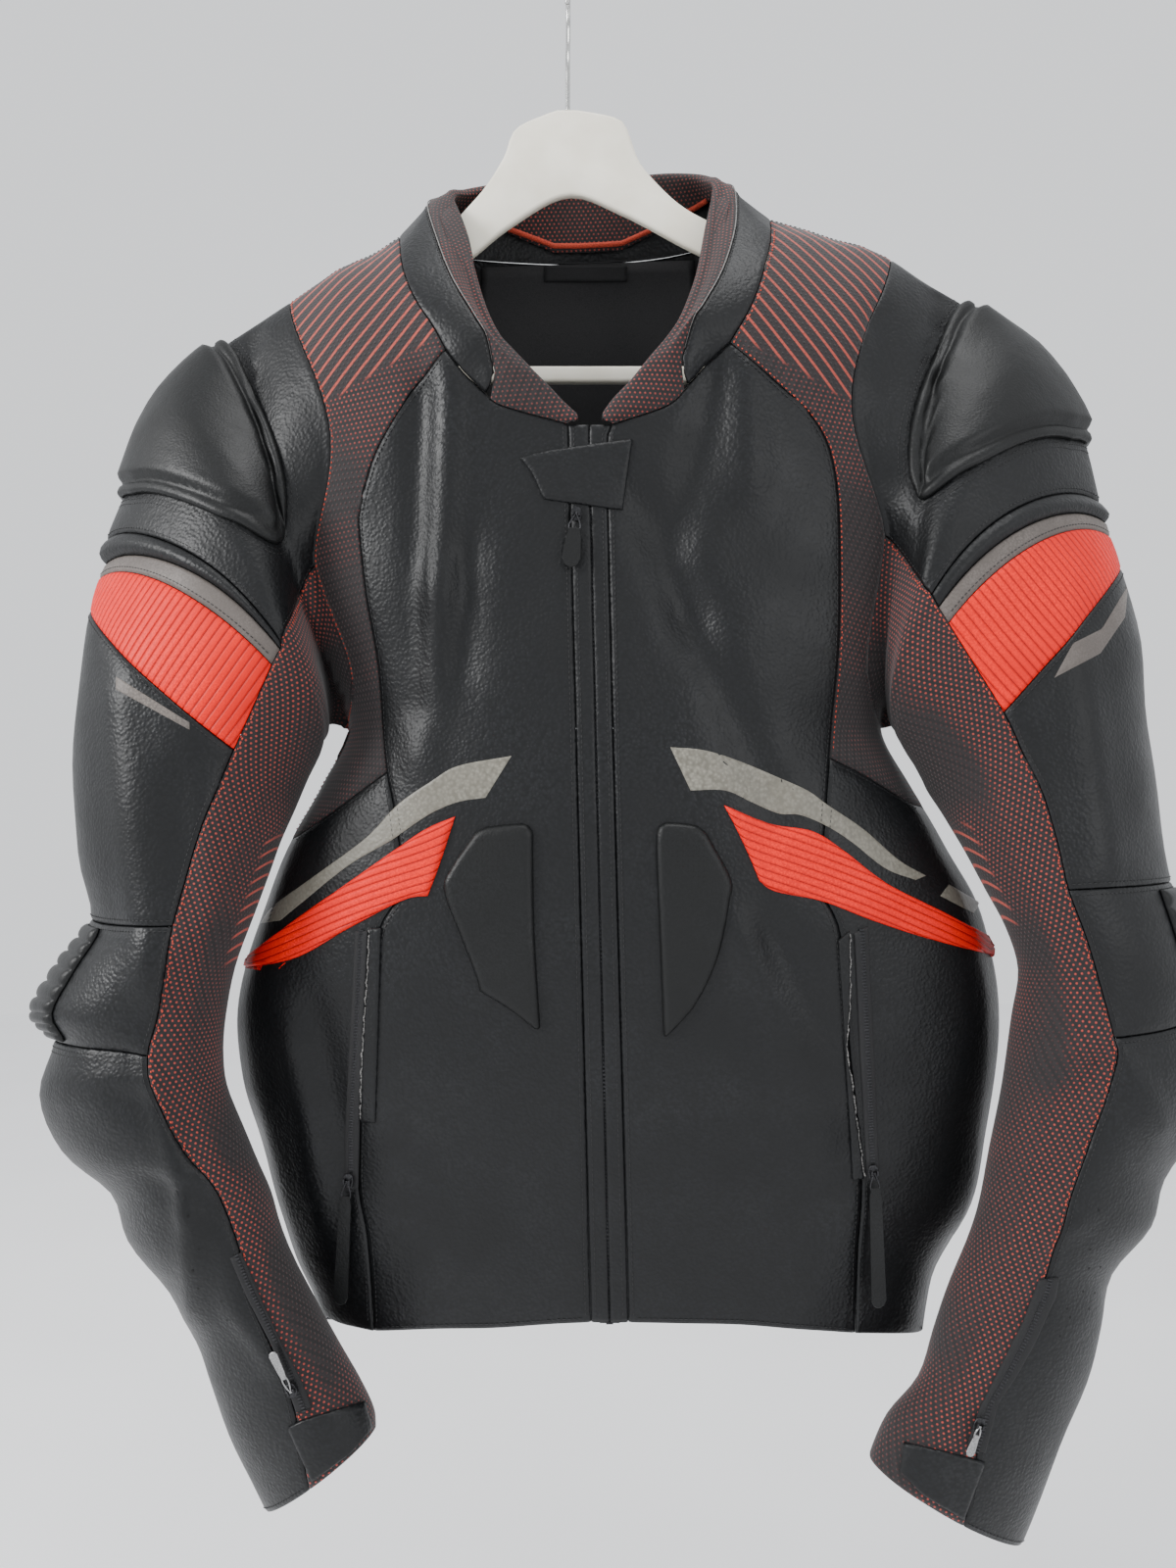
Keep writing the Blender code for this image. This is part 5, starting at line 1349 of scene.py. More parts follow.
def half_ring() -> tuple[float, ...]:
    """Turns from the outer line to the inner line of a sleeve."""
    near, far = LEATHER_STEPS * FINE, KNIT_STEPS * FINE
    return tuple(0.5 * k / near for k in range(near + 1)) + tuple(
        0.5 + 0.5 * k / far for k in range(1, far + 1))


@dataclass
class Arm:
    """One sleeve: its leather pieces from cap to cuff and its knit inside."""

    shop: Workshop
    form: SleeveForm
    leather: float = LEATHER
    knit: float = KNIT
    gap: float = 0.5
    roll: float = 0.9
    ridge: float = 3.5

    def sew(self) -> None:
        """Add the sleeve's skins to the cloth."""
        half = half_ring()
        near = half[:LEATHER_STEPS * FINE + 1]
        far = half[LEATHER_STEPS * FINE:]
        leather = [-k for k in near[::-1]] + list(near[1:])
        knit = list(far) + [2 - k for k in far[-2::-1]]
        for name, first, last in SLEEVE_PIECES:
            rings = np.linspace(first, last, (last - first) * FINE + 1)
            self.shop.cloth.add(f"{name}_{self.form.side.value}", self.form.grid(rings, leather))
        rings = np.linspace(0, 24, 24 * FINE + 1)
        self.shop.cloth.add(f"sleeve_knit_{self.form.side.value}", self.form.grid(rings, knit))

    def build(self) -> None:
        """Make the sleeve's panels."""
        shop, tag = self.shop, self.form.side.value
        looks = {"shoulder_trim": ("grey", Slot.GREY), "red_band": ("red", Slot.RED)}
        for name, _, _ in SLEEVE_PIECES:
            finish, slot = looks.get(name, ("leather", Slot.LEATHER))
            self._panel(f"{name}_{tag}", finish, self.leather, slot)
        self._panel(f"sleeve_knit_{tag}", "knit", self.knit, Slot.KNIT)

    def _panel(self, name: str, finish: str, thick: float, slot: Slot) -> None:
        """Make and keep one cloth panel, and note its flat size."""
        shop, raise_by = self.shop, None
        if name.startswith("ridge"):
            rows, cols = shop.cloth.skins[name].shape[:2]
            crest = np.sin(np.linspace(0, math.pi, rows))[:, None]
            raise_by = self.ridge * crest * np.sin(np.linspace(0, math.pi, cols)) ** 0.3
        walls = shop.cloth.wall(name, thick, self.gap, self.roll, raise_by)
        piece = wall_object(f"{name}_panel", *walls, shop.finish[finish])
        shop.keep(piece, slot, *(() if name.startswith("ridge") else (name,)))
        shop.sheet(piece, walls[0], (f"yoke_front_{self.form.side.value}",))


@dataclass
class Collar:
    """The collar's leather band, its padded knit top, the lining and the hanging loop."""

    shop: Workshop
    neck: np.ndarray
    padding: float = COLLAR_PADDING
    trim_width: float = 4.0
    trim_span: tuple[float, float] = (0.36, 0.64)
    band_bow: float = 2.5
    crest: float = 2.5
    inner_drop: float = 1.5
    roll_bow: float = 2.0
    roll_steps: int = 30
    cut_radius: float = 0.5
    # The lining's corners: top left, top right, low left and low right.
    lining: tuple[tuple[float, float], ...] = ((-58, -199), (88, -194), (-72, -400), (100, -400))
    loop_ends: tuple[float, float] = (-15, 42)
    loop_heights: tuple[float, float] = (-197.5, -208.5)

    def sew(self) -> None:
        """Add the collar's skins to the cloth."""
        n, neck = FINE, self.neck
        leather_top = curve(COLLAR_LEATHER_TOP, (len(COLLAR_LEATHER_TOP) - 1) * n)
        knit_top = np.array(COLLAR_KNIT_TOP, dtype=float)
        keys = np.arange(len(knit_top))
        at = np.linspace(0, len(knit_top) - 1, (len(knit_top) - 1) * n + 1)
        knit_top = hermite(np.column_stack([keys, knit_top]), at)
        leather_top = hermite(
            np.column_stack([np.arange(len(COLLAR_LEATHER_TOP)), np.array(COLLAR_LEATHER_TOP, float)]),
            np.linspace(0, len(COLLAR_LEATHER_TOP) - 1, len(leather_top)))
        first = COLLAR_LEATHER_START * n
        base = neck[first:first + len(leather_top)]
        share = np.linspace(0, 1, 9)[:, None, None]
        band = leather_top * (1 - share) + base * share
        band[..., 2] -= self.band_bow * np.sin(np.pi * share[..., 0])
        self.shop.cloth.add("collar_leather", band[:, ::-1])
        outer = neck.copy()
        outer[first:first + len(leather_top)] = leather_top
        inward = np.array(NECK_AXIS) - knit_top[:, [0, 2]]
        inward /= np.linalg.norm(inward, axis=1, keepdims=True)
        pad = np.column_stack([inward[:, 0], np.zeros(len(knit_top)), inward[:, 1]]) * self.padding
        down = np.interp(at, *zip(*COLLAR_TURN_DOWN))[:, None]
        inner_top = knit_top + pad
        inner_top[:, 1] -= self.inner_drop
        crest = knit_top + pad / 2
        crest[:, 1] += self.crest
        inner_low = knit_top + (neck - knit_top) * down + pad
        rows = np.stack([inner_low, (inner_low + inner_top) / 2, inner_top, crest, knit_top,
                         (knit_top + outer) / 2 + [0, 0, -self.roll_bow], outer])
        count, steps = len(rows), self.roll_steps + 1
        fine = hermite(np.column_stack([np.arange(count), rows.reshape(count, -1)]),
                       np.linspace(0, count - 1, steps))
        self.shop.cloth.add("collar_knit", fine.reshape(steps, -1, 3)[:, ::-1])

    def build(self) -> None:
        """Make the collar's pieces, the lining inside it and the loop."""
        shop = self.shop
        walls = shop.cloth.wall("collar_leather", LEATHER, 0.6, 1.0)
        band = wall_object("collar_band", *walls, shop.finish["leather"])
        shop.keep(band, Slot.LEATHER, "collar_leather")
        shop.sheet(band, walls[0], ("collar_knit",))
        walls = shop.cloth.wall("collar_knit", KNIT, 0.6, 0.6)
        roll = wall_object("collar_roll", *walls, shop.finish["collar"])
        shop.keep(roll, Slot.KNIT, "collar_knit")
        shop.sheet(roll, walls[0], ("collar_leather",))
        self._edges()
        self._lining()

    def _edges(self) -> None:
        """The leather's pale cut edge and the red trim low on the back's inner face."""
        shop = self.shop
        band, roll = (shop.cloth.skins[name] for name in ("collar_leather", "collar_knit"))
        normal = shop.cloth.normals("collar_leather")
        path = band[0, 1:-1] + normal[0, 1:-1] * 0.2
        points, faces = Fastenings.tube(path, self.cut_radius)
        piece = mesh_object("collar_cut_edge", np.array(points), faces, shop.finish["fray"])
        shop.keep(piece, Slot.LEATHER)
        low, wide = roll[1], roll.shape[1]
        first, last = (int(wide * part) for part in self.trim_span)
        path = low[first:last]
        points, faces = Fastenings.tube(path, self.trim_width / 2)
        piece = mesh_object("collar_red_trim", np.array(points), faces, shop.finish["trim"])
        shop.keep(piece, Slot.KNIT)

    def _lining(self) -> None:
        """The cloth inside the back of the neck and its hanging loop."""
        shop = self.shop
        corners = [np.array(corner, float) for corner in self.lining]
        left, right = np.linspace(corners[0], corners[2], 25), np.linspace(corners[1], corners[3], 25)
        share = np.linspace(0, 1, 33)[None, :, None]
        seen = left[:, None] * (1 - share) + right[:, None] * share
        depth = trunk_depth(seen, front=False) - LEATHER - LINING_GAP
        wave = 0.5 * np.sin(seen[..., 0] / 9.0) * np.cos(seen[..., 1] / 31.0)
        outer = place(np.concatenate([seen, (depth + wave)[..., None]], axis=-1))[:, ::-1]
        cloth = wall_object("neck_lining_cloth", outer, outer - [0, LINING, 0], shop.finish["lining"])
        shop.keep(cloth, Slot.LINING, "neck_lining")
        shop.sheet(cloth, outer, ("back_yoke",))
        ends, levels = np.linspace(*self.loop_ends, 20), np.linspace(*self.loop_heights, 7)
        spots = np.array([[(x, z) for x in ends] for z in levels])
        depth = trunk_depth(spots, front=False) - LEATHER - LINING_GAP - LINING - LOOP_GAP
        outer = place(np.concatenate([spots, depth[..., None]], axis=-1))[:, ::-1]
        loop = wall_object("hanging_loop", outer, outer - [0, LINING, 0], shop.finish["tape"])
        shop.keep(loop, Slot.LINING, "hang_loop")
        shop.sheet(loop, outer, ("neck_lining",))


@dataclass
class FrontTrim:
    """What is laid on the fronts: ribbed bands, chest pads, printed stripes and a tab."""

    shop: Workshop
    silver_thick: float = 0.25
    fronts: tuple[str, ...] = ("front_right", "placket_right", "placket_left", "front_left")

    def build(self) -> None:
        """Make every laid piece of the fronts."""
        shop = self.shop
        for tag, pad, corners in (("right", PAD_RIGHT, (0, 3, 5, 8)), ("left", PAD_LEFT, (0, 3, 8, 10))):
            piece, _ = shop.patch(f"chest_pad_{tag}_cover", pad, corners, (f"front_{tag}",), "smooth",
                                  PAD_THICK + LIFT, rim=5.0, sizes=(48, 28))
            shop.keep(piece, Slot.LEATHER, f"chest_pad_{tag}")
        bands = (("right", BAND_RIGHT, (5, 0, 10, 6)), ("left", BAND_LEFT, (0, 6, 7, 12)))
        for tag, band, corners in bands:
            panels = (f"front_{tag}", f"side_{tag}")
            piece, base = shop.patch(f"front_band_{tag}_ribbed", band, corners, panels, "red_fine",
                                     BAND_THICK + LIFT, rim=2.0, sizes=(14, 60))
            shop.keep(piece, Slot.RED, f"front_band_{tag}")
            shop.sheet(piece, base, panels)
        piece, base = shop.patch("throat_tab_leather", THROAT_TAB, (0, 3, 4, 6), self.fronts, "leather",
                                 TAB_THICK + LIFT, rim=1.5, sizes=(16, 30))
        shop.keep(piece, Slot.LEATHER, "throat_tab")
        shop.sheet(piece, base, ("placket_right",))
        for tag, stripe, corners in (("right", SILVER_RIGHT, (0, 7, 8, 15)),
                                     ("left", SILVER_LEFT, (0, 8, 9, 17))):
            piece, base = shop.patch(f"chest_stripe_{tag}", stripe, corners, (f"front_{tag}", f"side_{tag}"),
                                     "silver", self.silver_thick, rim=0.5, sizes=(10, 50))
            shop.keep(piece, Slot.LEATHER)
            shop.sheet(piece, base, (f"front_{tag}",))
        piece, base = shop.patch("chest_stripe_tail", SILVER_TAIL, (1, 2, 3, 0), ("side_left",),
                                 "silver", self.silver_thick, rim=0.5, sizes=(6, 12))
        shop.keep(piece, Slot.LEATHER)
        shop.sheet(piece, base, ("side_left",))


@dataclass
class Pockets:
    """The two slanted pocket zips with their teeth and their raw-cut flaps."""

    shop: Workshop

    def build(self) -> list[np.ndarray]:
        """Make tapes and flaps.

        Returns:
            The lines that the teeth follow.
        """
        lines = []
        shapes = (
            ("right", POCKET_ZIP_RIGHT, (0, 5, 3, 2), POCKET_FLAP_RIGHT, (0, 5, 4, 3)),
            ("left", POCKET_ZIP_LEFT, (0, 1, 2, 3), POCKET_FLAP_LEFT, (0, 1, 5, 6)),
        )
        for tag, zip_line, zip_corners, flap, flap_corners in shapes:
            panels = (f"front_{tag}", f"side_{tag}")
            piece, base = self.shop.patch(f"pocket_zip_{tag}_tape", zip_line, zip_corners, panels,
                                          "tape", ZIP_THICK + LIFT - 1.0, rim=1.0, sizes=(60, 8),
                                          smooth=False)
            self.shop.keep(piece, Slot.METAL, f"pocket_zip_{tag}")
            self.shop.sheet(piece, base, panels)
            lines.append((base + grid_normals(base) * (ZIP_THICK + LIFT - 1.0))[:, base.shape[1] // 2])
            piece, base = self.shop.patch(f"pocket_flap_{tag}_edge", flap, flap_corners, panels,
                                          "leather", FLAP_THICK + LIFT, rim=1.2, sizes=(60, 8))
            self.shop.keep(piece, Slot.LEATHER, f"pocket_flap_{tag}")
            self.shop.sheet(piece, base, panels)
            self._fray(tag, base)
        return lines

    def _fray(self, tag: str, base: np.ndarray) -> None:
        """The pale raw cut of a flap, as small tufts along its edge."""
        tufts = Repeat("bead", (1.1, 0.7, 0.6), spacing_mm=0.9, jitter=0.7)
        edge = base[2:-2, 0 if tag == "right" else -1]
        normal = grid_normals(base)[2:-2, 0]
        sway = 0.7 * np.sin(np.arange(len(edge)) * 1.7) * np.sin(np.arange(len(edge)) * 0.6 + 1)
        edge = edge + normal * (FLAP_THICK * 0.8) + np.outer(sway, [1.0, 0.0, 0.0])
        piece = tufts.make(f"pocket_flap_{tag}_raw_cut", [(edge, normal)], self.shop.finish["fray"])
        self.shop.keep(piece, Slot.LEATHER)


@dataclass
class SleeveTrim:
    """What is laid on one sleeve: protector, elbow ribs, cuff zip and cuff tab."""

    shop: Workshop
    form: SleeveForm
    rim_height: float = 3.0
    rim_reach: float = 3.0
    groove_place: float = 8.0
    groove_depth: float = 1.6
    groove_width: float = 1.3
    dome: float = 6.5
    dome_start: float = 9.0
    dome_slope: float = 4.0
    dome_reach: float = 45.0
    first_ring: float = 1.6
    last_ring: float = 4.2
    steps: tuple[int, int] = (57, 49)
    stitch_rows: tuple[float, float] = (3.0, 6.5)
    rib_rim: float = 5.0
    sink: float = 0.8

    def spot(self, panel: str, ring: float, turn: float, first: int) -> tuple[np.ndarray, np.ndarray]:
        """A point and normal of a leather panel at a ring and a turn."""
        name = f"{panel}_{self.form.side.value}"
        skin, normal = self.shop.cloth.skins[name], self.normal[name]
        row = np.clip((ring - first) * FINE, 0, skin.shape[0] - 1.001)
        col = LEATHER_STEPS * FINE * (1 + 2 * turn)
        if self.form.side is Side.LEFT:
            col = 2 * LEATHER_STEPS * FINE - col
        col = np.clip(col, 0, skin.shape[1] - 1.001)
        i, j = int(row), int(col)
        s, t = row - i, col - j
        out = [(g[i, j] * (1 - s) + g[i + 1, j] * s) * (1 - t)
               + (g[i, j + 1] * (1 - s) + g[i + 1, j + 1] * s) * t for g in (skin, normal)]
        return out[0], out[1] / np.linalg.norm(out[1])

    def laid(self, panel: str, first: int, rings: np.ndarray, turns_of: Callable[[float], np.ndarray]
             ) -> tuple[np.ndarray, np.ndarray]:
        """Grids of points and normals over rings and turns of one panel."""
        cells = [[self.spot(panel, ring, turn, first) for turn in turns_of(ring)] for ring in rings]
        points = np.array([[c[0] for c in row] for row in cells])
        normals = np.array([[c[1] for c in row] for row in cells])
        if self.form.side is Side.LEFT:
            points, normals = points[:, ::-1], normals[:, ::-1]
        return points, normals

    def build(self) -> list[np.ndarray]:
        """Make the sleeve's laid pieces.

        Returns:
            The line that the cuff zip's teeth follow.
        """
        tag, shop = self.form.side.value, self.shop
        right = self.form.side is Side.RIGHT
        stripe, corners = (
            (ARM_STRIPE_RIGHT, (0, 1, 2, 3)) if right else (ARM_STRIPE_LEFT, (2, 0, 5, 3)))
        piece, base = shop.patch(f"arm_stripe_{tag}", stripe, corners, (f"upper_{tag}",), "grey",
                                 0.25, rim=0.5, sizes=(6, 24), smooth=False)
        shop.keep(piece, Slot.GREY)
        shop.sheet(piece, base, (f"upper_{tag}",))
        self.normal = {f"{p}_{tag}": shop.cloth.normals(f"{p}_{tag}") for p in ("cap", "elbow")}
        self._protector(tag)
        self._elbow(tag)
        panels = (f"forearm_{tag}", f"sleeve_knit_{tag}")
        tab, corners = (CUFF_TAB_RIGHT, (0, 1, 3, 4)) if right else (CUFF_TAB_LEFT, (0, 2, 3, 5))
        piece, base = shop.patch(f"cuff_tab_{tag}_leather", tab, corners, panels, "leather",
                                 TAB_THICK + LIFT, rim=1.2, sizes=(16, 24), smooth=False)
        shop.keep(piece, Slot.LEATHER, f"cuff_tab_{tag}")
        shop.sheet(piece, base, panels)
        tape, corners = (CUFF_ZIP_RIGHT, (0, 8, 4, 3)) if right else (CUFF_ZIP_LEFT, (0, 10, 5, 4))
        piece, base = shop.patch(f"cuff_zip_{tag}_tape", tape, corners, panels, "tape",
                                 ZIP_THICK + LIFT - self.sink, rim=1.0, sizes=(40, 8), smooth=False)
        shop.keep(piece, Slot.METAL, f"cuff_zip_{tag}")
        shop.sheet(piece, base, panels)
        line = base + grid_normals(base) * (ZIP_THICK + LIFT - self.sink)
        return [line[:, line.shape[1] // 2]]

    def _protector(self, tag: str) -> None:
        """The moulded plate on the cap: a rim, a groove and a low dome."""
        reach = np.array(PROTECTOR, dtype=float)
        down, across = self.steps
        swing = 0.5 - 0.5 * np.cos(np.linspace(0, math.pi, down))
        rings = self.first_ring + (self.last_ring - self.first_ring) * swing
        sweep = np.sin(np.linspace(-math.pi / 2, math.pi / 2, across))
        points, normals = self.laid(
            "cap", 0, rings, lambda ring: hermite(reach, np.array(ring))[0] * sweep)
        away = edge_distance(points)
        rim = self.rim_height * round_edge(away, self.rim_reach)
        part = np.clip((away - self.dome_start) / self.dome_slope, 0, 1)
        off = (away - self.groove_place) / self.groove_width
        groove = self.groove_depth * np.exp(-(off ** 2))
        inner = 0.55 + 0.45 * np.clip(away / self.dome_reach, 0, 1)
        dome = self.dome * (part * part * (3 - 2 * part)) * inner
        high = PROTECTOR_LIFT + rim - groove + dome
        piece = wall_object(f"shoulder_protector_{tag}_shell", points + normals * high[..., None],
                            points + normals * 0.3, self.shop.finish["smooth"])
        self.shop.keep(piece, Slot.LEATHER, f"shoulder_protector_{tag}")
        rim = np.concatenate([points[0], points[1:, -1], points[-1, -2::-1], points[-2::-1, 0]])
        Stitching(self.shop).around(f"protector_stitching_{tag}", [rim], (f"cap_{tag}",),
                                    self.stitch_rows)

    def _elbow(self, tag: str) -> None:
        """The ribbed stretch panel on the elbow."""
        marks = np.linspace(0, 1, 8 * ELBOW_RIBS + 1)
        rings = np.interp(marks * 3, range(4), ELBOW_RIB_RINGS)
        turns = np.linspace(ELBOW_RIB_TURNS[0], ELBOW_RIB_TURNS[-1], 31)
        points, normals = self.laid("elbow", 12, rings, lambda ring: turns)
        crest = np.abs(np.sin(marks * math.pi * ELBOW_RIBS)) ** 0.6
        side = round_edge(edge_distance(points), self.rib_rim)
        high = RIB_LIFT + 0.6 + ELBOW_RIB_RISE * crest[:, None] * side + 0.4 * side
        piece = wall_object(f"elbow_ribs_{tag}_leather", points + normals * high[..., None],
                            points + normals * 0.1, self.shop.finish["smooth"])
        self.shop.keep(piece, Slot.LEATHER, f"elbow_ribs_{tag}")
        self.shop.sheet(piece, points + normals * high[..., None], (f"elbow_{tag}",))


@dataclass(frozen=True)
class Repeat:
    """A small mesh repeated along lines or on points by Geometry Nodes.

    The group's inputs are named, and each is set by its socket identifier.
    """

    shape: str
    size: tuple[float, float, float]
    spacing_mm: float = 0.0
    jitter: float = 0.0
    seed: int = 7

    def group(self) -> Tree:
        """The node group: points, instances turned to them, realised, with a material."""
        tree = bpy.data.node_groups.new(f"repeat_{self.shape}", "GeometryNodeTree")
        sockets = (("Geometry", "Geometry"), ("Spacing", "Float"), ("Size", "Vector"),
                   ("Jitter", "Float"), ("Seed", "Int"), ("Material", "Material"))
        for title, kind in sockets:
            tree.interface.new_socket(title, in_out="INPUT", socket_type=f"NodeSocket{kind}")
        tree.interface.new_socket("Geometry", in_out="OUTPUT", socket_type="NodeSocketGeometry")
        given = node(tree, "NodeGroupInput").outputs
        facing, along = (
            node(tree, "GeometryNodeInputNamedAttribute", {"Name": title},
                 data_type="FLOAT_VECTOR").outputs[0] for title in ("facing", "along"))
        if self.spacing_mm:
            line = node(tree, "GeometryNodeMeshToCurve", {0: given["Geometry"]}).outputs[0]
            points = node(tree, "GeometryNodeCurveToPoints", {
                "Curve": line, "Length": given["Spacing"]}, mode="LENGTH")
            along, points = points.outputs["Tangent"], points.outputs["Points"]
        else:
            points = node(tree, "GeometryNodeMeshToPoints", {"Mesh": given["Geometry"]}).outputs[0]
        upward = node(tree, "FunctionNodeAlignRotationToVector", {"Vector": facing}, axis="Z")
        turned = node(tree, "FunctionNodeAlignRotationToVector", {
            "Rotation": upward.outputs[0], "Vector": along}, axis="X", pivot_axis="Z")
        spread_out = node(tree, "FunctionNodeRandomValue", {
            "Seed": given["Seed"]}, data_type="FLOAT")
        low = node(tree, "ShaderNodeMath", {0: 1.0, 1: given["Jitter"]}, operation="SUBTRACT")
        tree.links.new(low.outputs[0], spread_out.inputs[2])
        spread_out.inputs[3].default_value = 1.0
        scaled = node(tree, "ShaderNodeVectorMath", {0: given["Size"], 3: spread_out.outputs[1]},
                      operation="SCALE")
        kinds = {
            "bead": ("GeometryNodeMeshIcoSphere", {"Radius": 1.0, "Subdivisions": 2}),
            "block": ("GeometryNodeMeshCube", {}),
            "disc": ("GeometryNodeMeshCircle", {"Vertices": 10, "Radius": 1.0}),
        }
        kind, values = kinds[self.shape]
        unit = node(tree, kind, values)
        if self.shape == "disc":
            unit.fill_type = "NGON"
        copies = node(tree, "GeometryNodeInstanceOnPoints", {
            "Points": points, "Instance": unit.outputs[0], "Rotation": turned.outputs[0],
            "Scale": scaled.outputs[0]})
        real = node(tree, "GeometryNodeRealizeInstances", {0: copies.outputs[0]})
        painted = node(tree, "GeometryNodeSetMaterial", {
            "Geometry": real.outputs[0], "Material": given["Material"]})
        node(tree, "NodeGroupOutput", {0: painted.outputs[0]})
        return tree

    def make(self, name: str, lines: Sequence[tuple[np.ndarray, np.ndarray]],
             finish: Material) -> Piece:
        """The repeated shape as a plain mesh.

        Args:
            name: The piece's name.
            lines: Runs of places in millimetres, each with its outward directions.
            finish: The material.

        Returns:
            The new object, with no modifier left on it.
        """
        places = np.concatenate([line[0] for line in lines]) / METRE
        facing = np.concatenate([line[1] for line in lines])
        along = np.concatenate([np.gradient(line[0], axis=0) for line in lines])
        mesh = bpy.data.meshes.new(f"{name}_lines")
        links, start = [], 0
        for line, _ in lines:
            links += [(k, k + 1) for k in range(start, start + len(line) - 1)]
            start += len(line)
        mesh.from_pydata(places.tolist(), links if self.spacing_mm else [], [])
        for title, values in (("facing", facing), ("along", along)):
            layer = mesh.attributes.new(title, "FLOAT_VECTOR", "POINT")
            layer.data.foreach_set("vector", values.astype(np.float32).ravel())
        carrier = bpy.data.objects.new(name, mesh)
        bpy.context.collection.objects.link(carrier)
        tree = self.group()
        modifier = carrier.modifiers.new("repeat", "NODES")
        modifier.node_group = tree
        wanted = {"Spacing": self.spacing_mm / METRE, "Size": [s / METRE for s in self.size],
                  "Jitter": self.jitter, "Seed": self.seed, "Material": finish}
        for item in tree.interface.items_tree:
            if item.in_out == "INPUT" and item.name in wanted:
                modifier[item.identifier] = wanted[item.name]
        graph = bpy.context.evaluated_depsgraph_get()
        plain = bpy.data.meshes.new_from_object(carrier.evaluated_get(graph), depsgraph=graph)
        carrier.modifiers.clear()
        carrier.data = plain
        if self.shape == "bead":
            plain.shade_smooth()
        return carrier


@dataclass
class Stitching:
    """Topstitching in rows beside the seams, one piece for each zone."""

    shop: Workshop
    inset: float = 3.4
    height: float = 0.12
    beads: Repeat = Repeat("bead", (1.25, 0.32, 0.28), spacing_mm=3.3, jitter=0.08)
    dots: Repeat = Repeat("bead", (0.95, 0.55, 0.4), spacing_mm=3.4, jitter=0.35)
    rows: tuple = (
        ("front_right", "left", 1), ("front_right", "right", 1), ("front_right", "bottom", 1),
        ("front_left", "left", 1), ("front_left", "right", 1), ("front_left", "bottom", 1),
        ("side_right", "right", 1), ("side_right", "top", 1), ("side_left", "left", 1),
        ("side_left", "top", 1), ("placket_right", "left", 1), ("placket_left", "right", 1),
        ("back_body", "top", 2), ("back_body", "bottom", 1), ("back_yoke", "top", 1),
        ("collar_leather", "top", 1),
    )
    sleeve_rows: tuple = (
        ("cap", "bottom", 1), ("cap", "left", 1), ("cap", "right", 1), ("upper", "top", 1),
        ("upper", "bottom", 1), ("upper", "left", 1), ("upper", "right", 1), ("elbow", "left", 1),
        ("elbow", "right", 1), ("elbow", "top", 1), ("forearm", "top", 2), ("forearm", "left", 1),
        ("forearm", "right", 1), ("forearm", "bottom", 1), ("shoulder_trim", "bottom", 1),
    )

    def build(self) -> None:
        """Make the stitches of the trunk and of both sleeves."""
        self._zone("trunk_stitching", self.rows)
        for side in Side:
            rows = [(f"{name}_{side.value}", edge, count) for name, edge, count in self.sleeve_rows]
            self._zone(f"sleeve_stitching_{side.value}", rows)
            rows = [(f"sleeve_knit_{side.value}", "left"), (f"sleeve_knit_{side.value}", "right"),
                    (f"yoke_front_{side.value}", side.value.replace("right", "left"))]
            lines = [self._inset(name, edge, 1.9) for name, edge in rows]
            piece = self.dots.make(f"knit_seam_dots_{side.value}", lines, self.shop.finish["trim"])
            self.shop.keep(piece, Slot.KNIT)

    def around(self, name: str, rims: Sequence[np.ndarray], panels: Sequence[str],
               offsets: Sequence[float]) -> None:
        """Stitch round closed outlines, on the panels beside them.

        Args:
            name: The piece's name.
            rims: Closed runs of places on the panels.
            panels: The panels.
            offsets: How far outside the outline each row lies.
        """
        tree, lines = self.shop.cloth.tree(panels), []
        for rim in rims:
            middle = rim.mean(axis=0)
            for offset in offsets:
                spots, facing = [], []
                for place_at, along in zip(rim, np.gradient(rim, axis=0)):
                    _, normal, _, _ = tree.find_nearest(Vector(place_at))
                    side = np.cross(along, normal)
                    side *= np.sign(side @ (place_at - middle)) / max(np.linalg.norm(side), 1e-6)
                    spot, out, _, _ = tree.find_nearest(Vector(place_at + side * offset))
                    spots.append(np.array(spot) + np.array(out) * self.height)
                    facing.append(np.array(out))
                lines.append((np.array(spots), np.array(facing)))
        self._finish(name, lines)

    def _zone(self, name: str, rows: Sequence[tuple[str, str, int]]) -> None:
        """Rows of stitches beside the edges of some panels."""
        lines = []
        for panel, edge, count in rows:
            for row in range(count):
                lines.append(self._inset(panel, edge, self.inset * (1 + row)))
        self._finish(name, lines)

    def _finish(self, name: str, lines: Sequence[tuple[np.ndarray, np.ndarray]]) -> None:
        """Turn lines of stitches into one piece."""
        piece = self.beads.make(name, lines, self.shop.finish["thread"])
        self.shop.keep(piece, Slot.LINING)

    def _inset(self, panel: str, edge: str, distance: float) -> tuple[np.ndarray, np.ndarray]:
        """A line on a panel at a distance from one edge, with its normals."""
        cloth = self.shop.cloth
        skin, normal = cloth.skins[panel], cloth.normals(panel)
        if edge in ("left", "right"):
            skin, normal = np.swapaxes(skin, 0, 1), np.swapaxes(normal, 0, 1)
        if edge in ("right", "bottom"):
            skin, normal = skin[::-1], normal[::-1]
        run = np.concatenate([np.zeros((1, skin.shape[1])),
                              np.cumsum(np.linalg.norm(np.diff(skin, axis=0), axis=-1), axis=0)])
        spots, facing = [], []
        for k in range(skin.shape[1]):
            spots.append([np.interp(distance, run[:, k], skin[:, k, c]) for c in range(3)])
            facing.append([np.interp(distance, run[:, k], normal[:, k, c]) for c in range(3)])
        spots, facing = np.array(spots), np.array(facing)
        first = np.linalg.norm(spots - spots[0], axis=-1) > 3.0
        last = np.linalg.norm(spots - spots[-1], axis=-1) > 3.0
        keep = first & last
        return spots[keep] + facing[keep] * self.height, facing[keep]


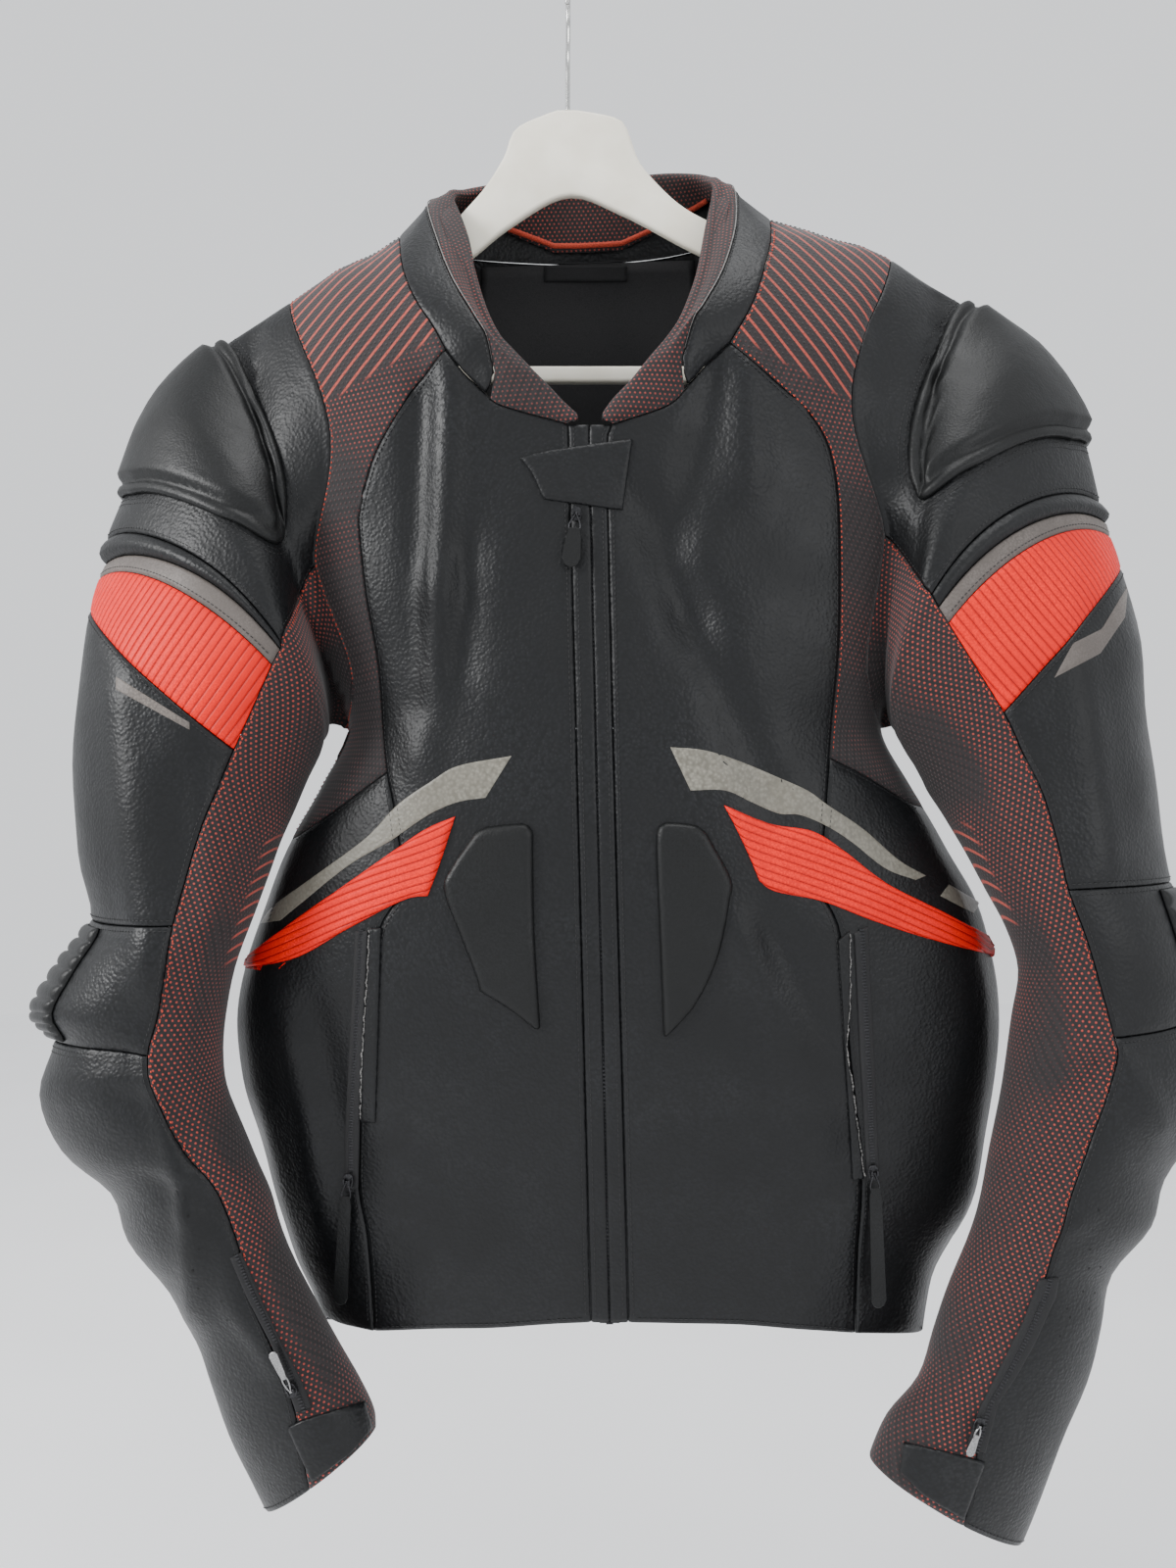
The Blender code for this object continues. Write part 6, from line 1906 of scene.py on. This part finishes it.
@dataclass
class Fastenings:
    """Zip teeth, sliders, pull rings and tongues."""

    shop: Workshop
    wire: float = 0.55
    slider_outline: tuple[tuple[float, float], ...] = (
        (-4.6, 1.6), (-3.4, 2.9), (-0.5, 3.4), (2.6, 3.1), (4.4, 2.2), (4.4, -2.2),
        (2.6, -3.1), (-0.5, -3.4), (-3.4, -2.9), (-4.6, -1.6),
    )
    lug_half: float = 1.5
    lug_inner: float = 1.35
    lug_outer: float = 2.5
    lug_top: float = 1.0
    pin_half: float = 1.2
    pin_radius: float = 0.6
    ring_neck: float = 0.7
    tape_half: float = 7.0

    def build(self, pocket_lines: Sequence, cuff_lines: Sequence) -> None:
        """Make the main zip, all teeth and the five sliders with their pulls."""
        self._main_zip()
        teeth = Repeat("block", (0.9, 3.0, 0.7), spacing_mm=2.0)
        lines = [(line, self._outward(line)) for line in (*pocket_lines, *cuff_lines)]
        piece = teeth.make("pocket_and_cuff_zip_teeth", lines, self.shop.finish["teeth"])
        self.shop.keep(piece, Slot.METAL)
        for tag in SLIDERS:
            self._slider(tag)

    @staticmethod
    def _outward(line: np.ndarray) -> np.ndarray:
        """Directions to the front for every point of a line."""
        out = np.zeros_like(line)
        out[:, 1] = -1.0
        return out

    def _main_zip(self) -> None:
        """The long zip's tape and teeth behind the placket."""
        middle = on_trunk(curve(ZIP_LINE, 88))[2:]
        rows = [middle + [across, 0, LEATHER + 1.0]
                for across in np.linspace(-self.tape_half, self.tape_half, 13)]
        outer = place(np.stack(rows, axis=1))
        piece = wall_object("main_zip_tape", outer, outer + [0, 1.5, 0], self.shop.finish["tape"])
        self.shop.keep(piece, Slot.METAL, "main_zip")
        self.shop.sheet(piece, outer, ("placket_right",))
        line = place(middle + [0, 0, LEATHER + 0.8])
        teeth = Repeat("block", (1.2, 4.6, 1.2), spacing_mm=2.6)
        piece = teeth.make("main_zip_teeth", [(line, self._outward(line))], self.shop.finish["teeth"])
        self.shop.keep(piece, Slot.METAL)

    def _frame(self, tag: str) -> tuple[Matrix, float]:
        """Where a slider's hinge stands, and the length of its pull."""
        names, high, spot, tip, _ = SLIDERS[tag]
        tree, eye = self.shop.cloth.tree(names), Vector(EYE)
        aim = Vector(place(np.array([*spot, 0.0]))) - eye
        hit, normal = tree.ray_cast(eye, aim)[:2]
        normal *= -1 if normal.dot(aim) > 0 else 1
        hit = hit + normal * high
        along = Vector(place(np.array([*tip, hit.y]))) - hit
        length = along.length
        along = (along - normal * along.dot(normal)).normalized()
        across = normal.cross(along)
        frame = Matrix((along, across, normal)).transposed().to_4x4()
        frame.translation = hit + normal * (HINGE_HEIGHT + SLIDER_BASE + SLIDER_LIFT)
        return frame, length

    def _slider(self, tag: str) -> None:
        """A slider with its two lugs, and its pull."""
        frame, length = self._frame(tag)
        floor, base = -HINGE_HEIGHT, -HINGE_HEIGHT - SLIDER_BASE
        parts = [self._block(self.slider_outline, base + 0.4, floor, 0.35)]
        half, near, far = self.lug_half, self.lug_inner, self.lug_outer
        for side in (-1, 1):
            lug = [(-half, side * near), (half, side * near), (half, side * far), (-half, side * far)]
            parts.append(self._block(lug[::side], floor - 0.2, self.lug_top, 0.25))
        points, faces = self._gather(parts, frame)
        piece = mesh_object(f"zip_slider_{tag}", points, faces, self.shop.finish["teeth"], smooth=False)
        self.shop.keep(piece, Slot.METAL, f"slider_{tag}")
        self._pull(tag, frame, length)

    def _pull(self, tag: str, frame: Matrix, length: float) -> None:
        """The pin, wire ring and tongue that swing together."""
        half_width = SLIDERS[tag][4]
        pin = self.tube([(0.0, y, 0.0) for y in (-self.pin_half, 0.0, self.pin_half)], self.pin_radius)
        ring_end = min(12.0, length * 0.4)
        turns = np.linspace(0, 2 * math.pi, 25)
        swell = (half_width - self.wire - 0.75) * (0.5 - 0.5 * np.cos(turns)) * 0.9
        wide = self.ring_neck + swell
        ring = [(ring_end / 2 * (1 - math.cos(t)), w * math.sin(t), 0.0) for t, w in zip(turns, wide)]
        parts = [pin, self.tube(ring, self.wire)]
        points, faces = self._gather(parts, frame)
        finish = self.shop.finish["metal" if tag.startswith("cuff") else "teeth"]
        piece = mesh_object(f"pull_ring_{tag}", points, faces, finish)
        self.shop.keep(piece, Slot.METAL, body=f"pull_{tag}")
        wide = half_width * 0.92
        tongue = [(ring_end - 2.5, -wide * 0.55), (ring_end + 3, -wide * 0.8),
                  (length - wide, -wide), (length - wide * 0.35, -wide * 0.7), (length - 0.3, -wide * 0.2),
                  (length - 0.3, wide * 0.2), (length - wide * 0.35, wide * 0.7), (length - wide, wide),
                  (ring_end + 3, wide * 0.8), (ring_end - 2.5, wide * 0.55)]
        points, faces = self._gather([self._block(tongue, -PULL_THICK / 2, PULL_THICK / 2, 0.4)], frame)
        finish = self.shop.finish["metal" if tag.startswith("cuff") else "smooth"]
        piece = mesh_object(f"pull_tongue_{tag}", points, faces, finish, smooth=False)
        self.shop.keep(piece, Slot.LEATHER, f"pull_{tag}", body=f"pull_{tag}")

    @staticmethod
    def _block(outline: Sequence, low: float, high: float, bevel: float) -> tuple[list, list]:
        """An extruded outline with bevelled top and bottom rims."""
        shape = np.array(outline, dtype=float)
        turn = np.roll(shape, -1, axis=0)
        if (shape[:, 0] * turn[:, 1] - turn[:, 0] * shape[:, 1]).sum() < 0:
            shape = shape[::-1]
        centre = shape.mean(axis=0)
        reach = np.linalg.norm(shape - centre, axis=1, keepdims=True)
        small = centre + (shape - centre) * (1 - bevel / reach)
        rings = [(small, low), (shape, low + bevel), (shape, high - bevel), (small, high)]
        points = [(x, y, z) for ring, z in rings for x, y in ring]
        count = len(shape)
        faces = [tuple(range(count - 1, -1, -1)), tuple(range(3 * count, 4 * count))]
        for level in range(3):
            for k in range(count):
                a, b = level * count + k, level * count + (k + 1) % count
                faces.append((a, b, b + count, a + count))
        return points, faces

    @staticmethod
    def tube(path: Sequence, radius: float, sides: int = 8) -> tuple[list, list]:
        """A round tube along a path, capped at both ends."""
        path = np.array(path, dtype=float)
        along = np.gradient(path, axis=0)
        along /= np.linalg.norm(along, axis=1, keepdims=True)
        up = np.array([0.0, 0.0, 1.0])
        points, faces = [], []
        for spot, way in zip(path, along):
            side = np.cross(way, up)
            side /= np.linalg.norm(side)
            for k in range(sides):
                angle = 2 * math.pi * k / sides
                points.append(spot + radius * (side * math.cos(angle) + up * math.sin(angle)))
        for i in range(len(path) - 1):
            for k in range(sides):
                a, b = i * sides + k, i * sides + (k + 1) % sides
                faces.append((a, a + sides, b + sides, b))
        last = (len(path) - 1) * sides
        faces += [tuple(range(sides)), tuple(range(last + sides - 1, last - 1, -1))]
        return points, faces

    @staticmethod
    def _gather(parts: Sequence[tuple[list, list]], frame: Matrix) -> tuple[np.ndarray, list]:
        """Parts joined into one set of points, moved into a frame."""
        points, faces = [], []
        for some, more in parts:
            start = len(points)
            points += [tuple(frame @ Vector(tuple(p))) for p in some]
            faces += [tuple(k + start for k in face) for face in more]
        return np.array(points), faces


@dataclass
class Perforations:
    """Small punched holes of the chest pads and forearms, drawn as near-black discs of painted shade."""

    shop: Workshop
    pitch: float = 3.6
    radius: float = 0.55
    wide: float = 0.9
    slant: float = 0.9

    def build(self) -> None:
        """Make the holes of both chest pads and both forearms."""
        holes = Repeat("disc", (self.radius, self.radius, 1.0))
        pads = []
        for tag, low, high in (("right", (-62, -628), (-30, -592)), ("left", (70, -628), (96, -592))):
            pad = self._tree(f"chest_pad_{tag}_cover")
            for x in np.arange(low[0], high[0], self.pitch):
                for z in np.arange(low[1], high[1], self.pitch):
                    reach = x - low[0] if tag == "right" else high[0] - x
                    if z - low[1] > reach * self.slant:
                        pads.append((x, z, pad))
        self._make("chest_pad_perforations", pads, holes)
        for tag, spots in (("right", FOREARM_HOLES_RIGHT), ("left", FOREARM_HOLES_LEFT)):
            tree = self.shop.cloth.tree((f"forearm_{tag}",))
            self._make(f"forearm_perforations_{tag}", [(x, z, tree) for x, z in spots],
                       Repeat("disc", (self.wide, self.wide, 1.0)))

    @staticmethod
    def _tree(name: str) -> BVHTree:
        """A piece's faces to look up, in millimetres."""
        mesh = bpy.data.objects[name].data
        points = [tuple(v.co * METRE) for v in mesh.vertices]
        return BVHTree.FromPolygons(points, [tuple(p.vertices) for p in mesh.polygons])

    def _make(self, name: str, spots: Sequence, holes: Repeat) -> None:
        """Set holes where lines of sight meet a piece."""
        eye, places, facing = Vector(EYE), [], []
        for across, height, tree in spots:
            aim = Vector(place(np.array([across, height, 0.0]))) - eye
            hit, normal = tree.ray_cast(eye, aim)[:2]
            if hit is None:
                continue
            normal = normal * (-1 if normal.dot(aim) > 0 else 1)
            places.append(np.array(hit + normal * 0.06))
            facing.append(np.array(normal))
        line = (np.array(places), np.array(facing))
        piece = holes.make(name, [line], self.shop.finish["hole"])
        self.shop.keep(piece, Slot.LINING)


@dataclass
class Hanger:
    """The lacquered wooden hanger with its trouser bar, and its steel hook."""

    shop: Workshop
    edge: float = 2.2
    segments: int = 3
    right_end: float = -179.0
    left_end: float = 213.0

    def build(self) -> None:
        """Make the hanger, the bar and the hook."""
        right = [(x, z - ARM_CLEARANCE) for x, z in on_trunk(curve(SHOULDER_RIGHT, 20))[:, :2]]
        left = [(x, z - ARM_CLEARANCE) for x, z in on_trunk(curve(SHOULDER_LEFT, 20))[:, :2]]
        right = [p for p in right if p[0] > self.right_end]
        left = [p for p in left if p[0] < self.left_end]
        top = curve([*HANGER_UPPER_RIGHT, (-6, HANGER_TOP)], 24)[:, :2]
        down = curve([(8, HANGER_TOP), *HANGER_UPPER_LEFT], 24)[:, :2]
        low = curve(HANGER_LOWER, 60)[:, :2]
        outline = [*right, *map(tuple, top), *map(tuple, down), *left, *map(tuple, low)]
        piece = self._plank("wooden_hanger", outline, HANGER_HALF_DEPTH)
        self.shop.keep(piece, Slot.WOOD, "hanger")
        bottom, high = BAR_HEIGHTS
        first, last = BAR_ENDS
        bar = [(first, bottom), (last, bottom), (last, -212.6), (last - BAR_POST, -210.0),
               (last - BAR_POST, high), (first + BAR_POST, high), (first + BAR_POST, -228.4),
               (first, -229.0)]
        piece = self._plank("trouser_bar", bar, BAR_HALF_DEPTH)
        self.shop.keep(piece, Slot.WOOD, "hanger_bar")
        self._hook()

    def _plank(self, name: str, outline: Sequence, half_depth: float) -> Piece:
        """A plate with a rounded rim, cut to an outline."""
        shape = np.array(outline, dtype=float)
        turn = np.roll(shape, -1, axis=0)
        if (shape[:, 0] * turn[:, 1] - turn[:, 0] * shape[:, 1]).sum() < 0:
            shape = shape[::-1]
        count = len(shape)
        flat = place(np.column_stack([shape, np.zeros(count)]))
        points = np.concatenate([flat - [0, half_depth, 0], flat + [0, half_depth, 0]])
        faces = [tuple(range(count)), tuple(range(2 * count - 1, count - 1, -1))]
        faces += [(k, k + count, (k + 1) % count + count, (k + 1) % count) for k in range(count)]
        obj = mesh_object(name, points, faces, self.shop.finish["lacquer"])
        bevel = obj.modifiers.new("edge", "BEVEL")
        bevel.width = self.edge / METRE
        bevel.segments = self.segments
        bevel.angle_limit = math.radians(50)
        graph = bpy.context.evaluated_depsgraph_get()
        rounded = bpy.data.meshes.new_from_object(obj.evaluated_get(graph), depsgraph=graph)
        obj.modifiers.clear()
        obj.data = rounded
        return obj

    def _hook(self) -> None:
        """The bent steel wire."""
        middle = HOOK_RADIUS + HOOK_WIRE
        turns = np.linspace(-0.35, math.pi + 0.5, 40)
        run = [(0, -90.6), (0, -72), (0, -58), (4, -48), (13, -37)]
        run += [(middle * math.cos(t), -HOOK_RADIUS + middle * math.sin(t)) for t in turns]
        path = curve([(1.0, y, z) for y, z in run], 120)
        points, faces = Fastenings.tube([(x, y, z) for x, y, z in path[:, [1, 2, 0]]], HOOK_WIRE, 14)
        points = np.array(points)[:, [2, 0, 1]]
        piece = mesh_object("hanger_hook", points, faces, self.shop.finish["steel"])
        self.shop.keep(piece, Slot.METAL, "hook")


@dataclass(frozen=True)
class Studio:
    """The pale floor, the soft lights and the camera at the photograph's place."""

    wall: str = "f4f6f9"
    floor_height: float = -1.35
    lens: float = 29.0
    eye: tuple[float, float, float] = (0.015, -0.875, -0.5565)
    aim: tuple[float, float, float] = (0.015, 0.0, -0.55)
    brightness: float = 1.25
    # Name, place, power and size of each lamp.
    lamps: tuple[tuple[str, tuple[float, float, float], float, float], ...] = (
        ("window_panel", (-2.1, -1.0, 0.4), 66.0, 1.0),
        ("fill_panel", (1.7, -1.9, 0.0), 16.0, 1.6),
        ("top_panel", (0.2, -0.5, 1.5), 22.0, 1.2),
    )

    def build(self) -> None:
        """Make the world, the floor, the lights and the camera."""
        world = bpy.data.worlds.new("pale_studio")
        world.use_nodes = True
        sky = world.node_tree.nodes["Background"]
        sky.inputs["Color"].default_value = linear(self.wall)
        sky.inputs["Strength"].default_value = self.brightness
        bpy.context.scene.world = world
        self._floor()
        for lamp in self.lamps:
            self._light(*lamp)
        data = bpy.data.cameras.new("camera")
        data.lens, data.sensor_width = self.lens, 36.0
        camera = bpy.data.objects.new("camera", data)
        camera.location = self.eye
        camera.rotation_euler = (math.pi / 2, 0.0, 0.0)
        bpy.context.collection.objects.link(camera)
        bpy.context.scene.camera = camera

    def _floor(self) -> None:
        """A wide pale floor below the jacket."""
        made, tree = start_material("pale_floor", Roughness=0.9)
        spot = node(tree, "ShaderNodeTexCoord").outputs["Object"]
        grain = node(tree, "ShaderNodeTexNoise", {"Vector": spot, "Scale": 3.0, "Detail": 2.0})
        tone = ramp(tree, grain.outputs["Fac"], ((0.3, "f2f2f3"), (0.7, "f6f6f7")))
        wire_up(tree, Base_Color=tone.outputs[0])
        turns = np.linspace(0, 2 * math.pi, 97)[:-1]
        points = [(4000 * math.cos(t), 4000 * math.sin(t), self.floor_height * METRE) for t in turns]
        floor = mesh_object("studio_floor", np.array(points), [tuple(range(96))], made)

    def _light(self, name: str, spot: tuple[float, float, float], power: float, size: float) -> None:
        """A round soft lamp turned to the jacket."""
        data = bpy.data.lights.new(name, "AREA")
        data.energy, data.size, data.shape = power, size, "DISK"
        lamp = bpy.data.objects.new(name, data)
        lamp.location = spot
        aim = Vector(self.aim) - Vector(spot)
        lamp.rotation_euler = aim.to_track_quat("-Z", "Y").to_euler()
        bpy.context.collection.objects.link(lamp)


def relief(skin: np.ndarray, normal: np.ndarray) -> np.ndarray:
    """Soft folds of the sleeves and faint waves of all the cloth.

    Args:
        skin: True places on a panel.
        normal: Its outward directions.

    Returns:
        How far each place moves outward.
    """
    near = (skin[..., 1] - EYE[1]) / -EYE[1]
    across = EYE[0] + (skin[..., 0] - EYE[0]) / near
    height = EYE[2] + (skin[..., 2] - EYE[2]) / near
    toward = np.clip(-normal[..., 1] * 1.6, 0, 1)
    folds = fold_height(across, height, SLEEVE_FOLDS) + 0.45 * fold_height(across, height)
    wave = (np.sin(across / 23.0 + height / 41.0) * np.sin(height / 29.0 - across / 57.0)
            + 0.5 * np.sin(across / 11.0 - height / 17.0 + 1.3))
    return folds * toward + 0.6 * wave


def main() -> None:
    """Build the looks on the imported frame."""
    logging.basicConfig(level=logging.INFO, format="%(message)s")
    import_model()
    Studio().build()
    cloth = Cloth()
    shop = Workshop(cloth, Finishes())
    right = SleeveForm(SLEEVE_RIGHT, Side.RIGHT)
    left = SleeveForm(SLEEVE_LEFT, Side.LEFT)
    trunk = Trunk(shop)
    neck = trunk.sew(right, left)
    arms = [Arm(shop, right), Arm(shop, left)]
    for arm in arms:
        arm.sew()
    collar = Collar(shop, neck)
    collar.sew()
    cloth.settle(relief)
    trunk.build()
    for arm in arms:
        arm.build()
    collar.build()
    FrontTrim(shop).build()
    pocket_lines = Pockets(shop).build()
    cuff_lines = [line for form in (right, left) for line in SleeveTrim(shop, form).build()]
    Stitching(shop).build()
    Fastenings(shop).build(pocket_lines, cuff_lines)
    Perforations(shop).build()
    Hanger(shop).build()
    for line in shop.flat_sizes:
        log.info("flat %s", line)


if __name__ == "__main__":
    main()
